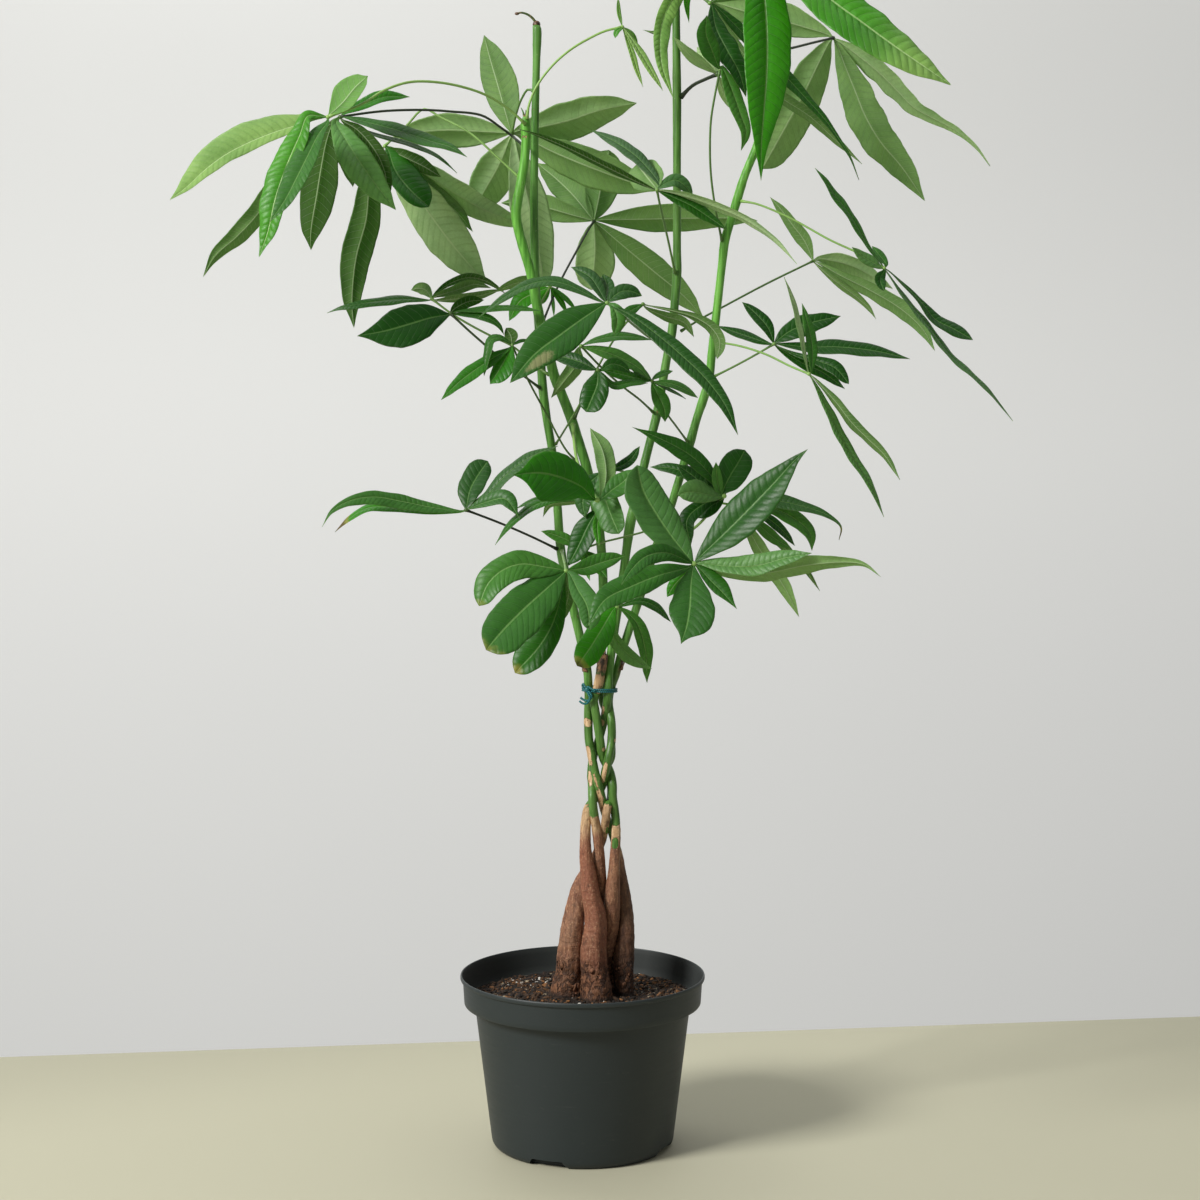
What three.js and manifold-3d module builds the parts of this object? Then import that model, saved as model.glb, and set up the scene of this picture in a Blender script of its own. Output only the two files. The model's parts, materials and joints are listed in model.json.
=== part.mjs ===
// Potted money tree: five braided stems with hand-shaped leaves, in a plastic nursery pot of potting mix.
// Millimetres, +Z up. The origin is the centre of the pot's flat foot, on the surface that it stands on, and the plant's fullest side faces -Y.
import * as THREE from "three";
import { mergeVertices } from "three/addons/utils/BufferGeometryUtils.js";
import Module from "manifold-3d";

// Driving dimensions
const RIM_RADIUS = 126.3; // outer radius at the top of the pot
const POT_HEIGHT = 176;
const BAND_RADIUS = 122.3; // outer radius at the lower edge of the rim band
const BAND_BOTTOM = 149; // height of the rim band's lower edge
const BODY_TOP_RADIUS = 111.5;
const FOOT_RADIUS = 89.8;
const WALL = 2.6;
const FLOOR = 3;
const POT_SEGMENTS = 32;
const NOTCH_WIDTH = 30; // drain slots in the corner between wall and floor
const NOTCH_HEIGHT = 8;
const NOTCH_ANGLES = [-112.6, -22.6, 67.4, 157.4];
const SOIL_TOP = 150;
const STEM_SIDES = 7;
const STALK_SIDES = 3;
const BLADE_HALF_THICKNESS = 0.75; // at the midrib; a blade thins to its edges
const GAP = 0.35; // clearance that touching pieces keep
const TIE_WIRE_RADIUS = 1.1;
const SLIVER = 0.06; // facets finer than this are merged into their neighbours

// Each trunk is one stem from its top (first point) down to its swollen foot in the potting mix: x, y, z, radius.
const TRUNKS = [
  {
    name: "trunk_right_back",
    path: [
      [-46, 4, 1144.1, 3.6],
      [-45.1, 4, 1140.2, 4.4],
      [-45.6, 4, 1109.6, 3.81],
      [-46.7, 5, 1070.2, 3.81],
      [-47.9, 6, 1020.7, 4.02],
      [-48.5, 7, 971, 4.03],
      [-48.2, 8, 921, 4.24],
      [-46.8, 8, 880.9, 4.25],
      [-43.8, 8, 840.7, 4.46],
      [-41.4, 8, 800.3, 4.47],
      [-39.9, 8, 780.1, 4.67],
      [-35.9, 8, 749.7, 4.27],
      [-30.8, 7, 719.2, 4.27],
      [-25.8, 6, 668.4, 4.28],
      [-21.8, 5, 616.4, 4.69],
      [-15.7, 4, 586.7, 4.49],
      [-6.5, 2, 545.9, 4.5],
      [0.6, 0, 515.3, 4.5],
      [5.2, -1, 492.8, 4.4],
      [6.2, 0.5, 475.1, 4.4],
      [6.5, 3, 463.4, 4.41],
      [6, 3, 453, 4.41],
      [6, 1.5, 440.8, 4.41],
      [6.7, -1, 422.6, 4.41],
      [9.8, -5, 405.6, 4.4],
      [12.9, -5.5, 390.1, 4.41],
      [16.5, -6, 376.8, 4.41],
      [19.5, -3, 363.8, 4.41],
      [21.6, 3.5, 351.2, 4.32],
      [26.3, 8, 335.8, 4.13],
      [32, 10, 318.7, 4.13],
      [36.8, 10, 300.9, 4.65],
      [38.5, 11, 282.9, 6.11],
      [41, 11.5, 263.9, 7.36],
      [43.5, 12, 248, 7.78],
      [45, 10.5, 230.4, 8.09],
      [44.7, 9, 213.9, 9.12],
      [42.7, 8, 196.2, 10.58],
      [42.1, 7.5, 178.3, 10.37],
      [42.1, 7, 161.6, 8.93],
      [42.4, 7, 138.3, 8.52],
    ],
  },
  {
    name: "trunk_right_front",
    path: [
      [21.1, -9, 512.2, 4.69],
      [19, -7.5, 497.7, 5],
      [17.5, -5.5, 485.1, 5.11],
      [14.9, -5, 475.8, 4.6],
      [11.7, -5.5, 464.5, 4.39],
      [13.1, -6, 454.3, 4.39],
      [15.2, -6.5, 442, 4.4],
      [18, -7, 423.5, 4.4],
      [20.9, -2.2, 405.2, 4.41],
      [28.3, 3, 388.8, 4.42],
      [31, -2, 376.1, 4.41],
      [31.1, -3, 363.8, 4.41],
      [32.8, -1, 352, 4.42],
      [34.3, -1, 337.5, 4.52],
      [34.5, -2, 321, 4.94],
      [33.5, -3, 303.5, 5.35],
      [32.7, -2.5, 285.6, 6.18],
      [31, -1, 266.5, 7.53],
      [30, 1, 250.4, 8.05],
      [28.3, 5.5, 228.4, 7.86],
      [24.7, 12, 200.5, 7.48],
      [23.2, 17, 176, 7.91],
      [22.2, 20, 158.3, 8.35],
      [21.1, 21, 134.6, 8.36],
    ],
  },
  {
    name: "trunk_centre_back",
    path: [
      [93.8, 10, 1316.5, 2.99],
      [94, 10, 1228.5, 3.6],
      [94.2, 10, 1169.5, 3.91],
      [94.8, 10, 1120.2, 4.02],
      [95.4, 10, 1073.7, 4.43],
      [95.6, 10, 1021, 4.03],
      [95.7, 10, 971.2, 4.04],
      [95.9, 10, 921.1, 4.15],
      [95.9, 10, 899.1, 4.66],
      [94, 10, 870.9, 4.26],
      [91, 10, 838.7, 4.67],
      [87, 10, 818.5, 4.36],
      [83, 10, 795.2, 4.37],
      [79, 10, 771.9, 4.37],
      [76, 10, 755.7, 4.68],
      [69.9, 9, 731.4, 4.38],
      [63.8, 8, 707, 4.38],
      [56.7, 6, 676.5, 4.38],
      [49.1, 4, 646.1, 5.3],
      [45, 3, 617.5, 4.49],
      [39.4, 2, 576.7, 4.49],
      [34.3, 1, 546, 4.49],
      [29.8, -1, 515.4, 4.5],
      [27.2, -2, 492.9, 4.4],
      [26.5, -4.5, 475.7, 4.39],
      [25.2, -3, 462.1, 4.4],
      [21.6, 5, 440.3, 4.31],
      [16.6, 5.5, 421.6, 4.32],
      [11, 7.3, 403.7, 4.32],
      [9.1, 4, 388.6, 4.32],
      [9.8, 1, 375.6, 4.42],
      [10.1, -6, 364.3, 4.41],
      [11.1, -6.5, 353, 4.51],
      [13.1, -2.5, 337.7, 4.73],
      [15.5, -1.5, 320.9, 5.14],
      [17.3, 0, 302.9, 5.36],
      [18.5, 2, 284.7, 5.47],
      [20.4, 7.5, 264.7, 4.86],
      [21.6, 12.5, 247.9, 4.67],
      [19, 18, 220.3, 5.62],
      [13.3, 23.5, 187.2, 6.26],
      [8.6, 27, 159.7, 7.84],
      [6.5, 28, 132.8, 8.38],
    ],
  },
  {
    name: "trunk_front",
    path: [
      [188.1, -20, 1204.1, 3.16],
      [186.4, -20, 1155.5, 3.57],
      [185.9, -18, 1106.9, 3.87],
      [182.4, -15, 1058.2, 3.99],
      [174.8, -12, 1024.1, 4.09],
      [163.1, -9, 994.7, 4.1],
      [155.4, -7, 970, 4.61],
      [149.6, -5, 950.3, 4.12],
      [143.7, -4, 930.4, 4.62],
      [140.8, -3, 905.5, 4.13],
      [137, -2, 870.6, 4.13],
      [133.1, -1, 835.5, 4.34],
      [131.2, 0, 818.4, 4.25],
      [128.3, 0, 790.2, 4.45],
      [123.4, 1, 773, 4.66],
      [116.4, 2, 751.8, 4.26],
      [109.4, 3, 726.5, 4.67],
      [98.4, 4, 688.8, 4.27],
      [87.3, 5, 653.1, 4.28],
      [74.1, 6, 617.3, 4.29],
      [57.9, 8, 565.9, 4.3],
      [47.7, 8, 535, 4.3],
      [39.5, 8, 509.2, 4.31],
      [34.9, 6, 491.9, 4.41],
      [28.8, 7, 474.2, 4.41],
      [27, 6.5, 460.8, 4.31],
      [29.7, -2, 441.3, 4.3],
      [29.9, -4, 423, 4.3],
      [26.8, -9, 406.2, 4.29],
      [23.4, -7.5, 390.5, 4.3],
      [20.6, 5, 374.9, 4.32],
      [13.9, 6.5, 362.2, 4.33],
      [6.3, 4, 351.1, 4.74],
      [3.8, 2, 336.9, 5.25],
      [3.2, -2, 321, 5.55],
      [3.6, -3.5, 303.6, 6.48],
      [5.4, -4.5, 286, 7.72],
      [7.6, -5.5, 267.4, 9.47],
      [10, -6.5, 255.1, 10.09],
      [12.4, -7, 244.8, 10.91],
      [13.3, -8, 231.4, 11.53],
      [12.1, -9, 218, 12.66],
      [11, -9.5, 202.4, 13.7],
      [11.8, -10, 184.7, 14.01],
      [13.3, -11, 168.2, 14.63],
      [13.9, -12, 143.2, 15.26],
    ],
  },
  {
    name: "trunk_left",
    path: [
      [-55.8, -14, 1051.5, 3.19],
      [-56.3, -14, 1044.6, 4.99],
      [-55.8, -14, 1028.8, 4.59],
      [-57.9, -14, 1004.2, 4.59],
      [-61.5, -14, 984.4, 4.8],
      [-64.5, -14, 969.6, 5],
      [-66, -14, 954.7, 5],
      [-63.6, -14, 939.8, 4.81],
      [-58.2, -13, 920, 4.81],
      [-52.2, -13, 900.2, 4.81],
      [-46.3, -13, 870.3, 5.02],
      [-41.3, -12, 845.3, 5.23],
      [-34.3, -12, 820.3, 5.03],
      [-28.3, -11, 795.3, 5.24],
      [-20.3, -10, 775.2, 5.04],
      [-11.3, -10, 752, 5.25],
      [-4.2, -10, 729.9, 5.05],
      [3.8, -11, 704.7, 5.05],
      [10.9, -10, 674.3, 4.86],
      [16, -7, 648.8, 4.87],
      [19, -3, 623.1, 4.68],
      [21.1, 3, 586.8, 4.7],
      [21.1, 7, 545.4, 4.71],
      [18.5, 9, 514.3, 4.72],
      [19.5, 9.5, 495.6, 4.41],
      [20.4, 12, 473.6, 4.32],
      [21.1, 14, 459.8, 4.33],
      [29.8, 11.5, 439.4, 4.12],
      [29.6, 8.2, 421.2, 4.12],
      [29.6, 7.5, 403.6, 4.12],
      [23.2, 13, 387.2, 4.13],
      [28.9, 10, 374.1, 4.13],
      [29.1, 6.7, 362.1, 4.12],
      [25.5, -6.9, 353.1, 4.2],
      [23.5, -4, 338, 4.31],
      [20.9, 9.5, 318.8, 4.13],
      [13.9, 12.5, 300.4, 4.66],
      [3.9, 13.5, 282.4, 6.22],
      [-3.1, 11, 266.1, 8.18],
      [-6.5, 8, 248.8, 10.04],
      [-9.9, 4.5, 225.4, 11.9],
      [-12.4, 4.5, 202.3, 12.94],
      [-13.5, 5, 181.1, 13.58],
      [-14.4, 5.5, 161.9, 14.31],
      [-14.9, 6, 138.5, 14.95],
    ],
  },
];

// Each leaf is a long stalk from its stem to a hub, and leaflets that spread from the hub.
// A leaflet is its midrib, its half-widths each side, how far each edge stands back (+) or forward (-), and where it is widest.
const LEAVES = [
  {
    name: "leaf_left_young",
    stalkRadius: 1.27,
    hub: [-243.6, -103.2, 1042.6],
    stalk: [[-56.6, -19, 1044.1], [-71.2, -27.2, 1057], [-90.6, -37.2, 1068.6], [-109.8, -47.1, 1075.3], [-138.3, -61.9, 1079.9], [-166.6, -75.1, 1078.9], [-190, -86.7, 1070], [-213.4, -96.6, 1054.6]],
    leaflets: [
      { spine: [[-260.7, -105.3, 1040.5], [-270.1, -107, 1035.6], [-293.6, -111.8, 1027.5], [-316.9, -117.9, 1017.5], [-339.8, -125.8, 1004.5], [-357.8, -134, 989.8], [-372.8, -142.7, 974.1], [-388.5, -152.2, 960.3]], left: 8.7, right: 19.2, leftDepth: -7.4, rightDepth: 9.2, widest: 0.5 },
      { spine: [[-252.7, -107.9, 1043.1], [-261.8, -112.3, 1042.6], [-268.7, -120.5, 1023.9], [-280.1, -131.1, 994.7], [-290.8, -139.6, 961.1], [-297.3, -143.9, 930.8], [-305.9, -145.2, 907.2]], left: 11.5, right: 13.5, leftDepth: -7.9, rightDepth: 4.8, widest: 0.55 },
      { spine: [[-243.3, -106.4, 1038.5], [-251.5, -119.8, 1023.9], [-259.5, -135.3, 1003.7], [-267.6, -148.8, 983.9], [-278.4, -162.9, 959.6], [-291.4, -173.2, 938.5]], left: 8.7, right: 11.5, leftDepth: -6.4, rightDepth: 4.6, widest: 0.5 },
      { spine: [[-240.8, -102.1, 1045.5], [-229.6, -98.1, 1056.4], [-218.3, -93.5, 1071.1], [-206.1, -89.2, 1083]], left: 12.5, right: 7.7, leftDepth: 6.3, rightDepth: -6.6, widest: 0.5 },
    ],
  },
  {
    name: "leaf_left_mature",
    stalkRadius: 1.22,
    hub: [-238.2, -43.7, 1048.5],
    stalk: [[-57, -9, 1022.3], [-70.5, 5.8, 1034.6], [-82.3, -0.8, 1042.9], [-99.9, -7.3, 1053.6], [-131.5, -13.9, 1056.9], [-157, -20.6, 1057.7], [-194.9, -30.4, 1055.7], [-226.6, -40.3, 1050.8]],
    leaflets: [
      { spine: [[-233.5, -40.6, 1052.7], [-214.7, -30.3, 1062.5], [-195.6, -20.4, 1070.4], [-171.7, -8.7, 1071.7]], left: 6.9, right: 4.9, leftDepth: 3.9, rightDepth: -4.6, widest: 0.5 },
      { spine: [[-235.2, -44.1, 1048.5], [-208.2, -48.5, 1042.2], [-178.4, -53.3, 1034], [-148.7, -58.3, 1023.8], [-128.9, -61.6, 1017.7], [-112.1, -64.7, 1007.8]], left: 6.9, right: 6.9, leftDepth: 9.7, rightDepth: -11.9, widest: 0.5 },
      { spine: [[-236.2, -43.4, 1046.6], [-208.9, -41.6, 1033.1], [-184.3, -41.9, 1026.3], [-159.5, -43.7, 1018.3], [-139.7, -46.6, 1008.3], [-122.8, -50.7, 993.4]], left: 3, right: 3, leftDepth: 11, rightDepth: -11.9, widest: 0.5 },
      { spine: [[-241.7, -47.8, 1044.2], [-230.7, -61.1, 1024.5], [-216.1, -72.5, 1002.3], [-200.1, -78.9, 979.7], [-180.8, -78.7, 955.6]], left: 9.9, right: 11.8, leftDepth: 4.2, rightDepth: -8.7, widest: 0.5 },
      { spine: [[-236.1, -44.5, 1045.5], [-220.1, -48.3, 1035.4], [-203.1, -52.6, 1015.6], [-193.2, -55.5, 994], [-190.4, -57.7, 962.7]], left: 7.9, right: 9.9, leftDepth: -3.4, rightDepth: 7.2, widest: 0.5 },
      { spine: [[-244.2, -42.5, 1043.8], [-251.6, -39.5, 1026.5], [-257.3, -35.7, 1002.4], [-263, -31.1, 973.3], [-270, -25.4, 937.2], [-270.5, -22.7, 919.6]], left: 17.7, right: 16.7, leftDepth: -4, rightDepth: 9.2, widest: 0.5 },
      { spine: [[-242.6, -39.4, 1044.1], [-238.5, -23.6, 1023], [-232.1, -9.4, 1004.5], [-230.8, 5.3, 983.8]], left: 11.8, right: 11.8, leftDepth: -2.8, rightDepth: 6.6, widest: 0.5 },
      { spine: [[-244.4, -41.2, 1044.8], [-279.8, -27.9, 1017.7], [-306.5, -17, 981.2], [-327.7, -10.4, 952.9], [-348.6, -6.3, 932.3], [-369.4, -3.4, 914.5], [-382, -1.7, 893.6]], left: 8.9, right: 9.9, leftDepth: 7.5, rightDepth: -5.1, widest: 0.62 },
    ],
  },
  {
    name: "leaf_left_inner",
    stalkRadius: 1.17,
    hub: [-200.6, 33.2, 1027.1],
    stalk: [[-62, -13, 991.4], [-85.1, -6.4, 1012.7], [-112.5, 1.8, 1037.2], [-143.1, 11.8, 1054], [-159.5, 16.7, 1062.5], [-177.4, 24.9, 1047.3]],
    leaflets: [
      { spine: [[-200.5, 32.7, 1026], [-179.4, 20.5, 1014.9], [-158.3, 8.4, 1004], [-141.6, -1.8, 993.2]], left: 8.1, right: 8.1, leftDepth: -4.4, rightDepth: 7, widest: 0.5 },
      { spine: [[-197.1, 28, 1022.6], [-188.6, 8.5, 1001], [-172.2, -9.7, 979.8], [-152.4, -22.8, 962.1]], left: 14.2, right: 8.1, leftDepth: 6.4, rightDepth: -6.6, widest: 0.5 },
      { spine: [[-197.7, 34.2, 1022.1], [-181, 39.8, 993.4], [-161.2, 45.4, 966.5], [-139.2, 51.6, 936.3], [-116, 57.6, 908.1], [-98.7, 61.7, 889.8]], left: 20.3, right: 20.3, leftDepth: -9, rightDepth: 15.5, widest: 0.6 },
      { spine: [[-196.7, 35.3, 1024.2], [-166.4, 50.8, 1004.3], [-136.7, 65.7, 985.1], [-101.4, 82.4, 965.8], [-70.8, 95.7, 954.2], [-53.2, 103.2, 948.4]], left: 12.2, right: 12.2, leftDepth: -6.2, rightDepth: 10.1, widest: 0.5 },
      { spine: [[-197.8, 36.2, 1022.3], [-157.3, 65.4, 985.1], [-129.6, 83.9, 962.8], [-114.7, 96.2, 943.9]], left: 9.1, right: 9.1, leftDepth: -4.9, rightDepth: 7.8, widest: 0.6 },
      { spine: [[-202.7, 34, 1025.1], [-212.4, 38.6, 1008.4], [-218.1, 42.8, 983.5], [-221.6, 44.9, 953.2], [-232, 42.9, 914.6], [-235.7, 34.9, 871.6], [-233.1, 26.2, 843]], left: 14.2, right: 15.2, leftDepth: 7.9, rightDepth: -3.5, widest: 0.52 },
    ],
  },
  {
    name: "leaf_top_left",
    stalkRadius: 1.12,
    hub: [-72.5, 64.1, 1042],
    stalk: [[-47.3, 8, 1077.4], [-53.4, 11.3, 1081.8], [-60.9, 24.5, 1074.2], [-67.7, 44.3, 1059.3]],
    leaflets: [
      { spine: [[-73.5, 65, 1045.1], [-79.9, 70.9, 1067], [-87.3, 78, 1093.2], [-95.7, 85.6, 1121.6], [-102.1, 92.1, 1145.8]], left: 14.4, right: 18.5, leftDepth: 8.2, rightDepth: -4.4, widest: 0.48 },
      { spine: [[-76.6, 64.3, 1043], [-110.6, 66.2, 1045.2], [-141.6, 68, 1046.4], [-172.7, 69.7, 1043.5], [-196.5, 71.1, 1035.5]], left: 15.4, right: 14.4, leftDepth: 12.5, rightDepth: -7.1, widest: 0.5 },
      { spine: [[-74.6, 66.2, 1038.1], [-85.5, 78.7, 1013.7], [-101.8, 93.1, 987.1], [-117.2, 106.1, 963.1]], left: 18.5, right: 18.5, leftDepth: 12.5, rightDepth: -6.6, widest: 0.5 },
      { spine: [[-70.5, 64.5, 1037.9], [-65.5, 66.4, 1015.7], [-60.4, 68.3, 993.5], [-55.4, 70.4, 970.1], [-49.3, 73, 939.5], [-43.2, 75.6, 908.8], [-40.2, 78.1, 879]], left: 18.5, right: 18.5, leftDepth: 10.1, rightDepth: -4.2, widest: 0.52 },
      { spine: [[-67.4, 64.7, 1045.1], [-43.8, 67.3, 1049.4], [-12.9, 70.6, 1056.8], [18, 74, 1067.3], [56.2, 78.1, 1074.9]], left: 16.5, right: 17.5, leftDepth: -8, rightDepth: 14.1, widest: 0.45 },
      { spine: [[-66.3, 64.1, 1042], [-33.5, 64.1, 1025.7], [2.6, 64.1, 1010.5], [38.6, 64.1, 997.2], [76.7, 64.1, 984]], left: 16.5, right: 17.5, leftDepth: -8, rightDepth: 14.1, widest: 0.55 },
    ],
  },
  {
    name: "leaf_middle_back",
    stalkRadius: 1.17,
    hub: [11.5, 178.4, 960.1],
    stalk: [[-39.4, -8, 848.4], [-30.9, 21.7, 871.2], [-21.3, 67.9, 895.1], [-7.3, 120.7, 924.3], [7.3, 166.9, 953]],
    leaflets: [
      { spine: [[8.3, 179.1, 961.2], [-14.4, 184, 967.9], [-41.4, 189.7, 975.7], [-68.6, 195.3, 980.4], [-89.4, 199.4, 980.7]], left: 10.8, right: 10.8, leftDepth: 9.1, rightDepth: -5.6, widest: 0.5 },
      { spine: [[8.3, 180.6, 964.5], [-9, 191.6, 986.6], [-27.6, 201.9, 1005.5], [-50.6, 213.4, 1024.7]], left: 11.8, right: 11.8, leftDepth: 9.9, rightDepth: -6.1, widest: 0.5 },
      { spine: [[12.6, 179.9, 965.5], [16.9, 185.5, 986.2], [22.3, 192.9, 1013.4], [27.7, 199.4, 1037.5]], left: 15.1, right: 15.1, leftDepth: -3.5, rightDepth: 8.3, widest: 0.52 },
      { spine: [[16.9, 178.2, 961.2], [61, 176.5, 962.1], [114.8, 174.4, 963], [157.7, 172.6, 962.9], [187.7, 171.4, 959.7]], left: 15.1, right: 14, leftDepth: -7.5, rightDepth: 11.5, widest: 0.45 },
      { spine: [[15.8, 178.9, 956.9], [45, 182.3, 932.5], [77.5, 186.1, 905.9], [110.2, 189.9, 879.1], [129.9, 192.4, 857.6]], left: 15.1, right: 16.2, leftDepth: -7.5, rightDepth: 13.1, widest: 0.5 },
      { spine: [[11.5, 179, 954.8], [12.6, 180.9, 934.6], [11.5, 183.2, 910.1], [8.3, 185.4, 886.5]], left: 18.3, right: 17.2, leftDepth: 10, rightDepth: -3.9, widest: 0.5 },
    ],
  },
  {
    name: "leaf_middle_front",
    stalkRadius: 1.12,
    hub: [73.4, -82.4, 974.6],
    stalk: [[93.8, 5, 897.9], [85.9, -23.1, 929.5], [77.9, -61, 956.7]],
    leaflets: [
      { spine: [[72.5, -79.1, 976.8], [65.1, -60, 987.8], [54.7, -33.4, 1003.6]], left: 16.5, right: 16.5, leftDepth: 12.9, rightDepth: -7.6, widest: 0.5 },
      { spine: [[70.5, -82.7, 975.5], [27.7, -87.2, 995.4], [-15.9, -91.8, 1016], [-44.8, -94.8, 1027.2], [-61.1, -96.4, 1031.8]], left: 2.9, right: 2.9, leftDepth: 12.8, rightDepth: -11.8, widest: 0.35 },
      { spine: [[76.4, -79.7, 977.7], [57.3, -57.5, 1005.5], [34.8, -38.6, 1023.7], [9, -19.4, 1038.1]], left: 6.8, right: 6.8, leftDepth: -6, rightDepth: 3.8, widest: 0.5 },
      { spine: [[76.4, -81.2, 977.6], [91.1, -76.2, 984.7], [101, -72.8, 979.1], [109, -68.4, 967.8]], left: 6.8, right: 6.8, leftDepth: 3.8, rightDepth: -6, widest: 0.5 },
      { spine: [[77.3, -83.5, 974.5], [105.2, -91.2, 967.3], [129.2, -98.1, 958.2], [157.8, -106.5, 945.2], [186.2, -116, 924.7], [206.8, -124.4, 901.4]], left: 3.4, right: 3.4, leftDepth: -9.6, rightDepth: 10.7, widest: 0.3 },
      { spine: [[77.3, -82.8, 972.6], [105.5, -85.6, 959.9], [124.9, -87.6, 947.3], [141.3, -89.4, 935.7]], left: 6.8, right: 6.8, leftDepth: 3.8, rightDepth: -6, widest: 0.5 },
    ],
  },
  {
    name: "leaf_top_young",
    stalkRadius: 1.17,
    hub: [39.8, -21.3, 1138.7],
    stalk: [[-54.7, -18, 1049.1], [-52.6, -19.7, 1062.7], [-44.6, -21.3, 1081.1], [-29.6, -22.9, 1100.5], [-11.7, -22.9, 1116.1], [8.1, -21.3, 1128], [23, -21.3, 1134.8]],
    leaflets: [
      { spine: [[39.8, -21.1, 1139.7], [36.8, -17.8, 1153.8], [35.9, -14.3, 1168.9]], left: 2.2, right: 2.2, leftDepth: -1.6, rightDepth: 0.9, widest: 0.5 },
      { spine: [[39.8, -22.1, 1137.6], [34.8, -26.7, 1134.1], [32.8, -32.5, 1126.5]], left: 3, right: 3, leftDepth: -2.8, rightDepth: 1.8, widest: 0.5 },
      { spine: [[41.8, -20.5, 1137.8], [48.8, -17.4, 1132.4], [55.8, -12.9, 1122.2]], left: 3, right: 3, leftDepth: 2.1, rightDepth: -3.1, widest: 0.5 },
      { spine: [[40.8, -21.8, 1136.7], [48.7, -26.7, 1115.6], [54.6, -31.3, 1095.6], [60.5, -35.3, 1078.6]], left: 3, right: 3, leftDepth: 1.3, rightDepth: -2.2, widest: 0.5 },
      { spine: [[41.8, -22, 1136.7], [57.5, -29.2, 1113.3], [69.3, -35.2, 1093.2], [80.1, -40.9, 1074.1]], left: 4, right: 4, leftDepth: 2.2, rightDepth: -3.5, widest: 0.5 },
    ],
  },
  {
    name: "leaf_top_bright",
    stalkRadius: 1.33,
    hub: [118.8, -69.9, 1203.7],
    stalk: [[97.9, 6, 1229.8], [105.1, -17.1, 1222], [112.9, -45.2, 1211.5]],
    leaflets: [
      { spine: [[114.7, -75.5, 1197.1], [97.6, -98, 1168], [83.8, -112.5, 1147.1], [76, -124.6, 1123.9], [75.7, -137.7, 1090.5], [86.9, -146.9, 1055.9]], left: 9.7, right: 6.8, leftDepth: 2.4, rightDepth: -4, widest: 0.5 },
      { spine: [[117, -67.5, 1198.3], [107.7, -58.4, 1178.8], [103.1, -50.6, 1160.8], [105.5, -41.9, 1139.8]], left: 3.9, right: 3.9, leftDepth: 1.3, rightDepth: -2.5, widest: 0.5 },
      { spine: [[115, -68.8, 1200], [99.8, -61.8, 1170.6], [86.4, -55.7, 1144.7], [73.8, -51.7, 1129.8], [60.1, -48.9, 1132.1]], left: 3.9, right: 3.9, leftDepth: 3.6, rightDepth: -2.4, widest: 0.5 },
      { spine: [[120.6, -71.8, 1207.2], [135.4, -84.5, 1229.6], [156.6, -99, 1251.4], [179.5, -111.9, 1265.8]], left: 15.5, right: 15.5, leftDepth: 7.6, rightDepth: -12.5, widest: 0.5 },
      { spine: [[116.9, -69.2, 1208.5], [111.1, -65, 1239.7], [99.5, -60.3, 1273.8], [84, -55.9, 1303.1]], left: 15.5, right: 15.5, leftDepth: -9.3, rightDepth: 4.4, widest: 0.5 },
    ],
  },
  {
    name: "leaf_inner_dark",
    stalkRadius: 1.73,
    hub: [134.9, -25, 1092.4],
    stalk: [[99.4, 8, 1073.5], [110.1, -1.9, 1083.3], [123.5, -15.1, 1088.7]],
    leaflets: [
      { spine: [[132.9, -26, 1093.3], [116.7, -34.4, 1103], [101.6, -42.8, 1113.6], [90.5, -50.2, 1125.2]], left: 4.5, right: 4.5, leftDepth: 9.6, rightDepth: -8.1, widest: 0.5 },
      { spine: [[134.1, -22.7, 1095.6], [125.5, -12.3, 1107.6], [115, 0.2, 1121.9]], left: 7.9, right: 6.9, leftDepth: 6.6, rightDepth: -3.7, widest: 0.5 },
      { spine: [[136.1, -21.3, 1088.9], [140.7, -10, 1078.4], [146.2, 0, 1069.7], [151.8, 10, 1060.8]], left: 5, right: 5, leftDepth: -2, rightDepth: 3.6, widest: 0.5 },
    ],
  },
  {
    name: "leaf_inner_drooping",
    stalkRadius: 1.07,
    hub: [135.9, -46.5, 1093.8],
    stalk: [[140.5, -8, 929.2], [136.1, -14.5, 947.7], [131.7, -21, 969.1], [128.3, -27.4, 993.2], [126.9, -33.9, 1017.2], [127.6, -38.6, 1046.1], [131.2, -43.4, 1069.9]],
    leaflets: [
      { spine: [[136.8, -47, 1097.6], [147.6, -50, 1074], [155.4, -52.8, 1051.5], [161.3, -55.2, 1032.8], [156.3, -57.4, 1014.2]], left: 7.9, right: 8.8, leftDepth: 2.1, rightDepth: -5.1, widest: 0.4 },
      { spine: [[133.8, -49.5, 1097.3], [127.3, -61, 1111.3], [120.9, -73.2, 1126], [121.3, -85.4, 1141.5]], left: 10.8, right: 7.9, leftDepth: 2.6, rightDepth: -4.6, widest: 0.5 },
    ],
  },
  {
    name: "leaf_upper_hub",
    stalkRadius: 1.33,
    hub: [127, -18.1, 1162.5],
    stalk: [[98.1, 8, 1186.9], [107.7, -1.8, 1179.6], [117.4, -11.6, 1170.3]],
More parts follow.
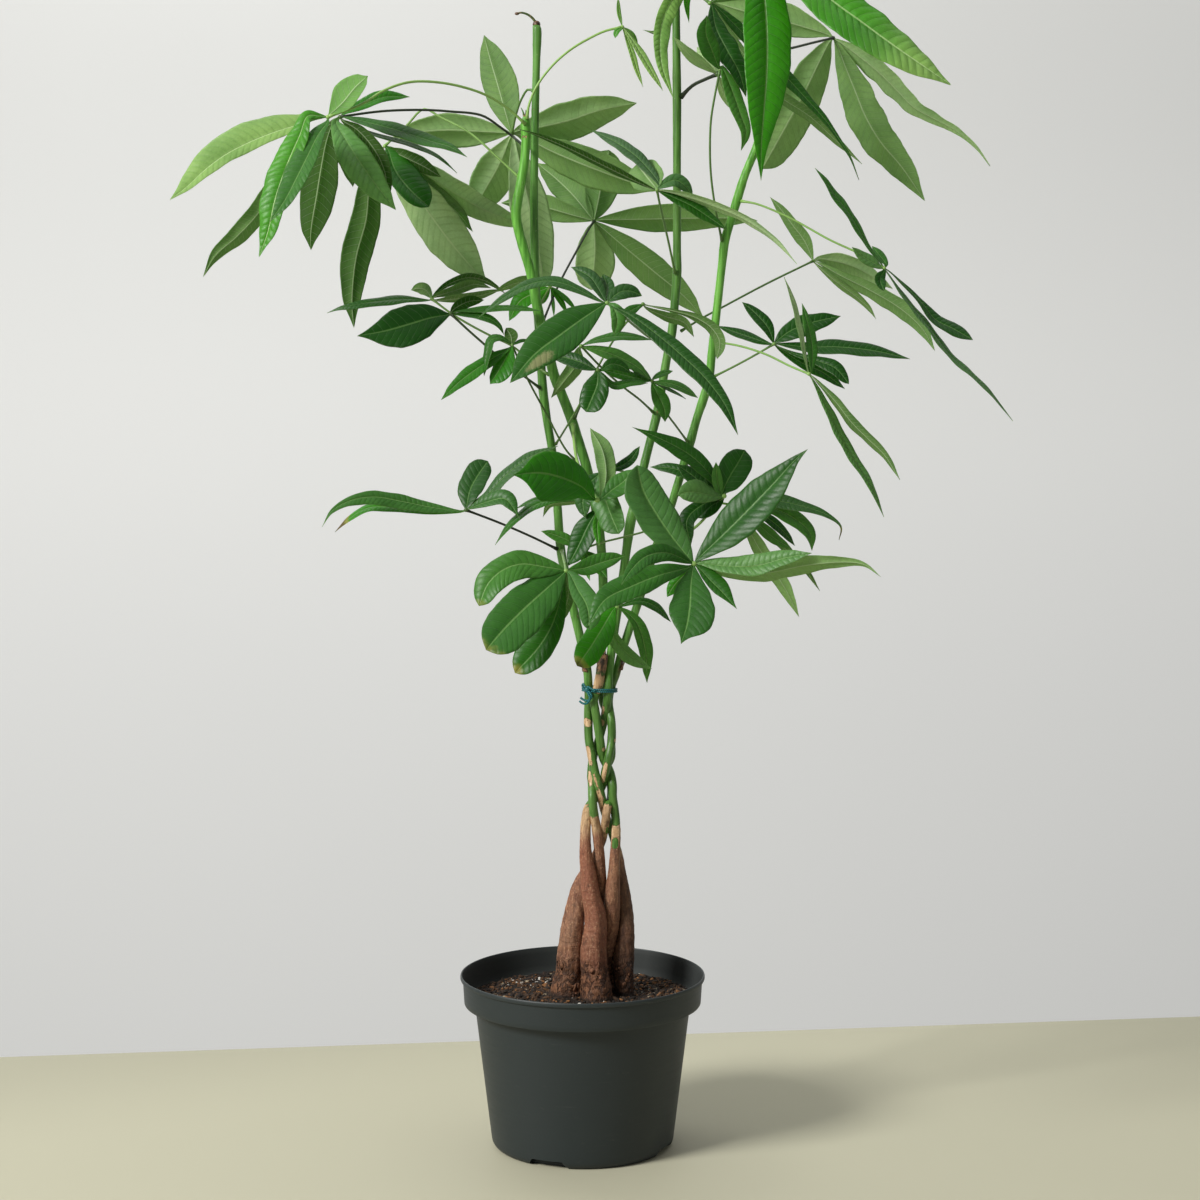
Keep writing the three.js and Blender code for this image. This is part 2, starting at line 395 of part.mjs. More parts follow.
    leaflets: [
      { spine: [[128, -18.9, 1161.5], [132.5, -31.9, 1136.3], [142.9, -41.5, 1113.8], [154.5, -47.5, 1091.7], [161.4, -50, 1067.2]], left: 11.9, right: 11.9, leftDepth: 3.7, rightDepth: -7.5, widest: 0.5 },
      { spine: [[130.1, -16, 1161.9], [141.6, -4.9, 1150.7], [153.2, 6.3, 1139.5], [164.9, 16.9, 1129]], left: 6.9, right: 6.9, leftDepth: -3.9, rightDepth: 6.1, widest: 0.5 },
      { spine: [[131.1, -17.1, 1160.7], [162.4, -9.6, 1132.5], [189.7, -5.7, 1106.5], [218, -4.6, 1077.1], [243, -6.2, 1049.3], [258, -8.8, 1028.3], [267.8, -11.5, 1012.3], [276.6, -16, 989.2]], left: 8.4, right: 8.4, leftDepth: 4.5, rightDepth: -7.2, widest: 0.62 },
      { spine: [[130.1, -15.7, 1159], [163.5, 7.8, 1115], [194.7, 21.1, 1079.9], [230.9, 28.4, 1056.7], [256.7, 31.1, 1033.9], [284.3, 30.9, 1008.8]], left: 4.5, right: 4.5, leftDepth: -10.3, rightDepth: 11.7, widest: 0.6 },
      { spine: [[130.1, -16, 1164.8], [152.7, -0.9, 1179.7], [183.7, 17.3, 1190.3], [220.5, 37.9, 1191.5]], left: 13.9, right: 13.9, leftDepth: -6.9, rightDepth: 11.3, widest: 0.5 },
    ],
  },
  {
    name: "leaf_crown_front",
    stalkRadius: 1.53,
    hub: [170.1, -145.6, 1207.9],
    stalk: [[185.8, -26, 1199.2], [179.8, -70.2, 1203.6], [173.9, -115.7, 1205.5]],
    leaflets: [
      { spine: [[169, -149.1, 1201.8], [168.9, -167.1, 1166.8], [171.1, -180.1, 1137.4], [172.2, -193.7, 1099.2], [171, -202.2, 1066.4], [168, -207.9, 1029.4], [166.3, -209.5, 1002], [166.5, -208.6, 973.8]], left: 23.5, right: 22.5, leftDepth: 5.1, rightDepth: -12.1, widest: 0.45 },
      { spine: [[175.5, -149.5, 1203.5], [204, -171.7, 1168.8], [235.2, -188.7, 1138], [257.6, -197.1, 1120.5], [284.6, -204.2, 1099.6], [312, -208, 1080.2], [340.6, -208.6, 1061.1]], left: 19.7, right: 24.4, leftDepth: 9.3, rightDepth: -19.2, widest: 0.52 },
      { spine: [[175.7, -145.1, 1209.8], [205.9, -142.3, 1221.3], [243.8, -139, 1223.7], [286.7, -135.2, 1213.3], [325.1, -131.6, 1197.3]], left: 16.9, right: 16.9, leftDepth: 8.1, rightDepth: -13.5, widest: 0.5 },
      { spine: [[174, -142.4, 1213.9], [192.9, -125.5, 1247.4], [219.7, -107.5, 1278.7], [252.6, -89.6, 1303.8]], left: 16, right: 16, leftDepth: 7.7, rightDepth: -12.8, widest: 0.5 },
      { spine: [[165.5, -143.3, 1211.9], [145.4, -131.4, 1237.1], [112.8, -117.5, 1255.4], [77.1, -103.6, 1265.5]], left: 16, right: 16, leftDepth: -12.8, rightDepth: 7.7, widest: 0.5 },
    ],
  },
  {
    name: "leaf_right_back",
    stalkRadius: 1.27,
    hub: [261.1, 111.4, 1145.3],
    stalk: [[189.1, -14, 1115.2], [212.2, 28.9, 1124.6], [236, 71.8, 1135.1]],
    leaflets: [
      { spine: [[257, 112, 1148.4], [232.1, 114.8, 1157], [206.2, 117.7, 1164.6], [169.7, 121.8, 1174.4], [137.4, 125.4, 1184.2]], left: 14.6, right: 17.7, leftDepth: 11.9, rightDepth: -8.6, widest: 0.5 },
      { spine: [[258, 111.4, 1142.2], [247.7, 111.4, 1122.7], [236.4, 111.4, 1099], [222, 111.4, 1071.2], [206.5, 111.4, 1043.3], [187.8, 111.4, 1010.1]], left: 21.9, right: 23, leftDepth: 15, rightDepth: -8.3, widest: 0.5 },
      { spine: [[264.2, 110.8, 1141.1], [273.6, 108.1, 1117.1], [284, 105.1, 1091.1], [295.4, 101.9, 1063], [310.9, 98.6, 1036.9], [332.6, 95, 1010.9], [356.4, 90.4, 975.5]], left: 17.7, right: 17.7, leftDepth: -6.8, rightDepth: 12.5, widest: 0.47 },
      { spine: [[268.3, 109.5, 1140.9], [290.7, 102.9, 1123.7], [309, 97.3, 1107.7], [326.2, 91.6, 1089.6], [343.3, 85.8, 1071.6], [364.4, 80, 1058.8], [386.5, 74, 1046], [405.5, 68.1, 1029.1], [419.3, 62.4, 1009.3]], left: 9.4, right: 9.4, leftDepth: -8.3, rightDepth: 11.3, widest: 0.6 },
    ],
  },
  {
    name: "leaf_crown_back",
    stalkRadius: 1.33,
    hub: [59.9, 139.4, 1342.7],
    stalk: [[93, 14, 1288], [81.2, 65.2, 1307.7], [69.8, 109.7, 1328.5]],
    leaflets: [
      { spine: [[57.8, 140.2, 1344.9], [33.8, 148.1, 1359.8], [2.2, 157.1, 1366.8], [-32.8, 167.4, 1358.7]], left: 15.7, right: 15.7, leftDepth: -12.7, rightDepth: 7.7, widest: 0.5 },
      { spine: [[59.9, 142, 1348.3], [51.7, 158.3, 1382.5], [37.1, 174.3, 1413.9], [18, 188.4, 1437.8]], left: 15.7, right: 15.7, leftDepth: -10.6, rightDepth: 5.6, widest: 0.5 },
      { spine: [[63.1, 144.3, 1348.8], [76.2, 167.6, 1379.4], [90.4, 189.7, 1408], [99.5, 209.4, 1435.4]], left: 13.6, right: 13.6, leftDepth: 4.9, rightDepth: -9.2, widest: 0.5 },
      { spine: [[55.7, 141, 1340.9], [30.6, 151.1, 1329.6], [7.4, 162.9, 1308.1], [-7.5, 174.4, 1281.1]], left: 14.7, right: 14.7, leftDepth: 12, rightDepth: -7.3, widest: 0.5 },
      { spine: [[63.1, 141.6, 1341.1], [76.1, 160, 1315.9], [81.9, 177.2, 1290], [80.2, 195.4, 1261.8]], left: 13.6, right: 13.6, leftDepth: -3.2, rightDepth: 7.6, widest: 0.5 },
    ],
  },
  {
    name: "leaf_crown_right",
    stalkRadius: 1.33,
    hub: [153.3, 25.2, 1334.2],
    stalk: [[96.9, 12, 1302.2], [115.9, 15.3, 1315.6], [136.1, 20.2, 1328.3]],
    leaflets: [
      { spine: [[156.3, 25.7, 1336.3], [183.6, 30, 1351.9], [217, 34.6, 1358.8], [249.6, 39.2, 1351.9]], left: 14, right: 14, leftDepth: 7, rightDepth: -11.4, widest: 0.5 },
      { spine: [[156.4, 27.4, 1332.7], [184.7, 44.2, 1328.3], [211.4, 62.3, 1315.1], [231.4, 81.2, 1292.8]], left: 14, right: 14, leftDepth: 7, rightDepth: -11.4, widest: 0.5 },
      { spine: [[154.2, 24.5, 1338], [165.9, 19.9, 1362.4], [182.4, 15.6, 1381.9], [203.9, 11.2, 1396.4]], left: 14, right: 14, leftDepth: 6.6, rightDepth: -11.1, widest: 0.5 },
      { spine: [[151.3, 26.3, 1338.4], [140.5, 33.3, 1365.3], [134.7, 40.2, 1393.4], [134.9, 46.2, 1418.3]], left: 12, right: 12, leftDepth: 2.9, rightDepth: -6.7, widest: 0.5 },
    ],
  },
  {
    name: "shoot_top",
    stalkRadius: 1.53,
    hub: [93.7, 10, 1343.7],
    stalk: [[93.8, 10, 1319.4], [93.7, 10, 1331.1]],
    leaflets: [
      { spine: [[93.6, 8.9, 1345.4], [85.4, -0.6, 1358.9], [73.3, -9.6, 1368.4]], left: 4, right: 4, leftDepth: -3.5, rightDepth: 2.3, widest: 0.5 },
      { spine: [[94.7, 10.7, 1345.8], [101.8, 16.3, 1364.5], [105.9, 21.2, 1381.2]], left: 4, right: 4, leftDepth: 1.5, rightDepth: -2.8, widest: 0.5 },
      { spine: [[92.7, 9.5, 1345.5], [91.5, 5.6, 1362.2], [93.3, 1.6, 1378.7]], left: 4, right: 4, leftDepth: -2.6, rightDepth: 1.3, widest: 0.5 },
    ],
  },
  {
    name: "leaf_left_low",
    stalkRadius: 1.12,
    hub: [-154.2, 39.6, 872.7],
    stalk: [[-33.5, -5, 795.3], [-47.8, 3.2, 805.3], [-71.4, 13.2, 824.6], [-93, 19.8, 834.8], [-112.6, 26.3, 845], [-133.4, 32.9, 857.3]],
    leaflets: [
      { spine: [[-156.2, 38.8, 871.7], [-181.2, 30.6, 872.5], [-206, 22.4, 870.2], [-230.7, 14.1, 866], [-245.4, 9.1, 862.8], [-258.1, 4.6, 857.7]], left: 5.6, right: 4.6, leftDepth: -11.8, rightDepth: 10.7, widest: 0.45 },
      { spine: [[-155.4, 42.5, 874.9], [-161.3, 53.9, 882.4], [-169.1, 63.6, 884.7], [-178.3, 74.6, 883]], left: 6.1, right: 6.1, leftDepth: 5.5, rightDepth: -3.6, widest: 0.5 },
      { spine: [[-153.2, 40.3, 875.8], [-138, 44.9, 888.2], [-117.7, 49.9, 895.5], [-98.4, 54.5, 891.6], [-79.1, 60, 878.5]], left: 3.6, right: 3.6, leftDepth: -7.9, rightDepth: 9.1, widest: 0.5 },
      { spine: [[-152.1, 38.9, 874.8], [-130.2, 33.9, 881.7], [-109.5, 29.3, 887.7], [-93.1, 25.6, 883.5]], left: 5.1, right: 5.1, leftDepth: -6.8, rightDepth: 8.5, widest: 0.5 },
      { spine: [[-152.1, 38.5, 871.7], [-124.7, 25.7, 873.4], [-103.8, 15.7, 876.1], [-81, 4.6, 881.8]], left: 4.1, right: 4.1, leftDepth: -7.6, rightDepth: 8.9, widest: 0.5 },
    ],
  },
  {
    name: "leaf_left_dark",
    stalkRadius: 1.17,
    hub: [-131.2, -21.8, 856.1],
    stalk: [[-42.8, 3, 782.1], [-57.6, -8.6, 793.3], [-77.3, -21.8, 808.3], [-98.1, -25.1, 826.2], [-114.1, -23.4, 840.2]],
    leaflets: [
      { spine: [[-135.1, -22.9, 855.1], [-151.8, -27.9, 852], [-171.3, -34, 845.9], [-195.7, -41.5, 838.9], [-222.7, -49.8, 833.8]], left: 22, right: 20, leftDepth: -17.4, rightDepth: 9.5, widest: 0.43 },
      { spine: [[-130.3, -19.4, 859.1], [-122.6, -12, 865.3], [-113, -4.1, 869.5], [-99.3, 6.2, 870.8]], left: 6, right: 6, leftDepth: -3.5, rightDepth: 5.4, widest: 0.5 },
      { spine: [[-127.1, -22.1, 858.1], [-97, -24.4, 861], [-66.9, -26.7, 861.9], [-39.9, -28.8, 858.9]], left: 3.5, right: 3.5, leftDepth: 7.7, rightDepth: -8.9, widest: 0.5 },
      { spine: [[-126.1, -23.1, 856.1], [-106.8, -28.3, 855], [-91.7, -32.6, 850.9], [-81.6, -36.1, 842.9], [-77.5, -38.6, 835]], left: 4, right: 4, leftDepth: 6.3, rightDepth: -7.6, widest: 0.5 },
    ],
  },
  {
    name: "leaf_left_small",
    stalkRadius: 1.02,
    hub: [-69.1, -52.3, 824.9],
    stalk: [[-5.2, -16, 707.9], [-16.2, -22.6, 720.2], [-35, -35.8, 755.5], [-54.5, -45.7, 792.4]],
    leaflets: [
      { spine: [[-70.1, -53.3, 822.9], [-85.6, -62.1, 813], [-104.8, -73.2, 800.3], [-121, -83.1, 787.6], [-137.1, -94.3, 771.1]], left: 7.4, right: 7.4, leftDepth: -6.5, rightDepth: 4.1, widest: 0.5 },
      { spine: [[-71.1, -53.3, 826.9], [-80.8, -57.2, 831.8], [-89.5, -60.4, 829.8], [-93.3, -65.9, 815], [-96, -73.3, 794.4]], left: 4.5, right: 4.5, leftDepth: -7.3, rightDepth: 5.8, widest: 0.5 },
      { spine: [[-70.1, -53.8, 822], [-74.9, -59, 812.1], [-81.5, -65.5, 800.3], [-90.1, -73.3, 786.6]], left: 12.9, right: 7.9, leftDepth: -9.2, rightDepth: 3.4, widest: 0.5 },
      { spine: [[-69.2, -49.3, 826.9], [-70.6, -38.6, 834], [-76, -24.3, 842.1]], left: 6.9, right: 6.9, leftDepth: 4.5, rightDepth: -2.3, widest: 0.5 },
      { spine: [[-67.2, -50.6, 825.9], [-61.4, -45.3, 828.9], [-52.7, -38.3, 830]], left: 2, right: 2, leftDepth: 4.2, rightDepth: -4.9, widest: 0.5 },
    ],
  },
  {
    name: "leaf_centre_front",
    stalkRadius: 1.17,
    hub: [24.6, -170, 863.1],
    stalk: [[86.9, 5, 821.5], [67.8, -37, 832], [47.1, -100, 846.6], [32.3, -149, 858]],
    leaflets: [
      { spine: [[22.7, -171.1, 862.1], [3.9, -183, 849.7], [-19.3, -198.3, 832.7], [-42.2, -213.9, 815], [-64.7, -233, 788.4]], left: 17.9, right: 17.9, leftDepth: -14.3, rightDepth: 8.6, widest: 0.45 },
      { spine: [[20.8, -169.4, 864], [3.9, -167.7, 872.5], [-15, -168.1, 880.9], [-33.7, -170.5, 883.6], [-52.4, -175, 878.8], [-71, -182.3, 868.3], [-95.6, -198, 848.5]], left: 5.2, right: 5.2, leftDepth: -9.8, rightDepth: 8.1, widest: 0.4 },
      { spine: [[21.8, -167.3, 866.9], [16.1, -160.7, 877.4], [8.5, -153.4, 888], [-9.6, -142, 897.9]], left: 5.7, right: 7.5, leftDepth: -5.1, rightDepth: 4.1, widest: 0.5 },
      { spine: [[23.7, -164, 867.9], [24.6, -149.9, 879.7], [20.9, -135, 891.5]], left: 7.5, right: 7.5, leftDepth: 2, rightDepth: -4.4, widest: 0.5 },
      { spine: [[27.4, -168.5, 865.9], [36.9, -164, 873.6], [46.4, -160.5, 874.6], [57.8, -156, 870.1]], left: 7.5, right: 7.5, leftDepth: 4.1, rightDepth: -6.5, widest: 0.5 },
      { spine: [[29.3, -172.7, 860.2], [34, -178.8, 848.9], [31.1, -186.8, 832.9]], left: 8.5, right: 5.7, leftDepth: 2.2, rightDepth: -3.4, widest: 0.5 },
      { spine: [[27.4, -171.5, 861.2], [46.1, -180.5, 851.6], [69.3, -193, 834.7], [92.3, -206.2, 815.1], [115.1, -220.2, 792.9], [133, -233.8, 768.2], [144.3, -247, 741]], left: 8.9, right: 8.9, leftDepth: 4.7, rightDepth: -7.6, widest: 0.55 },
    ],
  },
  {
    name: "leaf_centre_grey",
    stalkRadius: 1.02,
    hub: [59.6, -103.6, 863.9],
    stalk: [[-26.7, 2, 725.5], [-11.9, -40.9, 749.6], [1.2, -57.4, 772.7], [16, -67.3, 803.2], [34.6, -80.5, 834.4], [48.2, -92.1, 851.6]],
    leaflets: [
      { spine: [[62.5, -103.9, 862.9], [85.7, -106.5, 858.1], [109.8, -109.2, 851.3], [126.2, -111.3, 840.7], [133.9, -113, 827.2], [131, -114.8, 810.8]], left: 5.8, right: 5.8, leftDepth: -5.6, rightDepth: 7.4, widest: 0.68 },
      { spine: [[57.7, -104.7, 862.9], [47, -111, 857], [36.3, -117.6, 850.1]], left: 4.8, right: 4.8, leftDepth: -4.5, rightDepth: 2.9, widest: 0.5 },
      { spine: [[61.6, -102.4, 861], [81.2, -95.1, 852.5], [100.9, -88.1, 845.9], [109.9, -82.6, 832.4]], left: 4.8, right: 4.8, leftDepth: -2.9, rightDepth: 4.5, widest: 0.6 },
    ],
  },
  {
    name: "leaf_centre_small",
    stalkRadius: 1.12,
    hub: [-33, 28.5, 884.6],
    stalk: [[-42.8, 12, 865.9], [-38, 21.9, 875.3]],
    leaflets: [
      { spine: [[-35, 28.1, 883.6], [-48.2, 25.3, 878.4], [-63.4, 21.9, 870.2], [-74.5, 17.3, 849.9]], left: 9.2, right: 8.2, leftDepth: -7.8, rightDepth: 4.4, widest: 0.5 },
      { spine: [[-35.1, 29.3, 886.6], [-53.6, 34.6, 890.9], [-72.1, 39.9, 888], [-89.8, 45.3, 880]], left: 5.1, right: 5.1, leftDepth: 8.4, rightDepth: -6.8, widest: 0.5 },
      { spine: [[-34.1, 29.8, 882.6], [-38.2, 34.2, 876.7], [-40.4, 39.7, 867.7]], left: 4.1, right: 4.1, leftDepth: -3.1, rightDepth: 1.8, widest: 0.5 },
      { spine: [[-32, 28.9, 882.6], [-30, 31.3, 869.5], [-29.1, 34.1, 854.3]], left: 1.8, right: 1.8, leftDepth: -3.1, rightDepth: 2.6, widest: 0.5 },
      { spine: [[-31, 29.3, 882.6], [-22.9, 32.9, 871.5], [-15.8, 36.9, 858.4]], left: 3.1, right: 3.1, leftDepth: 4.3, rightDepth: -5.2, widest: 0.5 },
      { spine: [[-30, 30, 883.6], [-17.8, 37.2, 873.7], [-5.6, 45.3, 860.7]], left: 2.7, right: 2.7, leftDepth: 5.1, rightDepth: -5.9, widest: 0.5 },
    ],
  },
  {
    name: "leaf_centre_shaded",
    stalkRadius: 1.07,
    hub: [-0.4, -102.7, 823.5],
    stalk: [[71.8, 5, 757.8], [58.2, -19.8, 770.3], [39.8, -49.6, 784.5], [16, -82.8, 806.1]],
    leaflets: [
      { spine: [[1.5, -101.9, 824.4], [18, -94.9, 830.3], [42.4, -85.2, 833.3], [69, -74.7, 829.6]], left: 4.4, right: 4.4, leftDepth: 6.9, rightDepth: -8.3, widest: 0.5 },
      { spine: [[2.5, -102.3, 822.5], [22.9, -99.5, 817.7], [42.3, -96.7, 810], [57, -94.4, 801.2], [65.8, -92.7, 791.5]], left: 6.8, right: 6.8, leftDepth: 3.8, rightDepth: -6, widest: 0.5 },
      { spine: [[-2.4, -95.6, 820.6], [-5.6, -66.7, 805.2], [-16.9, -40.6, 790.4], [-31.3, -18.7, 772.3]], left: 7.8, right: 7.8, leftDepth: 5.9, rightDepth: -3.4, widest: 0.5 },
    ],
  },
  {
    name: "leaf_centre_low",
    stalkRadius: 1.07,
    hub: [16.1, -120.9, 800.3],
    stalk: [[-7.2, -15, 752.1], [1.1, -48.5, 770.6], [11.2, -93.7, 790.6]],
    leaflets: [
      { spine: [[13.2, -119.2, 801.2], [-1.4, -110.2, 808], [-17.9, -100.6, 812.8], [-31.7, -92.9, 814.8]], left: 7.7, right: 6.7, leftDepth: -6.7, rightDepth: 3.8, widest: 0.5 },
      { spine: [[16.1, -121.7, 798.4], [15.1, -126.6, 785.9], [10.3, -131.9, 773.5], [4.6, -137.7, 760.2]], left: 13.5, right: 12.5, leftDepth: -7.7, rightDepth: 3.2, widest: 0.42 },
      { spine: [[19, -120, 800.3], [28.6, -116.5, 806], [38.3, -113.4, 804.1], [48, -109.7, 797.4]], left: 5.8, right: 5.8, leftDepth: 3.3, rightDepth: -5.2, widest: 0.5 },
      { spine: [[19, -119.6, 797.4], [30.6, -114.5, 785.8], [47.1, -109.3, 787.7], [64.6, -103.9, 787.7]], left: 3.9, right: 3.9, leftDepth: 6.1, rightDepth: -7.3, widest: 0.5 },
    ],
  },
  {
    name: "leaf_centre_right",
    stalkRadius: 1.02,
    hub: [68.8, -87.6, 789.6],
    stalk: [[106.1, -3, 728.7], [94, -34.2, 744.5], [83.3, -60.3, 758.9], [75, -76.4, 775.8]],
    leaflets: [
      { spine: [[69.8, -86.6, 791.5], [77.7, -82.2, 796.4], [89.6, -76.4, 799.3]], left: 3.1, right: 3.1, leftDepth: 4.5, rightDepth: -5.5, widest: 0.5 },
      { spine: [[71.7, -88.1, 788.6], [88.3, -90.5, 786.7], [101.9, -92.6, 780.8], [113.6, -94.6, 773.1]], left: 4.4, right: 4.4, leftDepth: 4.5, rightDepth: -5.9, widest: 0.5 },
      { spine: [[71.8, -86.1, 787.6], [84.7, -79.8, 781.7], [94.7, -74.9, 776.8], [102.7, -70.8, 771.8]], left: 1.6, right: 1.6, leftDepth: 4.4, rightDepth: -4.9, widest: 0.5 },
      { spine: [[69.8, -88.9, 785.7], [74.6, -92.5, 776], [80.4, -97.1, 763.4], [81.3, -101.6, 749.9]], left: 7.8, right: 7.8, leftDepth: 2.3, rightDepth: -4.8, widest: 0.5 },
      { spine: [[66.9, -88.1, 789.6], [49.2, -92.9, 793.5], [32.6, -97.4, 797.4], [19, -101.1, 800.3]], left: 4.9, right: 4.9, leftDepth: -6.9, rightDepth: 5.3, widest: 0.5 },
      { spine: [[66.9, -86.8, 791.5], [58.1, -83.5, 798.3], [46.4, -79.4, 805.2]], left: 4.4, right: 4.4, leftDepth: -7.2, rightDepth: 5.8, widest: 0.5 },
    ],
  },
  {
    name: "leaf_right_dark",
    stalkRadius: 1.07,
    hub: [190.8, -44.2, 826],
    stalk: [[132.2, -3, 793.2], [153.6, -17.8, 804.3], [174.8, -31.1, 816.2]],
    leaflets: [
      { spine: [[189.9, -43, 829], [185.2, -37.6, 841.9], [173.6, -30.4, 855.9], [160, -23.2, 868]], left: 7, right: 7, leftDepth: -5.9, rightDepth: 3.7, widest: 0.5 },
      { spine: [[188, -42.4, 826], [172.7, -32.2, 831.1], [153.4, -19.2, 838.2], [135.8, -7.6, 844.4]], left: 5, right: 5, leftDepth: -8.2, rightDepth: 6.6, widest: 0.5 },
      { spine: [[193.8, -43.4, 829], [206.9, -40.3, 838.9], [227.1, -36.3, 846.9], [258.4, -30.2, 853.9]], left: 9.9, right: 10.9, leftDepth: 5.2, rightDepth: -9.1, widest: 0.42 },
      { spine: [[194.7, -44.9, 826], [221.2, -49, 823], [255.4, -54.4, 822.9], [289.5, -59.8, 819], [323.5, -65.2, 811.1]], left: 7.4, right: 7.4, leftDepth: 8.1, rightDepth: -10.5, widest: 0.5 },
      { spine: [[193.7, -45.7, 824], [211, -53.6, 816], [230.1, -62, 810.1], [249.1, -70.7, 802.2], [262.2, -79.2, 786.6]], left: 7, right: 7, leftDepth: 3.9, rightDepth: -6.1, widest: 0.5 },
      { spine: [[193.8, -43.9, 823], [217, -41.6, 808.2], [239.1, -39.6, 798.3], [262.4, -37.2, 781.4]], left: 7, right: 6, leftDepth: 3.9, rightDepth: -5.4, widest: 0.6 },
    ],
  },
  {
    name: "leaf_right_narrow",
    stalkRadius: 1.07,
    hub: [218.1, -136.3, 796.5],
    stalk: [[136, -6, 828.4], [157.7, -32.4, 824.1], [180.5, -65.4, 816], [202, -108.3, 804.1]],
    leaflets: [
      { spine: [[217.2, -135.9, 798.4], [212.7, -130.1, 824.1], [208.1, -124.8, 848.1], [202.6, -119.9, 870.2], [195.1, -115.3, 889.4]], left: 3.1, right: 3.1, leftDepth: -5, rightDepth: 5.9, widest: 0.5 },
      { spine: [[220.1, -135, 798.4], [222, -122, 824.2], [218.8, -112.3, 843.5], [213.7, -101.3, 864.9]], left: 5.7, right: 5.7, leftDepth: -4.8, rightDepth: 2.9, widest: 0.45 },
      { spine: [[220, -137.6, 793.6], [233.5, -148.6, 767], [248.8, -162.1, 734.1], [262.2, -172.2, 710.7], [272, -179.2, 695], [285, -192.3, 662.6]], left: 5.3, right: 5.3, leftDepth: 7.5, rightDepth: -9.2, widest: 0.45 },
      { spine: [[221.9, -137.1, 793.6], [242.7, -141.9, 771.7], [258.8, -146, 750.8], [273.8, -149.4, 735.6], [289.8, -153, 719.5], [303.9, -157.3, 695.9]], left: 4.3, right: 4.3, leftDepth: -8.9, rightDepth: 10.3, widest: 0.5 },
    ],
  },
  {
    name: "leaf_right_far",
    stalkRadius: 1.07,
    hub: [242.8, 119.6, 914.8],
    stalk: [[100.3, 14, 839.7], [124.3, 30.5, 854.2], [142.2, 43.7, 863.7], [190.8, 81.7, 889.4]],
    leaflets: [
      { spine: [[241.7, 120.3, 919], [234.5, 123.5, 935.9], [222, 127.1, 952.9], [208.4, 130.9, 970.9], [197.9, 133.6, 982.6]], left: 7.4, right: 6.3, leftDepth: 8, rightDepth: -6.6, widest: 0.35 },
      { spine: [[247.1, 121, 917], [266.6, 126.8, 915.1], [288.5, 133.5, 909.1], [310.7, 140.8, 897.8], [330.7, 147.6, 886.4]], left: 9.5, right: 8.4, leftDepth: -5, rightDepth: 7.3, widest: 0.4 },
      { spine: [[246.9, 118.9, 913.7], [270.8, 114.1, 900], [302, 108, 884.1], [333, 101.7, 865.1], [355.6, 96.4, 844.1], [368.9, 91.6, 820.1]], left: 8.4, right: 8.4, leftDepth: -4.6, rightDepth: 7.3, widest: 0.6 },
      { spine: [[246, 119.9, 911.7], [266.4, 122, 895], [287.8, 124, 879.3], [301.9, 125.4, 866.8], [310.6, 126.6, 854.1]], left: 3.7, right: 3.7, leftDepth: -7, rightDepth: 8.2, widest: 0.5 },
    ],
  },
  {
    name: "leaf_right_trailing",
    stalkRadius: 1.07,
    hub: [298.5, -51.2, 900.6],
    stalk: [[159.2, -10, 968.8], [174.9, -16.6, 965.4], [207.2, -26.5, 951], [246.1, -38.1, 928.7], [273.3, -44.7, 915.6]],
    leaflets: [
      { spine: [[297.5, -51, 902.6], [282.8, -48.1, 922.3], [265.2, -44, 952.9], [250.4, -41.1, 972.6], [240.6, -39, 987.5], [230.8, -37.2, 999.3]], left: 4.9, right: 4.9, leftDepth: -8.6, rightDepth: 7.1, widest: 0.62 },
      { spine: [[296.4, -52, 900.6], [286, -56.2, 906.3], [275.7, -60.4, 911.9], [265.3, -65.2, 920.5]], left: 5.9, right: 5.9, leftDepth: -5.3, rightDepth: 3.4, widest: 0.5 },
      { spine: [[298.3, -53.3, 897.6], [293.7, -59.4, 889.5], [296.8, -68.1, 877.5]], left: 5.9, right: 5.9, leftDepth: 1.7, rightDepth: -3.6, widest: 0.5 },
      { spine: [[300.8, -47.9, 903.7], [295.9, -37.9, 913], [289.1, -26.1, 923.4]], left: 4.9, right: 4.9, leftDepth: -3.9, rightDepth: 2.3, widest: 0.5 },
      { spine: [[303.3, -52.3, 897.6], [318.8, -56.3, 882.8], [335.2, -60.6, 866], [348.7, -64.6, 849.3], [364.1, -67.9, 841.4], [384.2, -72.2, 829.6]], left: 6.9, right: 6.9, leftDepth: 7.3, rightDepth: -9.5, widest: 0.58 },
      { spine: [[301.3, -52.6, 896.6], [318.3, -61.5, 870.9], [340, -71.6, 843.3], [360.5, -81.7, 814.9], [379.2, -89.2, 797.4], [395, -95.7, 781.8], [418.9, -107.2, 751]], left: 4, right: 4, leftDepth: 8.4, rightDepth: -9.6, widest: 0.4 },
    ],
  },
  {
    name: "leaf_low_left",
    stalkRadius: 1.22,
    hub: [-114.7, -66.7, 662.2],
    stalk: [[-25.8, 1, 618.7], [-52.7, -20.4, 633.4], [-82, -43.6, 647.9]],
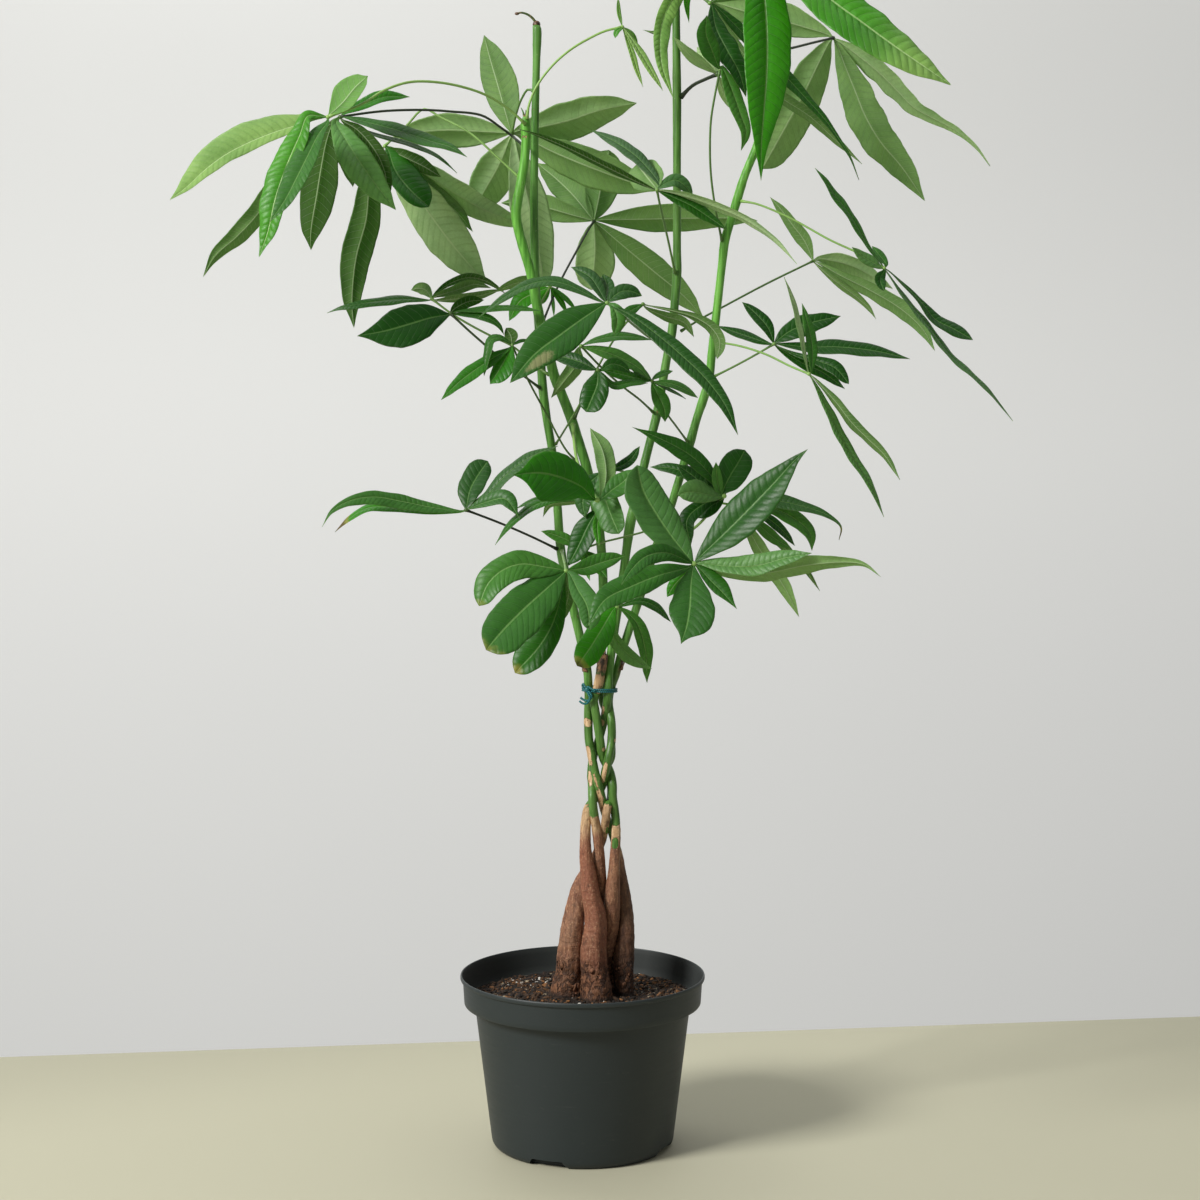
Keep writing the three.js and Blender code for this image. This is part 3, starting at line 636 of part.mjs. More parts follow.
    leaflets: [
      { spine: [[-119.6, -66.9, 661.3], [-150, -70.7, 665.4], [-179.1, -78.3, 671.8], [-202.8, -87.4, 676.2], [-224.4, -98, 673.8], [-242.7, -110.6, 663.7], [-251.2, -122.7, 648.9]], left: 7.9, right: 6.4, leftDepth: -6.8, rightDepth: 3.7, widest: 0.32 },
      { spine: [[-119.6, -66.9, 660.3], [-155.2, -68.7, 661.4], [-189.6, -70.5, 665.4], [-211.3, -71.6, 664.5], [-229, -72.6, 654.6], [-243.9, -73.7, 640.9]], left: 4, right: 4, leftDepth: -8.6, rightDepth: 7.3, widest: 0.6 },
      { spine: [[-113.9, -63.4, 667], [-111.3, -53.6, 681.4], [-103.8, -42.7, 695.9], [-94.3, -31.7, 709.4]], left: 13.9, right: 11.9, leftDepth: 4.7, rightDepth: -7.9, widest: 0.5 },
      { spine: [[-110.7, -66, 666.2], [-95, -63.6, 675.9], [-76.2, -60.2, 695.6], [-51.5, -56.4, 714.3], [-23.7, -52.7, 725.1]], left: 5.9, right: 5.9, leftDepth: 7, rightDepth: -8.9, widest: 0.5 },
      { spine: [[-109.6, -69.2, 664.3], [-90.4, -78.7, 671.8], [-75.3, -85.7, 674.1], [-60.3, -97.4, 655.1]], left: 8.9, right: 5.9, leftDepth: 4.7, rightDepth: -5.3, widest: 0.6 },
    ],
  },
  {
    name: "leaf_low_hidden",
    stalkRadius: 1.22,
    hub: [8, -51.7, 674.3],
    stalk: [[9.9, -17, 680.7], [9, -31.8, 677.4]],
    leaflets: [
      { spine: [[2.1, -52.2, 674.4], [-21.8, -54.4, 675.5], [-46.6, -56.7, 671.6], [-66.4, -58.7, 662.8]], left: 3, right: 3, leftDepth: -7.9, rightDepth: 6.9, widest: 0.5 },
      { spine: [[2.1, -53.4, 672.4], [-21.7, -59.9, 672.8], [-46.3, -66.9, 667.2], [-63, -72.6, 655.6], [-73.8, -76.8, 645], [-85.4, -82.4, 628.6]], left: 4, right: 4, leftDepth: -8.7, rightDepth: 7.4, widest: 0.5 },
      { spine: [[2, -47.6, 676.1], [-20.1, -33.3, 678.4], [-32.3, -24.9, 683.1], [-40.5, -16.7, 692.8]], left: 8, right: 7, leftDepth: 6.9, rightDepth: -3.9, widest: 0.5 },
      { spine: [[2, -49.1, 671.2], [-19, -41.1, 668.8], [-33.1, -35.7, 665.5], [-39.3, -30.7, 653.2]], left: 4, right: 4, leftDepth: 3.9, rightDepth: -2.6, widest: 0.5 },
    ],
  },
  {
    name: "leaf_low_centre",
    stalkRadius: 1.53,
    hub: [15.1, -121.6, 675],
    stalk: [[-9.2, -16, 746.1], [-8.1, -29.2, 730.4], [-4.9, -52.3, 711.2], [3.3, -85.3, 692.7]],
    leaflets: [
      { spine: [[12.2, -124, 676.1], [1.7, -135.9, 687.3], [-15.4, -151.3, 696.6], [-38.8, -170.9, 703.1], [-63.7, -191.6, 702.1]], left: 25.2, right: 22.3, leftDepth: -19.8, rightDepth: 10.5, widest: 0.4 },
      { spine: [[19, -118, 677.7], [23.8, -101.8, 698.3], [20, -83.6, 722.1], [8.1, -65.6, 743.2]], left: 8.7, right: 10.6, leftDepth: -2.2, rightDepth: 6, widest: 0.55 },
      { spine: [[19, -120.4, 675.9], [29.6, -116.4, 684.4], [41.3, -112.1, 692.9], [51.1, -107.6, 704.4]], left: 9.7, right: 9.7, leftDepth: 5, rightDepth: -8.1, widest: 0.55 },
    ],
  },
  {
    name: "leaf_low_glossy",
    stalkRadius: 1.33,
    hub: [20.9, -81.6, 700.4],
    stalk: [[58.7, 3, 686.9], [46.2, -24.3, 696.1], [30.9, -59.4, 702.5]],
    leaflets: [
      { spine: [[20, -82.9, 698.5], [20.9, -92.5, 683.3], [26.8, -105.1, 664.4], [36.4, -120.8, 642]], left: 9.8, right: 11.8, leftDepth: -5.6, rightDepth: 2.8, widest: 0.5 },
      { spine: [[18, -82.1, 698.5], [7.2, -84.5, 688.8], [1.3, -87.2, 673.2], [3.3, -90, 655.7]], left: 9.8, right: 9.8, leftDepth: -6.4, rightDepth: 3.2, widest: 0.5 },
      { spine: [[23.9, -79.2, 702.3], [35.8, -71.1, 705], [47.7, -62, 711.5], [57.8, -50.8, 725]], left: 4.9, right: 4.9, leftDepth: 3, rightDepth: -4.6, widest: 0.6 },
    ],
  },
  {
    name: "leaf_low_small",
    stalkRadius: 1.02,
    hub: [1.2, -76.6, 624.2],
    stalk: [[81.1, 1, 643.2], [61.4, -20.4, 637.4], [38, -40.2, 632.7], [18, -60.1, 629]],
    leaflets: [
      { spine: [[3.2, -75.2, 626.1], [10.1, -66.4, 642.4], [15, -55.6, 663.6]], left: 5.9, right: 5.9, leftDepth: 2, rightDepth: -3.9, widest: 0.5 },
      { spine: [[0.2, -76.8, 625.2], [-16.5, -79.7, 634.3], [-26.3, -81.3, 638.4], [-40.1, -83.6, 642.5]], left: 5.4, right: 5.4, leftDepth: -5, rightDepth: 3.2, widest: 0.5 },
      { spine: [[2.2, -77.4, 622.3], [12.1, -82.9, 611.8], [24.9, -90.6, 596.6]], left: 6.9, right: 5.9, leftDepth: 3.8, rightDepth: -5.3, widest: 0.5 },
      { spine: [[0.2, -78.7, 621.4], [3.2, -87.7, 609.2], [8.2, -98.9, 594.4]], left: 3, right: 3, leftDepth: 1.9, rightDepth: -2.8, widest: 0.5 },
    ],
  },
  {
    name: "leaf_low_veined",
    stalkRadius: 1.33,
    hub: [18, -86.5, 667.3],
    stalk: [[15, -14, 657.3], [16, -47, 663.1]],
    leaflets: [
      { spine: [[17, -86.8, 665.3], [7.2, -89.1, 649.7], [-2.6, -92, 629.3], [-13.4, -94.9, 608.8]], left: 11.8, right: 11.8, leftDepth: -8.3, rightDepth: 4.6, widest: 0.5 },
      { spine: [[18, -88.8, 663.5], [15.1, -97.2, 649.2], [17, -108.9, 629.5]], left: 4.4, right: 4.4, leftDepth: 1.4, rightDepth: -2.8, widest: 0.5 },
    ],
  },
  {
    name: "leaf_low_fan",
    stalkRadius: 1.33,
    hub: [-14.3, -171.9, 610.1],
    stalk: [[-20.7, -2, 616.9], [-18.9, -56.4, 615.8], [-16, -117.5, 612.5]],
    leaflets: [
      { spine: [[-17.1, -172.8, 611.1], [-34.1, -177.5, 614.3], [-55.7, -183.4, 617.6], [-73.5, -188.6, 612.4], [-87.5, -193.8, 599.6], [-95.8, -199.9, 579.3]], left: 12.4, right: 11.4, leftDepth: -10.1, rightDepth: 5.8, widest: 0.5 },
      { spine: [[-17.1, -174.9, 607.5], [-33.9, -191.3, 593.7], [-52.2, -209.7, 578.4], [-70.3, -229.1, 561.5], [-87.1, -248.9, 543.2]], left: 22.8, right: 20.9, leftDepth: -18, rightDepth: 9.9, widest: 0.5 },
      { spine: [[-16.2, -172.8, 606.3], [-20, -177.3, 582.9], [-27.5, -182, 559.5], [-40.7, -186.8, 538.1], [-62.4, -192.9, 515]], left: 11.4, right: 14.3, leftDepth: -7.9, rightDepth: 5.1, widest: 0.58 },
      { spine: [[-14.3, -170.2, 605.2], [-12.5, -163.5, 586.4], [-17.4, -156.9, 568.5], [-25.2, -150.9, 553.5]], left: 5.7, right: 5.7, leftDepth: 3.4, rightDepth: -1.6, widest: 0.5 },
      { spine: [[-11.4, -175.4, 608.5], [-2.7, -194, 593.9], [5.8, -211.6, 580.4], [8.7, -234.9, 560.3]], left: 12.4, right: 8.6, leftDepth: 4, rightDepth: -5.7, widest: 0.5 },
      { spine: [[-10.5, -169.6, 610.8], [3.7, -160.9, 612.1], [20.9, -150, 617], [42.1, -136.9, 621.8]], left: 9.5, right: 7.6, leftDepth: 5, rightDepth: -6.6, widest: 0.5 },
    ],
  },
  {
    name: "leaf_front_large",
    stalkRadius: 1.53,
    hub: [106.4, -195.6, 618.6],
    stalk: [[76.1, 2, 627.8], [83.8, -52.6, 625.5], [92, -111.1, 622.8], [100.8, -167, 620.2]],
    leaflets: [
      { spine: [[101.7, -194.7, 624.2], [85.8, -191.4, 643.7], [69.8, -187.7, 667.1], [58.5, -184.7, 687.7], [52.9, -181.6, 711.1]], left: 18.8, right: 17.9, leftDepth: -13.2, rightDepth: 6.8, widest: 0.48 },
      { spine: [[109.2, -195.8, 622.4], [135.3, -197.5, 647.9], [158.6, -199, 671.5], [181.7, -200.6, 695.9], [200.2, -201.9, 716.5], [212.2, -202.6, 726.8]], left: 17.9, right: 17.9, leftDepth: 8.5, rightDepth: -14.3, widest: 0.48 },
      { spine: [[110.1, -196.7, 619.6], [135.2, -203.6, 617.3], [162.8, -211.4, 617.9], [190.2, -219.3, 626], [214.7, -226.4, 631.2]], left: 8.5, right: 6.6, leftDepth: 4.5, rightDepth: -5.8, widest: 0.5 },
      { spine: [[110.1, -196.4, 616.8], [144.6, -203.2, 610.7], [177, -209.6, 612.2], [209.1, -216, 619.2], [245.7, -223.3, 622.6], [263.9, -227, 620.1], [278.4, -230.6, 609.2]], left: 9.4, right: 9.4, leftDepth: -4.9, rightDepth: 7.9, widest: 0.5 },
      { spine: [[102.6, -197.5, 615.9], [74.1, -209.4, 609.3], [45.9, -221.9, 599.1], [22.6, -232.7, 588], [6.9, -244.6, 565]], left: 11.3, right: 13.2, leftDepth: -9.3, rightDepth: 6.5, widest: 0.52 },
      { spine: [[105.3, -199.5, 614.2], [103, -212, 600.2], [101.6, -227.5, 582.8], [98.3, -243.2, 565.8], [92.3, -258.6, 549.8]], left: 23.5, right: 18.8, leftDepth: -12.6, rightDepth: 4.2, widest: 0.56 },
      { spine: [[110.1, -197.8, 615.9], [121.1, -205.8, 604.3], [132, -213.4, 593.7], [145.5, -223.6, 578.7]], left: 10.3, right: 5.6, leftDepth: 5.3, rightDepth: -5.1, widest: 0.55 },
      { spine: [[101.6, -199.2, 620.7], [80.5, -214.9, 630.4], [61.6, -228.4, 628.6], [48.4, -240.6, 618.4], [37.3, -254.4, 603.8]], left: 8.5, right: 8.5, leftDepth: -7.2, rightDepth: 4.5, widest: 0.5 },
      { spine: [[102.7, -194.4, 612.8], [94.3, -192.5, 605.1], [86.9, -190.5, 596.4], [81.3, -188.6, 586.8]], left: 7.5, right: 6.6, leftDepth: -6.4, rightDepth: 3.6, widest: 0.5 },
    ],
  },
  {
    name: "leaf_low_right_upper",
    stalkRadius: 1.43,
    hub: [141.7, -47.5, 675.1],
    stalk: [[80.1, 2, 630.9], [94.9, -14.5, 634], [111.6, -27.7, 640.9], [130.1, -40.9, 660.8]],
    leaflets: [
      { spine: [[140.7, -47.8, 677.1], [125.4, -51.6, 699.2], [107.4, -55.1, 716.2], [80.4, -59.5, 731.2], [49.6, -64.3, 744.2]], left: 9, right: 9, leftDepth: -7.6, rightDepth: 4.8, widest: 0.5 },
      { spine: [[140.8, -45.3, 679], [148.2, -35.8, 694.6], [156.6, -27.5, 707.3], [164, -19.5, 720.1]], left: 15, right: 15, leftDepth: 5.1, rightDepth: -9.8, widest: 0.55 },
      { spine: [[137.6, -49.3, 679.2], [134.3, -53.7, 693.4], [133, -58.7, 709.4]], left: 5.5, right: 5.5, leftDepth: -3.4, rightDepth: 1.6, widest: 0.5 },
      { spine: [[136.8, -45.9, 678.1], [127.9, -40.6, 694.8], [124.1, -36.3, 709.6]], left: 6, right: 6, leftDepth: -4.5, rightDepth: 2.6, widest: 0.5 },
      { spine: [[138.6, -49.5, 674.2], [122.2, -60, 677.7], [107, -69.7, 680.2], [93.8, -78.3, 677.7]], left: 10, right: 12, leftDepth: -8.4, rightDepth: 6.1, widest: 0.6 },
      { spine: [[138.7, -47.3, 676.1], [120.7, -46.3, 687.1], [106.8, -45.4, 698], [94.8, -44.7, 705.9]], left: 8, right: 8, leftDepth: -6.9, rightDepth: 4.3, widest: 0.6 },
      { spine: [[137.8, -45.8, 677], [118.1, -36.6, 690.6], [93.4, -26.2, 701.2], [68.4, -16.7, 702.9]], left: 6, right: 6, leftDepth: -5.4, rightDepth: 3.5, widest: 0.6 },
      { spine: [[138.6, -48.6, 673.2], [119.5, -55.1, 666.6], [104.3, -61.8, 652], [108.1, -69.9, 627.7]], left: 8, right: 8, leftDepth: -6.4, rightDepth: 3.8, widest: 0.6 },
      { spine: [[139.7, -46.7, 672.1], [126, -43, 663.9], [112.1, -39.1, 653.7]], left: 9, right: 9, leftDepth: -7.6, rightDepth: 4.8, widest: 0.5 },
    ],
  },
  {
    name: "leaf_low_right_back",
    stalkRadius: 1.22,
    hub: [161.3, -18.4, 663.6],
    stalk: [[96.5, 8, 674.4], [119.6, -1.9, 668.8], [139.4, -11.8, 666.3]],
    leaflets: [
      { spine: [[164.3, -19.1, 664.6], [194.1, -26.3, 669], [223.7, -33.5, 663.4], [245.3, -39, 655.7], [259, -43.3, 643.9], [256.9, -46.4, 631.1]], left: 7.1, right: 7.1, leftDepth: 4.6, rightDepth: -6.8, widest: 0.5 },
      { spine: [[164.4, -18.1, 661.5], [191.8, -16.1, 661.4], [215.3, -14.3, 650.2], [230.7, -12.7, 635.9], [232.9, -11.4, 617.5]], left: 8.1, right: 8.1, leftDepth: 4.4, rightDepth: -7, widest: 0.6 },
      { spine: [[163.5, -16.2, 660.4], [182.5, -4.5, 653.7], [201.8, 9.2, 639.6], [218.4, 23.6, 620.2]], left: 5, right: 5, leftDepth: 3.1, rightDepth: -4.7, widest: 0.6 },
      { spine: [[162.4, -17.1, 659.5], [178.1, -10.7, 644.9], [194.8, -4, 630.3], [213.7, 2.6, 618.6]], left: 6.1, right: 6.1, leftDepth: 3.5, rightDepth: -5.4, widest: 0.6 },
      { spine: [[161.4, -18.1, 658.5], [171.7, -16.7, 634.1], [188.2, -14.9, 606.6], [205.7, -13.2, 580], [220.3, -11.4, 550.3]], left: 8.1, right: 8.1, leftDepth: -3.3, rightDepth: 5.9, widest: 0.52 },
      { spine: [[163.5, -16, 659.4], [191.3, 3.6, 632.8], [223.8, 25.5, 603.5], [246.3, 44.6, 571.9]], left: 4, right: 4, leftDepth: -6.3, rightDepth: 7.6, widest: 0.5 },
    ],
  },
  {
    name: "leaf_low_front",
    stalkRadius: 1.22,
    hub: [34.7, -100.3, 568.9],
    stalk: [[40.4, -3, 578.1], [38.1, -37.7, 576.1], [35.8, -73.9, 572.4]],
    leaflets: [
      { spine: [[37.6, -99.8, 567.9], [53.4, -96.4, 553.8], [62.3, -92, 527.6], [64.5, -86.3, 492.1]], left: 7.8, right: 6.9, leftDepth: 2.7, rightDepth: -4.6, widest: 0.5 },
      { spine: [[33.7, -101.6, 564.1], [29.7, -106.5, 544.9], [39.5, -111.1, 529.7], [53.1, -115.5, 518.4], [68.7, -119.9, 510.1]], left: 5.9, right: 7.8, leftDepth: 2.7, rightDepth: -5.9, widest: 0.6 },
      { spine: [[38.6, -98, 569.7], [57.4, -86.9, 573.6], [73.4, -77.3, 566.8], [88.6, -65.3, 550.6]], left: 3.9, right: 3.9, leftDepth: 5, rightDepth: -6.3, widest: 0.6 },
      { spine: [[31.7, -102.5, 567.2], [20.9, -114.8, 550.7], [8.3, -129.3, 531.7], [-4.2, -142.3, 515.7]], left: 12.7, right: 11.8, leftDepth: -9.7, rightDepth: 5.3, widest: 0.6 },
    ],
  },
];

const wasm = await Module();
wasm.setup();

function solidFrom(vertices, triangles) {
  const mesh = new wasm.Mesh({
    numProp: 3,
    vertProperties: new Float32Array(vertices.flat()),
    triVerts: new Uint32Array(triangles.flat()),
  });
  const made = new wasm.Manifold(mesh);
  if (made.volume() >= 0) return made;
  return new wasm.Manifold(
    new wasm.Mesh({
      numProp: 3,
      vertProperties: new Float32Array(vertices.flat()),
      triVerts: new Uint32Array(triangles.map(([a, b, c]) => [a, c, b]).flat()),
    }),
  );
}

function solidFromGeometry(geometry) {
  const g = geometry.clone();
  g.deleteAttribute("normal");
  g.deleteAttribute("uv");
  const merged = mergeVertices(g, 1e-3);
  const p = merged.getAttribute("position").array;
  const vertices = [];
  for (let i = 0; i < p.length; i += 3)
    vertices.push([p[i], p[i + 1], p[i + 2]]);
  const triangles = [];
  const index = merged.index.array;
  for (let i = 0; i < index.length; i += 3) {
    const t = [index[i], index[i + 1], index[i + 2]];
    if (t[0] !== t[1] && t[1] !== t[2] && t[0] !== t[2]) triangles.push(t);
  }
  return solidFrom(vertices, triangles);
}

function geometryFrom(solid) {
  const m = solid.getMesh();
  const g = new THREE.BufferGeometry();
  const positions = new Float32Array(m.numVert * 3);
  for (let i = 0; i < m.numVert; i++)
    for (let k = 0; k < 3; k++)
      positions[3 * i + k] = m.vertProperties[m.numProp * i + k];
  g.setAttribute("position", new THREE.BufferAttribute(positions, 3));
  g.setIndex(new THREE.BufferAttribute(new Uint32Array(m.triVerts), 1));
  g.computeVertexNormals();
  return g;
}

// A round bar along points, with its own radius at each.
function bar(points, radii, sides) {
  const n = points.length;
  const vertices = [];
  const triangles = [];
  let normal = null;
  for (let i = 0; i < n; i++) {
    const t = points[Math.min(i + 1, n - 1)]
      .clone()
      .sub(points[Math.max(i - 1, 0)])
      .normalize();
    if (!normal)
      normal = new THREE.Vector3(
        Math.abs(t.x) > 0.9 ? 0 : 1,
        Math.abs(t.x) > 0.9 ? 1 : 0,
        0,
      );
    normal = normal.clone().addScaledVector(t, -normal.dot(t)).normalize();
    const side = new THREE.Vector3().crossVectors(t, normal);
    for (let k = 0; k < sides; k++) {
      const a = (2 * Math.PI * k) / sides;
      const v = points[i]
        .clone()
        .addScaledVector(normal, radii[i] * Math.cos(a))
        .addScaledVector(side, radii[i] * Math.sin(a));
      vertices.push([v.x, v.y, v.z]);
    }
  }
  for (let i = 0; i + 1 < n; i++)
    for (let k = 0; k < sides; k++) {
      const a = i * sides + k;
      const b = i * sides + ((k + 1) % sides);
      triangles.push([a, b, a + sides], [b, b + sides, a + sides]);
    }
  for (let k = 1; k + 1 < sides; k++) {
    triangles.push([0, k + 1, k]);
    const e = (n - 1) * sides;
    triangles.push([e, e + k, e + k + 1]);
  }
  return solidFrom(vertices, triangles);
}

const vec = (p) => new THREE.Vector3(p[0], p[1], p[2]);

function widthAt(t, widest) {
  const s = t < widest ? t / widest : (1 - t) / (1 - widest);
  return Math.sin((Math.PI / 2) * s) ** (t < widest ? 1.05 : 0.9);
}

// One leaflet: a thin blade folded along its midrib, pointed at both ends. extra swells it all round.
function blade(hub, leaflet, extra) {
  const curve = new THREE.CatmullRomCurve3(
    [vec(hub), ...leaflet.spine.map(vec)],
    false,
    "centripetal",
  );
  const long = curve.getLength() > 95;
  const stations = long
    ? [leaflet.widest * 0.45, leaflet.widest, 0.5 + leaflet.widest * 0.55]
    : [leaflet.widest * 0.6, 0.45 + leaflet.widest * 0.5];
  const end = curve.getPointAt(1).addScaledVector(curve.getTangentAt(1), extra);
  const start = curve.getPointAt(0);
  const vertices = [[start.x, start.y, start.z]];
  for (const t of stations) {
    const p = curve.getPointAt(t);
    const along = curve.getTangentAt(t);
    const flat = Math.hypot(along.x, along.z) || 1;
    const side = new THREE.Vector3(-along.z / flat, 0, along.x / flat);
    const w = widthAt(t, leaflet.widest);
    const left = side
      .clone()
      .multiplyScalar(leaflet.left)
      .add(new THREE.Vector3(0, leaflet.leftDepth, 0));
    const right = side
      .clone()
      .multiplyScalar(-leaflet.right)
      .add(new THREE.Vector3(0, leaflet.rightDepth, 0));
    const normal = new THREE.Vector3()
      .crossVectors(along, left.clone().sub(right))
      .normalize()
      .multiplyScalar(BLADE_HALF_THICKNESS + extra);
    const a = p.clone().addScaledVector(left, w + extra / left.length());
    const b = p.clone().add(normal);
    const c = p.clone().addScaledVector(right, w + extra / right.length());
    const d = p.clone().sub(normal);
    for (const v of [a, b, c, d]) vertices.push([v.x, v.y, v.z]);
  }
  vertices.push([end.x, end.y, end.z]);
  const last = vertices.length - 1;
  const triangles = [];
  for (let k = 0; k < 4; k++) triangles.push([0, 1 + ((k + 1) % 4), 1 + k]);
  for (let i = 0; i + 1 < stations.length; i++)
    for (let k = 0; k < 4; k++) {
      const a = 1 + i * 4 + k;
      const b = 1 + i * 4 + ((k + 1) % 4);
      // the two faces of a blade are split along matching diagonals, so they never cross
      if (k < 2) triangles.push([a, b, a + 4], [b, b + 4, a + 4]);
      else triangles.push([a, b, b + 4], [a, b + 4, a + 4]);
    }
  const e = 1 + (stations.length - 1) * 4;
  for (let k = 0; k < 4; k++) triangles.push([last, e + k, e + ((k + 1) % 4)]);
  return solidFrom(vertices, triangles);
}

function leafSolid(leaf, extra) {
  const hub = vec(leaf.hub);
  const centres = [...leaf.stalk.map(vec), hub];
  const radius = leaf.stalkRadius * 1.2 + extra;
  let made = bar(
    centres,
    centres.map((_, i) => (i === 0 ? radius * 1.5 : radius)),
    STALK_SIDES,
  );
  const knob = new THREE.OctahedronGeometry(leaf.stalkRadius * 2 + extra, 0);
  knob.translate(hub.x, hub.y, hub.z);
  made = made.add(solidFromGeometry(knob));
  for (const leaflet of leaf.leaflets)
    made = made.add(blade(leaf.hub, leaflet, extra));
  return extra ? made : made.simplify(SLIVER);
}

const largest = (solid) =>
  solid.decompose().sort((a, b) => b.volume() - a.volume())[0];

// Pot: one closed profile round the axis, then drain slots in its lower corner.
const innerRadius = (z) =>
  z > BAND_BOTTOM
    ? BAND_RADIUS -
      WALL +
      ((RIM_RADIUS - BAND_RADIUS) * (z - BAND_BOTTOM)) /
        (POT_HEIGHT - BAND_BOTTOM)
    : FOOT_RADIUS +
      4.5 -
      WALL +
      ((BODY_TOP_RADIUS - FOOT_RADIUS - 4.5) * (z - 6)) / (BAND_BOTTOM - 6);
const potProfile = [
  [0, 0],
  [FOOT_RADIUS, 0],
  [FOOT_RADIUS + 3, 2],
  [FOOT_RADIUS + 4.5, 6],
  [BODY_TOP_RADIUS, BAND_BOTTOM],
  [BAND_RADIUS - 1, BAND_BOTTOM],
  [BAND_RADIUS, BAND_BOTTOM + 1],
  [RIM_RADIUS - 0.6, POT_HEIGHT - 3.6],
  [RIM_RADIUS, POT_HEIGHT - 1.6],
  [RIM_RADIUS - 1.4, POT_HEIGHT],
  [RIM_RADIUS - 3, POT_HEIGHT - 1.2],
  [innerRadius(BAND_BOTTOM + 4), BAND_BOTTOM + 4],
  [innerRadius(BAND_BOTTOM) + 0.4, BAND_BOTTOM + WALL],
  [innerRadius(8), 8],
  [FOOT_RADIUS - 3, FLOOR],
  [0, FLOOR],
].map(([r, z]) => new THREE.Vector2(r, z));
const potGeometry = new THREE.LatheGeometry(potProfile, POT_SEGMENTS);
potGeometry.rotateX(Math.PI / 2);
let pot = solidFromGeometry(potGeometry);
for (const angle of NOTCH_ANGLES) {
  const slot = new THREE.BoxGeometry(26, NOTCH_WIDTH, NOTCH_HEIGHT * 2);
  slot.translate(FOOT_RADIUS - 7 + 13, 0, 0);
  slot.rotateZ((angle * Math.PI) / 180);
  pot = pot.subtract(solidFromGeometry(slot));
}

// Stems, kept clear of each other where the braid crosses.
const stems = new Map();
const stemBlockers = [];
for (const { name, path } of TRUNKS) {
  const points = path.map(vec);
  let solid = bar(
    points,
    path.map((p) => p[3]),
    STEM_SIDES,
  );
  for (const other of stemBlockers) {
    const cut = solid.subtract(other);
    if (cut.volume() < solid.volume() - 0.001) solid = largest(cut);
  }
  stems.set(name, solid);
  stemBlockers.push(
    bar(
      points,
      path.map((p) => p[3] + GAP + 0.05),
      STEM_SIDES,
    ),
  );
}

// Potting mix fills the pot to below its rim, and the trunks stand in it.
const soilProfile = [
  [0, FLOOR + 0.5],
  [FOOT_RADIUS - 9, FLOOR + 0.5],
  [innerRadius(10) - 0.6, 10],
  [innerRadius(BAND_BOTTOM) - 0.7, SOIL_TOP - 1.6],
  [88, SOIL_TOP],
  [45, SOIL_TOP + 1.4],
  [0, SOIL_TOP + 2],
].map(([r, z]) => new THREE.Vector2(r, z));
const soilGeometry = new THREE.LatheGeometry(soilProfile, POT_SEGMENTS);
soilGeometry.rotateX(Math.PI / 2);
let soil = solidFromGeometry(soilGeometry);
for (const blocker of stemBlockers) soil = soil.subtract(blocker);
soil = largest(soil).simplify(SLIVER);

// Wire tie round the top of the braid.
const TIE_CENTRE = [17.6, 3.4, 474.5];
const TIE_HALF_WIDTH = 18;
const TIE_HALF_DEPTH = 15.4;
const ringPoints = [];
for (let k = 0; k < 16; k++) {
  const a = (2 * Math.PI * k) / 16;
  ringPoints.push(
    new THREE.Vector3(
      TIE_CENTRE[0] + TIE_HALF_WIDTH * Math.cos(a),
      TIE_CENTRE[1] + TIE_HALF_DEPTH * Math.sin(a),
      TIE_CENTRE[2],
    ),
  );
}
const tieVertices = [];
const tieTriangles = [];
ringPoints.forEach((p, i) => {
  const out = new THREE.Vector3(
    p.x - TIE_CENTRE[0],
    p.y - TIE_CENTRE[1],
    0,
  ).normalize();
  for (let k = 0; k < 4; k++) {
    const a = (2 * Math.PI * k) / 4;
    tieVertices.push([
      p.x + out.x * TIE_WIRE_RADIUS * Math.cos(a),
      p.y + out.y * TIE_WIRE_RADIUS * Math.cos(a),
      p.z + TIE_WIRE_RADIUS * Math.sin(a) * 1.6,
    ]);
    const b = ((i + 1) % ringPoints.length) * 4;
    const c = i * 4;
    tieTriangles.push(
      [c + k, c + ((k + 1) % 4), b + k],
      [c + ((k + 1) % 4), b + ((k + 1) % 4), b + k],
    );
  }
});
let tie = solidFrom(tieVertices, tieTriangles);
for (const blocker of stemBlockers) tie = tie.subtract(blocker);
tie = largest(tie);
const tieBlocker = tie;

// Leaves, each kept clear of the stems and of the leaves before it.
const overlapBox = (a, b) => {
  const p = a.boundingBox();
  const q = b.boundingBox();
  return [0, 1, 2].every((k) => p.min[k] < q.max[k] && q.min[k] < p.max[k]);
};
const leaves = new Map();
const leafBlockers = [];
for (const leaf of LEAVES) {
  let solid = leafSolid(leaf, 0);
  for (const other of [...stemBlockers, ...leafBlockers]) {
    if (!overlapBox(solid, other)) continue;
    const cut = solid.subtract(other);
    if (cut.volume() < solid.volume() - 1e-4)
      solid = largest(cut).simplify(SLIVER);
  }
  leaves.set(leaf.name, solid);
  leafBlockers.push(leafSolid(leaf, GAP));
}

const plant = new THREE.Group();
function addPiece(name, solid, color, roughness) {
  const mesh = new THREE.Mesh(
    geometryFrom(solid),
    new THREE.MeshStandardMaterial({ color, roughness, metalness: 0 }),
  );
  mesh.name = name;
  plant.add(mesh);
}
addPiece("pot", pot, 0x2e3331, 0.55);
addPiece("soil", soil, 0x3a2c20, 0.95);
for (const [name, solid] of stems) addPiece(name, solid, 0x7a5238, 0.8);
addPiece("stem_tie", tie, 0x1f6f6b, 0.6);
for (const [name, solid] of leaves) addPiece(name, solid, 0x3c7a3a, 0.5);

export default plant;
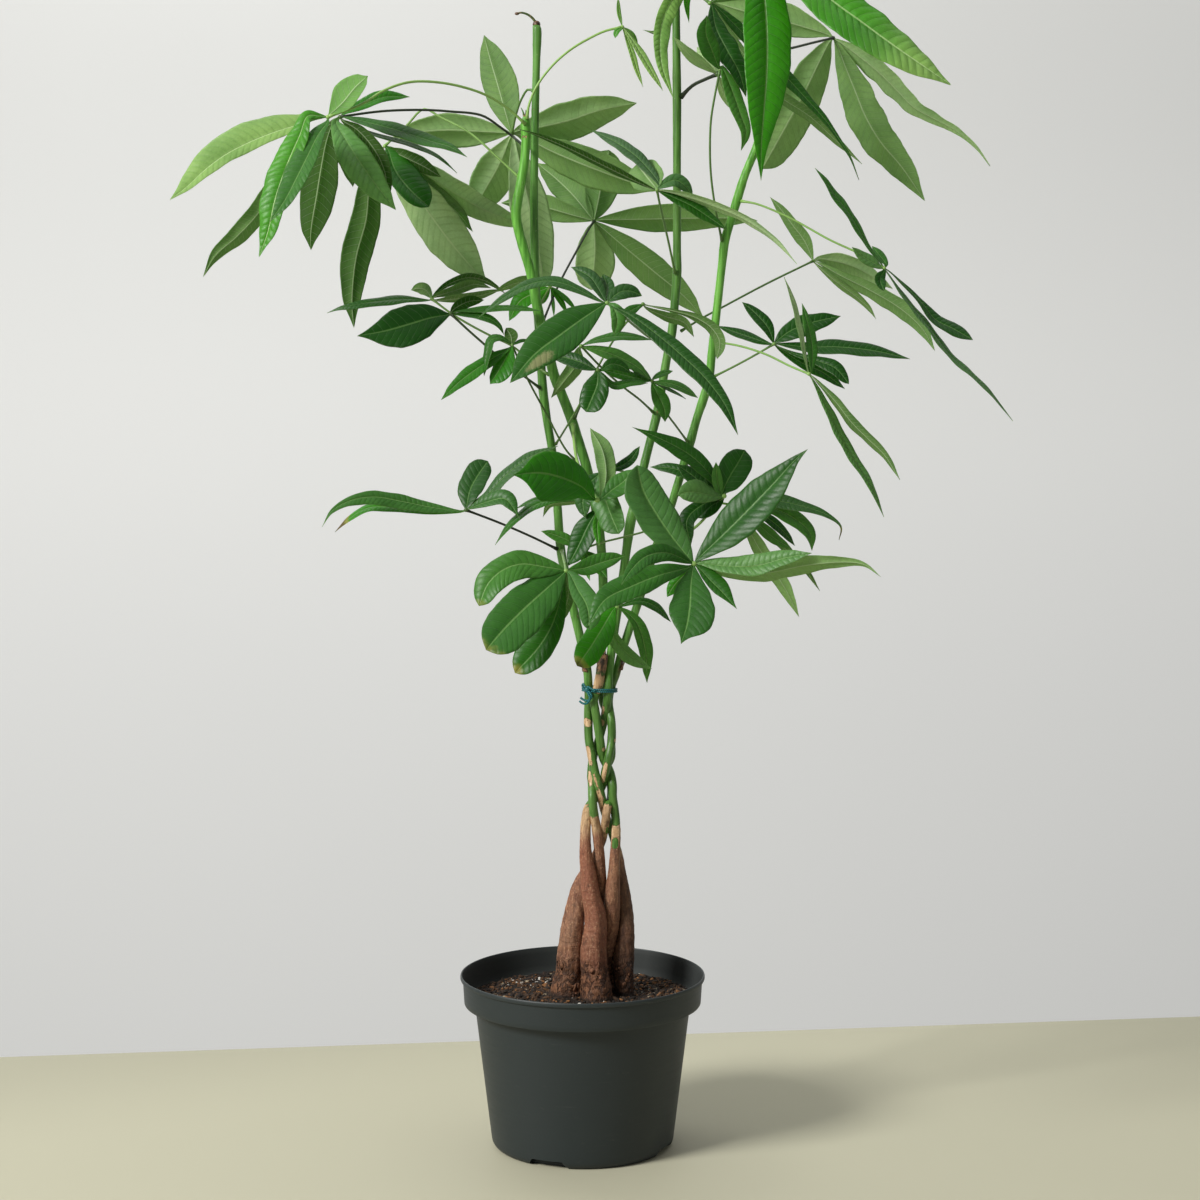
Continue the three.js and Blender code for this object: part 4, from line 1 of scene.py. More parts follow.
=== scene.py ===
"""Potted money tree: five braided stems with hand-shaped leaves in a charcoal nursery pot of potting mix. Metres, +Z up."""
import json
import math

import bpy
import numpy as np
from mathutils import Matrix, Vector

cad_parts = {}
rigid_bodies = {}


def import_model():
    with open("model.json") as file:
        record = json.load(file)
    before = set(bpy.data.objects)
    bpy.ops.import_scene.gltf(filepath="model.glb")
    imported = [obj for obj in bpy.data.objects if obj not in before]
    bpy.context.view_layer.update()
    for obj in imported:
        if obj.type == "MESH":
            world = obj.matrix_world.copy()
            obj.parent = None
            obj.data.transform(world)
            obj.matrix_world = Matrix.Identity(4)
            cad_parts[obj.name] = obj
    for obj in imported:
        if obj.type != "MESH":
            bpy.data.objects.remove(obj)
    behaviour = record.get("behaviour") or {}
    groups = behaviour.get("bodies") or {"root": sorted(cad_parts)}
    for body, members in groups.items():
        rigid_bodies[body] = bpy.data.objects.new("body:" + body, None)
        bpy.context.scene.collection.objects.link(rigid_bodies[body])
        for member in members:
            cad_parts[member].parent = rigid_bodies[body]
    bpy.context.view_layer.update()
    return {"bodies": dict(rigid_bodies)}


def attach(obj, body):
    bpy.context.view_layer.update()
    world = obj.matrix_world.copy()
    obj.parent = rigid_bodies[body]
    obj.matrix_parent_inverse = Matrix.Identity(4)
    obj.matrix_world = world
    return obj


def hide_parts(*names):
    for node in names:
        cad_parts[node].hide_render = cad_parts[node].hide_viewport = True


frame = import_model()
BODY = list(frame["bodies"])[0]
MM = 0.001

# ---------------------------------------------------------------- camera
FOCAL_PX = 2500.0
PITCH = math.radians(5.25)
cam_data = bpy.data.cameras.new("camera")
cam_data.sensor_width = 36.0
cam_data.sensor_height = 36.0
cam_data.sensor_fit = "HORIZONTAL"
cam_data.lens = 36.0 * FOCAL_PX / 1200.0
cam_data.clip_start = 0.05
cam_data.clip_end = 50
camera = bpy.data.objects.new("camera", cam_data)
camera.location = (0.018, -2.540, 0.800)
camera.rotation_euler = (math.pi / 2 - PITCH, 0, 0)
bpy.context.scene.collection.objects.link(camera)
bpy.context.scene.camera = camera

# ---------------------------------------------------------------- the plant's measures, in millimetres
# Each trunk runs from its top down to its swollen foot: x, y, z, radius.
TRUNKS = [
    ("trunk_right_back", [
        (-46, 4, 1144.1, 3.6),
        (-45.1, 4, 1140.2, 4.4),
        (-45.6, 4, 1109.6, 3.81),
        (-46.7, 5, 1070.2, 3.81),
        (-47.9, 6, 1020.7, 4.02),
        (-48.5, 7, 971, 4.03),
        (-48.2, 8, 921, 4.24),
        (-46.8, 8, 880.9, 4.25),
        (-43.8, 8, 840.7, 4.46),
        (-41.4, 8, 800.3, 4.47),
        (-39.9, 8, 780.1, 4.67),
        (-35.9, 8, 749.7, 4.27),
        (-30.8, 7, 719.2, 4.27),
        (-25.8, 6, 668.4, 4.28),
        (-21.8, 5, 616.4, 4.69),
        (-15.7, 4, 586.7, 4.49),
        (-6.5, 2, 545.9, 4.5),
        (0.6, 0, 515.3, 4.5),
        (5.2, -1, 492.8, 4.4),
        (6.2, 0.5, 475.1, 4.4),
        (6.5, 3, 463.4, 4.41),
        (6, 3, 453, 4.41),
        (6, 1.5, 440.8, 4.41),
        (6.7, -1, 422.6, 4.41),
        (9.8, -5, 405.6, 4.4),
        (12.9, -5.5, 390.1, 4.41),
        (16.5, -6, 376.8, 4.41),
        (19.5, -3, 363.8, 4.41),
        (21.6, 3.5, 351.2, 4.32),
        (26.3, 8, 335.8, 4.13),
        (32, 10, 318.7, 4.13),
        (36.8, 10, 300.9, 4.65),
        (38.5, 11, 282.9, 6.11),
        (41, 11.5, 263.9, 7.36),
        (43.5, 12, 248, 7.78),
        (45, 10.5, 230.4, 8.09),
        (44.7, 9, 213.9, 9.12),
        (42.7, 8, 196.2, 10.58),
        (42.1, 7.5, 178.3, 10.37),
        (42.1, 7, 161.6, 8.93),
        (42.4, 7, 138.3, 8.52),
    ]),
    ("trunk_right_front", [
        (21.1, -9, 512.2, 4.69),
        (19, -7.5, 497.7, 5),
        (17.5, -5.5, 485.1, 5.11),
        (14.9, -5, 475.8, 4.6),
        (11.7, -5.5, 464.5, 4.39),
        (13.1, -6, 454.3, 4.39),
        (15.2, -6.5, 442, 4.4),
        (18, -7, 423.5, 4.4),
        (20.9, -2.2, 405.2, 4.41),
        (28.3, 3, 388.8, 4.42),
        (31, -2, 376.1, 4.41),
        (31.1, -3, 363.8, 4.41),
        (32.8, -1, 352, 4.42),
        (34.3, -1, 337.5, 4.52),
        (34.5, -2, 321, 4.94),
        (33.5, -3, 303.5, 5.35),
        (32.7, -2.5, 285.6, 6.18),
        (31, -1, 266.5, 7.53),
        (30, 1, 250.4, 8.05),
        (28.3, 5.5, 228.4, 7.86),
        (24.7, 12, 200.5, 7.48),
        (23.2, 17, 176, 7.91),
        (22.2, 20, 158.3, 8.35),
        (21.1, 21, 134.6, 8.36),
    ]),
    ("trunk_centre_back", [
        (93.8, 10, 1316.5, 2.99),
        (94, 10, 1228.5, 3.6),
        (94.2, 10, 1169.5, 3.91),
        (94.8, 10, 1120.2, 4.02),
        (95.4, 10, 1073.7, 4.43),
        (95.6, 10, 1021, 4.03),
        (95.7, 10, 971.2, 4.04),
        (95.9, 10, 921.1, 4.15),
        (95.9, 10, 899.1, 4.66),
        (94, 10, 870.9, 4.26),
        (91, 10, 838.7, 4.67),
        (87, 10, 818.5, 4.36),
        (83, 10, 795.2, 4.37),
        (79, 10, 771.9, 4.37),
        (76, 10, 755.7, 4.68),
        (69.9, 9, 731.4, 4.38),
        (63.8, 8, 707, 4.38),
        (56.7, 6, 676.5, 4.38),
        (49.1, 4, 646.1, 5.3),
        (45, 3, 617.5, 4.49),
        (39.4, 2, 576.7, 4.49),
        (34.3, 1, 546, 4.49),
        (29.8, -1, 515.4, 4.5),
        (27.2, -2, 492.9, 4.4),
        (26.5, -4.5, 475.7, 4.39),
        (25.2, -3, 462.1, 4.4),
        (21.6, 5, 440.3, 4.31),
        (16.6, 5.5, 421.6, 4.32),
        (11, 7.3, 403.7, 4.32),
        (9.1, 4, 388.6, 4.32),
        (9.8, 1, 375.6, 4.42),
        (10.1, -6, 364.3, 4.41),
        (11.1, -6.5, 353, 4.51),
        (13.1, -2.5, 337.7, 4.73),
        (15.5, -1.5, 320.9, 5.14),
        (17.3, 0, 302.9, 5.36),
        (18.5, 2, 284.7, 5.47),
        (20.4, 7.5, 264.7, 4.86),
        (21.6, 12.5, 247.9, 4.67),
        (19, 18, 220.3, 5.62),
        (13.3, 23.5, 187.2, 6.26),
        (8.6, 27, 159.7, 7.84),
        (6.5, 28, 132.8, 8.38),
    ]),
    ("trunk_front", [
        (188.1, -20, 1204.1, 3.16),
        (186.4, -20, 1155.5, 3.57),
        (185.9, -18, 1106.9, 3.87),
        (182.4, -15, 1058.2, 3.99),
        (174.8, -12, 1024.1, 4.09),
        (163.1, -9, 994.7, 4.1),
        (155.4, -7, 970, 4.61),
        (149.6, -5, 950.3, 4.12),
        (143.7, -4, 930.4, 4.62),
        (140.8, -3, 905.5, 4.13),
        (137, -2, 870.6, 4.13),
        (133.1, -1, 835.5, 4.34),
        (131.2, 0, 818.4, 4.25),
        (128.3, 0, 790.2, 4.45),
        (123.4, 1, 773, 4.66),
        (116.4, 2, 751.8, 4.26),
        (109.4, 3, 726.5, 4.67),
        (98.4, 4, 688.8, 4.27),
        (87.3, 5, 653.1, 4.28),
        (74.1, 6, 617.3, 4.29),
        (57.9, 8, 565.9, 4.3),
        (47.7, 8, 535, 4.3),
        (39.5, 8, 509.2, 4.31),
        (34.9, 6, 491.9, 4.41),
        (28.8, 7, 474.2, 4.41),
        (27, 6.5, 460.8, 4.31),
        (29.7, -2, 441.3, 4.3),
        (29.9, -4, 423, 4.3),
        (26.8, -9, 406.2, 4.29),
        (23.4, -7.5, 390.5, 4.3),
        (20.6, 5, 374.9, 4.32),
        (13.9, 6.5, 362.2, 4.33),
        (6.3, 4, 351.1, 4.74),
        (3.8, 2, 336.9, 5.25),
        (3.2, -2, 321, 5.55),
        (3.6, -3.5, 303.6, 6.48),
        (5.4, -4.5, 286, 7.72),
        (7.6, -5.5, 267.4, 9.47),
        (10, -6.5, 255.1, 10.09),
        (12.4, -7, 244.8, 10.91),
        (13.3, -8, 231.4, 11.53),
        (12.1, -9, 218, 12.66),
        (11, -9.5, 202.4, 13.7),
        (11.8, -10, 184.7, 14.01),
        (13.3, -11, 168.2, 14.63),
        (13.9, -12, 143.2, 15.26),
    ]),
    ("trunk_left", [
        (-55.8, -14, 1051.5, 3.19),
        (-56.3, -14, 1044.6, 4.99),
        (-55.8, -14, 1028.8, 4.59),
        (-57.9, -14, 1004.2, 4.59),
        (-61.5, -14, 984.4, 4.8),
        (-64.5, -14, 969.6, 5),
        (-66, -14, 954.7, 5),
        (-63.6, -14, 939.8, 4.81),
        (-58.2, -13, 920, 4.81),
        (-52.2, -13, 900.2, 4.81),
        (-46.3, -13, 870.3, 5.02),
        (-41.3, -12, 845.3, 5.23),
        (-34.3, -12, 820.3, 5.03),
        (-28.3, -11, 795.3, 5.24),
        (-20.3, -10, 775.2, 5.04),
        (-11.3, -10, 752, 5.25),
        (-4.2, -10, 729.9, 5.05),
        (3.8, -11, 704.7, 5.05),
        (10.9, -10, 674.3, 4.86),
        (16, -7, 648.8, 4.87),
        (19, -3, 623.1, 4.68),
        (21.1, 3, 586.8, 4.7),
        (21.1, 7, 545.4, 4.71),
        (18.5, 9, 514.3, 4.72),
        (19.5, 9.5, 495.6, 4.41),
        (20.4, 12, 473.6, 4.32),
        (21.1, 14, 459.8, 4.33),
        (29.8, 11.5, 439.4, 4.12),
        (29.6, 8.2, 421.2, 4.12),
        (29.6, 7.5, 403.6, 4.12),
        (23.2, 13, 387.2, 4.13),
        (28.9, 10, 374.1, 4.13),
        (29.1, 6.7, 362.1, 4.12),
        (25.5, -6.9, 353.1, 4.2),
        (23.5, -4, 338, 4.31),
        (20.9, 9.5, 318.8, 4.13),
        (13.9, 12.5, 300.4, 4.66),
        (3.9, 13.5, 282.4, 6.22),
        (-3.1, 11, 266.1, 8.18),
        (-6.5, 8, 248.8, 10.04),
        (-9.9, 4.5, 225.4, 11.9),
        (-12.4, 4.5, 202.3, 12.94),
        (-13.5, 5, 181.1, 13.58),
        (-14.4, 5.5, 161.9, 14.31),
        (-14.9, 6, 138.5, 14.95),
    ]),
]

# Each leaf: name, stalk radius, hub, stalk points, stalk tone and darkness, and its leaflets:
# (midrib points after the hub, left and right half-widths, how far each edge stands back, widest place, face shown,
# lightness, youth, waviness, outline, quilting, dried tip, pale dry patch as (place along, place across, strength),
# greyness as a painted sheen, youth at the tip).
# Lightness, youth and youth at the tip are partly the leaflet's own colour and partly painted light, set to match how
# lit or shaded each leaflet looks.
LEAVES = [
    ("leaf_left_young", 1.27, [-243.6, -103.2, 1042.6], [[-56.6, -19, 1044.1], [-71.2, -27.2, 1057], [-90.6, -37.2, 1068.6], [-109.8, -47.1, 1075.3], [-138.3, -61.9, 1079.9], [-166.6, -75.1, 1078.9], [-190, -86.7, 1070], [-213.4, -96.6, 1054.6]], 0.8, 0.0, [
        ([[-260.7, -105.3, 1040.5], [-270.1, -107, 1035.6], [-293.6, -111.8, 1027.5], [-316.9, -117.9, 1017.5], [-339.8, -125.8, 1004.5], [-357.8, -134, 989.8], [-372.8, -142.7, 974.1], [-388.5, -152.2, 960.3]], 9.4, 20.7, -8, 9.9, 0.5, "T", 0.85, 0.93, 0.15, "", 0.1, 0, None, 0.35, 0),
        ([[-252.7, -107.9, 1043.1], [-261.8, -112.3, 1042.6], [-268.7, -120.5, 1023.9], [-280.1, -131.1, 994.7], [-290.8, -139.6, 961.1], [-297.3, -143.9, 930.8], [-305.9, -145.2, 907.2]], 13.2, 15.5, -9.1, 5.5, 0.55, "T", 0.6, 0.62, 0.35, "", 0.75, 0, None, 0, 0),
        ([[-243.3, -106.4, 1038.5], [-251.5, -119.8, 1023.9], [-259.5, -135.3, 1003.7], [-267.6, -148.8, 983.9], [-278.4, -162.9, 959.6], [-291.4, -173.2, 938.5]], 10.9, 14.4, -8, 5.8, 0.5, "T", 0.42, 0.04, 0.12, "", 0, 0, None, 0.3, 0),
        ([[-240.8, -102.1, 1045.5], [-229.6, -98.1, 1056.4], [-218.3, -93.5, 1071.1], [-206.1, -89.2, 1083]], 16.9, 10.4, 8.5, -8.9, 0.5, "U", 0.62, 0.25, 0.1, "", 0.03, 0, None, 0, 0),
    ]),
    ("leaf_left_mature", 1.22, [-238.2, -43.7, 1048.5], [[-57, -9, 1022.3], [-70.5, 5.8, 1034.6], [-82.3, -0.8, 1042.9], [-99.9, -7.3, 1053.6], [-131.5, -13.9, 1056.9], [-157, -20.6, 1057.7], [-194.9, -30.4, 1055.7], [-226.6, -40.3, 1050.8]], 0.1, 1, [
        ([[-233.5, -40.6, 1052.7], [-214.7, -30.3, 1062.5], [-195.6, -20.4, 1070.4], [-171.7, -8.7, 1071.7]], 7.9, 5.6, 4.5, -5.3, 0.5, "T", 0.35, 0.25, 0.5, "", 0.08, 0, None, 0.05, 0),
        ([[-235.2, -44.1, 1048.5], [-208.2, -48.5, 1042.2], [-178.4, -53.3, 1034], [-148.7, -58.3, 1023.8], [-128.9, -61.6, 1017.7], [-112.1, -64.7, 1007.8]], 7.6, 7.6, 10.7, -13.1, 0.5, "T", 0.35, 0.0, 0.3, "", 0.08, 0, None, 0.3, 0),
        ([[-236.2, -43.4, 1046.6], [-208.9, -41.6, 1033.1], [-184.3, -41.9, 1026.3], [-159.5, -43.7, 1018.3], [-139.7, -46.6, 1008.3], [-122.8, -50.7, 993.4]], 3, 3, 11, -11.9, 0.5, "T", 0.25, 0.0, 0.5, "", 0.08, 0, None, 0, 0),
        ([[-241.7, -47.8, 1044.2], [-230.7, -61.1, 1024.5], [-216.1, -72.5, 1002.3], [-200.1, -78.9, 979.7], [-180.8, -78.7, 955.6]], 14.4, 17.1, 6.1, -12.6, 0.5, "T", 1.0, 0.0, 0.15, "", 0.1, 0, None, 0, 0),
        ([[-236.1, -44.5, 1045.5], [-220.1, -48.3, 1035.4], [-203.1, -52.6, 1015.6], [-193.2, -55.5, 994], [-190.4, -57.7, 962.7]], 7.9, 9.9, -3.4, 7.2, 0.5, "U", 0.0, 0.0, 0.5, "", 0.08, 0, None, 0.0, 0),
        ([[-244.2, -42.5, 1043.8], [-251.6, -39.5, 1026.5], [-257.3, -35.7, 1002.4], [-263, -31.1, 973.3], [-270, -25.4, 937.2], [-270.5, -22.7, 919.6]], 19.1, 18, -4.3, 9.9, 0.55, "U", 0.0, 0.0, 0.15, "", 0.08, 0, None, 0.0, 0),
        ([[-242.6, -39.4, 1044.1], [-238.5, -23.6, 1023], [-232.1, -9.4, 1004.5], [-230.8, 5.3, 983.8]], 11.8, 11.8, -2.8, 6.6, 0.5, "U", 0.15, 0.0, 0.5, "", 0.08, 0, None, 0, 0),
        ([[-244.4, -41.2, 1044.8], [-279.8, -27.9, 1017.7], [-306.5, -17, 981.2], [-327.7, -10.4, 952.9], [-348.6, -6.3, 932.3], [-369.4, -3.4, 914.5], [-382, -1.7, 893.6]], 8.9, 9.9, 7.5, -5.1, 0.62, "U", 0.3, 0.0, 0.5, "", 0.08, 0, None, 0.0, 0),
    ]),
    ("leaf_left_inner", 1.17, [-200.6, 33.2, 1027.1], [[-62, -13, 991.4], [-85.1, -6.4, 1012.7], [-112.5, 1.8, 1037.2], [-143.1, 11.8, 1054], [-159.5, 16.7, 1062.5], [-177.4, 24.9, 1047.3]], 0.6, 0.0, [
        ([[-200.5, 32.7, 1026], [-179.4, 20.5, 1014.9], [-158.3, 8.4, 1004], [-141.6, -1.8, 993.2]], 8.1, 8.1, -4.4, 7, 0.5, "U", 0.0, 0.0, 0.5, "", 0.08, 0, None, 0.0, 0),
        ([[-197.1, 28, 1022.6], [-188.6, 8.5, 1001], [-172.2, -9.7, 979.8], [-152.4, -22.8, 962.1]], 19.2, 10.9, 8.6, -8.9, 0.5, "T", 0.05, 0.2, 0.1, "blunt", 0.08, 0, None, 0.0, 0),
        ([[-197.7, 34.2, 1022.1], [-181, 39.8, 993.4], [-161.2, 45.4, 966.5], [-139.2, 51.6, 936.3], [-116, 57.6, 908.1], [-98.7, 61.7, 889.8]], 22.7, 22.7, -10.1, 17.4, 0.6, "U", 0.85, 0.0, 0.2, "", 0.08, 0, None, 0.0, 0),
        ([[-196.7, 35.3, 1024.2], [-166.4, 50.8, 1004.3], [-136.7, 65.7, 985.1], [-101.4, 82.4, 965.8], [-70.8, 95.7, 954.2], [-53.2, 103.2, 948.4]], 13.7, 13.7, -6.9, 11.3, 0.5, "U", 0.9, 0.0, 0.2, "", 0.08, 0, None, 0.0, 0),
        ([[-197.8, 36.2, 1022.3], [-157.3, 65.4, 985.1], [-129.6, 83.9, 962.8], [-114.7, 96.2, 943.9]], 9.1, 9.1, -4.9, 7.8, 0.6, "U", 0.4, 0.0, 0.5, "", 0.08, 0, None, 0, 0),
        ([[-202.7, 34, 1025.1], [-212.4, 38.6, 1008.4], [-218.1, 42.8, 983.5], [-221.6, 44.9, 953.2], [-232, 42.9, 914.6], [-235.7, 34.9, 871.6], [-233.1, 26.2, 843]], 14.9, 16, 8.3, -3.7, 0.52, "U", 0.15, 0.0, 0.15, "", 0.08, 0, None, 0.0, 0),
    ]),
    ("leaf_top_left", 1.12, [-72.5, 64.1, 1042], [[-47.3, 8, 1077.4], [-53.4, 11.3, 1081.8], [-60.9, 24.5, 1074.2], [-67.7, 44.3, 1059.3]], 0.3, 0.2, [
        ([[-73.5, 65, 1045.1], [-79.9, 70.9, 1067], [-87.3, 78, 1093.2], [-95.7, 85.6, 1121.6], [-102.1, 92.1, 1145.8]], 15.8, 20.4, 9, -4.8, 0.48, "U", 0.3, 0.0, 0.15, "", 0.08, 0, None, 0.0, 0),
        ([[-76.6, 64.3, 1043], [-110.6, 66.2, 1045.2], [-141.6, 68, 1046.4], [-172.7, 69.7, 1043.5], [-196.5, 71.1, 1035.5]], 17.2, 16.1, 14, -8, 0.5, "U", 0.7, 0.0, 0.2, "", 0.08, 0, None, 0.0, 0),
        ([[-74.6, 66.2, 1038.1], [-85.5, 78.7, 1013.7], [-101.8, 93.1, 987.1], [-117.2, 106.1, 963.1]], 20.4, 20.4, 13.8, -7.3, 0.5, "U", 1.0, 0.0, 0.2, "", 0.08, 0, None, 0.0, 0),
        ([[-70.5, 64.5, 1037.9], [-65.5, 66.4, 1015.7], [-60.4, 68.3, 993.5], [-55.4, 70.4, 970.1], [-49.3, 73, 939.5], [-43.2, 75.6, 908.8], [-40.2, 78.1, 879]], 20.4, 20.4, 11.1, -4.6, 0.52, "U", 1.0, 0.0, 0.2, "", 0.08, 0, None, 0.0, 0),
        ([[-67.4, 64.7, 1045.1], [-43.8, 67.3, 1049.4], [-12.9, 70.6, 1056.8], [18, 74, 1067.3], [56.2, 78.1, 1074.9]], 18.2, 19.2, -8.8, 15.5, 0.45, "U", 0.75, 0.0, 0.2, "", 0.08, 0, None, 0.0, 0),
        ([[-66.3, 64.1, 1042], [-33.5, 64.1, 1025.7], [2.6, 64.1, 1010.5], [38.6, 64.1, 997.2], [76.7, 64.1, 984]], 18.2, 19.2, -8.8, 15.5, 0.55, "U", 0.55, 0.0, 0.15, "", 0.08, 0, None, 0.0, 0),
    ]),
    ("leaf_middle_back", 1.17, [11.5, 178.4, 960.1], [[-39.4, -8, 848.4], [-30.9, 21.7, 871.2], [-21.3, 67.9, 895.1], [-7.3, 120.7, 924.3], [7.3, 166.9, 953]], 0.1, 1, [
        ([[8.3, 179.1, 961.2], [-14.4, 184, 967.9], [-41.4, 189.7, 975.7], [-68.6, 195.3, 980.4], [-89.4, 199.4, 980.7]], 12.4, 12.4, 10.5, -6.4, 0.5, "U", 0.35, 0.0, 0.5, "", 0.08, 0, None, 0.0, 0),
        ([[8.3, 180.6, 964.5], [-9, 191.6, 986.6], [-27.6, 201.9, 1005.5], [-50.6, 213.4, 1024.7]], 14.8, 14.8, 12.4, -7.6, 0.5, "U", 0.3, 0.0, 0.5, "", 0.08, 0, None, 0, 0),
        ([[12.6, 179.9, 965.5], [16.9, 185.5, 986.2], [22.3, 192.9, 1013.4], [27.7, 199.4, 1037.5]], 18.9, 18.9, -4.4, 10.4, 0.52, "U", 0.45, 0.0, 0.5, "blunt", 0.08, 0, None, 0.0, 0),
        ([[16.9, 178.2, 961.2], [61, 176.5, 962.1], [114.8, 174.4, 963], [157.7, 172.6, 962.9], [187.7, 171.4, 959.7]], 15.1, 14, -7.5, 11.5, 0.45, "U", 0.4, 0.0, 0.1, "", 0.08, 0, None, 0.0, 0),
        ([[15.8, 178.9, 956.9], [45, 182.3, 932.5], [77.5, 186.1, 905.9], [110.2, 189.9, 879.1], [129.9, 192.4, 857.6]], 15.9, 17, -7.9, 13.8, 0.5, "U", 0.35, 0.0, 0.15, "", 0.08, 0, None, 0.0, 0),
        ([[11.5, 179, 954.8], [12.6, 180.9, 934.6], [11.5, 183.2, 910.1], [8.3, 185.4, 886.5]], 22, 20.6, 12, -4.7, 0.5, "U", 0.8, 0.0, 0.5, "blunt", 0.08, 0, None, 0.0, 0),
    ]),
    ("leaf_middle_front", 1.12, [73.4, -82.4, 974.6], [[93.8, 5, 897.9], [85.9, -23.1, 929.5], [77.9, -61, 956.7]], 0.3, 0.1, [
        ([[72.5, -79.1, 976.8], [65.1, -60, 987.8], [54.7, -33.4, 1003.6]], 16.5, 16.5, 12.9, -7.6, 0.5, "U", 0.42, 0.0, 0.5, "blunt", 0.08, 0, None, 0, 0),
        ([[70.5, -82.7, 975.5], [27.7, -87.2, 995.4], [-15.9, -91.8, 1016], [-44.8, -94.8, 1027.2], [-61.1, -96.4, 1031.8]], 2.9, 2.9, 12.8, -11.8, 0.35, "U", 0.05, 0.0, 0.5, "", 0.08, 0, None, 0, 0),
        ([[76.4, -79.7, 977.7], [57.3, -57.5, 1005.5], [34.8, -38.6, 1023.7], [9, -19.4, 1038.1]], 6.8, 6.8, -6, 3.8, 0.5, "T", 0.2, 0.0, 0.5, "", 0.08, 0, None, 0.9, 0),
        ([[76.4, -81.2, 977.6], [91.1, -76.2, 984.7], [101, -72.8, 979.1], [109, -68.4, 967.8]], 6.8, 6.8, 3.8, -6, 0.5, "T", 0.45, 0.0, 0.5, "", 0.08, 0, None, 0.9, 0),
        ([[77.3, -83.5, 974.5], [105.2, -91.2, 967.3], [129.2, -98.1, 958.2], [157.8, -106.5, 945.2], [186.2, -116, 924.7], [206.8, -124.4, 901.4]], 3.4, 3.4, -9.6, 10.7, 0.3, "U", 1.0, 0.0, 0.5, "", 0.08, 0, None, 0.0, 0),
        ([[77.3, -82.8, 972.6], [105.5, -85.6, 959.9], [124.9, -87.6, 947.3], [141.3, -89.4, 935.7]], 6.8, 6.8, 3.8, -6, 0.5, "T", 0.15, 0.0, 0.5, "", 0.08, 0, None, 0.0, 0),
    ]),
    ("leaf_top_young", 1.17, [39.8, -21.3, 1138.7], [[-54.7, -18, 1049.1], [-52.6, -19.7, 1062.7], [-44.6, -21.3, 1081.1], [-29.6, -22.9, 1100.5], [-11.7, -22.9, 1116.1], [8.1, -21.3, 1128], [23, -21.3, 1134.8]], 0.85, 0.0, [
        ([[39.8, -21.1, 1139.7], [36.8, -17.8, 1153.8], [35.9, -14.3, 1168.9]], 2.2, 2.2, -1.6, 0.9, 0.5, "T", 0.6, 0.8, 0.5, "", 0.18, 0, None, 0, 0),
        ([[39.8, -22.1, 1137.6], [34.8, -26.7, 1134.1], [32.8, -32.5, 1126.5]], 3, 3, -2.8, 1.8, 0.5, "T", 0.5, 0.6, 0.5, "", 0.15, 0, None, 0, 0),
        ([[41.8, -20.5, 1137.8], [48.8, -17.4, 1132.4], [55.8, -12.9, 1122.2]], 3, 3, 2.1, -3.1, 0.5, "T", 0.6, 0.8, 0.5, "", 0.18, 0, None, 0, 0),
        ([[40.8, -21.8, 1136.7], [48.7, -26.7, 1115.6], [54.6, -31.3, 1095.6], [60.5, -35.3, 1078.6]], 3, 3, 1.3, -2.2, 0.5, "T", 0.9, 1.0, 0.5, "", 0.18, 0, None, 0, 0),
        ([[41.8, -22, 1136.7], [57.5, -29.2, 1113.3], [69.3, -35.2, 1093.2], [80.1, -40.9, 1074.1]], 4, 4, 2.2, -3.5, 0.5, "T", 0.9, 1.0, 0.5, "", 0.19, 0, None, 0, 0),
    ]),
    ("leaf_top_bright", 1.33, [118.8, -69.9, 1203.7], [[97.9, 6, 1229.8], [105.1, -17.1, 1222], [112.9, -45.2, 1211.5]], 0.8, 0.0, [
        ([[114.7, -75.5, 1197.1], [97.6, -98, 1168], [83.8, -112.5, 1147.1], [76, -124.6, 1123.9], [75.7, -137.7, 1090.5], [86.9, -146.9, 1055.9]], 9.7, 6.8, 2.4, -4, 0.5, "T", 1.0, 0.86, 0.5, "", 0.4, 0, None, 0, 0),
        ([[117, -67.5, 1198.3], [107.7, -58.4, 1178.8], [103.1, -50.6, 1160.8], [105.5, -41.9, 1139.8]], 3.9, 3.9, 1.3, -2.5, 0.5, "T", 0.5, 0.4, 0.5, "", 0.13, 0, None, 0, 0),
        ([[115, -68.8, 1200], [99.8, -61.8, 1170.6], [86.4, -55.7, 1144.7], [73.8, -51.7, 1129.8], [60.1, -48.9, 1132.1]], 3.9, 3.9, 3.6, -2.4, 0.5, "U", 0.2, 0.0, 0.5, "", 0.08, 0, None, 0, 0),
        ([[120.6, -71.8, 1207.2], [135.4, -84.5, 1229.6], [156.6, -99, 1251.4], [179.5, -111.9, 1265.8]], 15.5, 15.5, 7.6, -12.5, 0.5, "T", 0.7, 0.6, 0.5, "", 0.15, 0, None, 0, 0),
        ([[116.9, -69.2, 1208.5], [111.1, -65, 1239.7], [99.5, -60.3, 1273.8], [84, -55.9, 1303.1]], 15.5, 15.5, -9.3, 4.4, 0.5, "T", 0.7, 0.6, 0.5, "", 0.15, 0, None, 0, 0),
    ]),
    ("leaf_inner_dark", 1.73, [134.9, -25, 1092.4], [[99.4, 8, 1073.5], [110.1, -1.9, 1083.3], [123.5, -15.1, 1088.7]], 0.0, 1, [
        ([[132.9, -26, 1093.3], [116.7, -34.4, 1103], [101.6, -42.8, 1113.6], [90.5, -50.2, 1125.2]], 4.5, 4.5, 9.6, -8.1, 0.5, "U", 0.75, 0.0, 0.5, "", 0.08, 0, None, 0.0, 0),
        ([[134.1, -22.7, 1095.6], [125.5, -12.3, 1107.6], [115, 0.2, 1121.9]], 7.9, 6.9, 6.6, -3.7, 0.5, "U", 0.95, 0.0, 0.5, "", 0.08, 0, None, 0, 0),
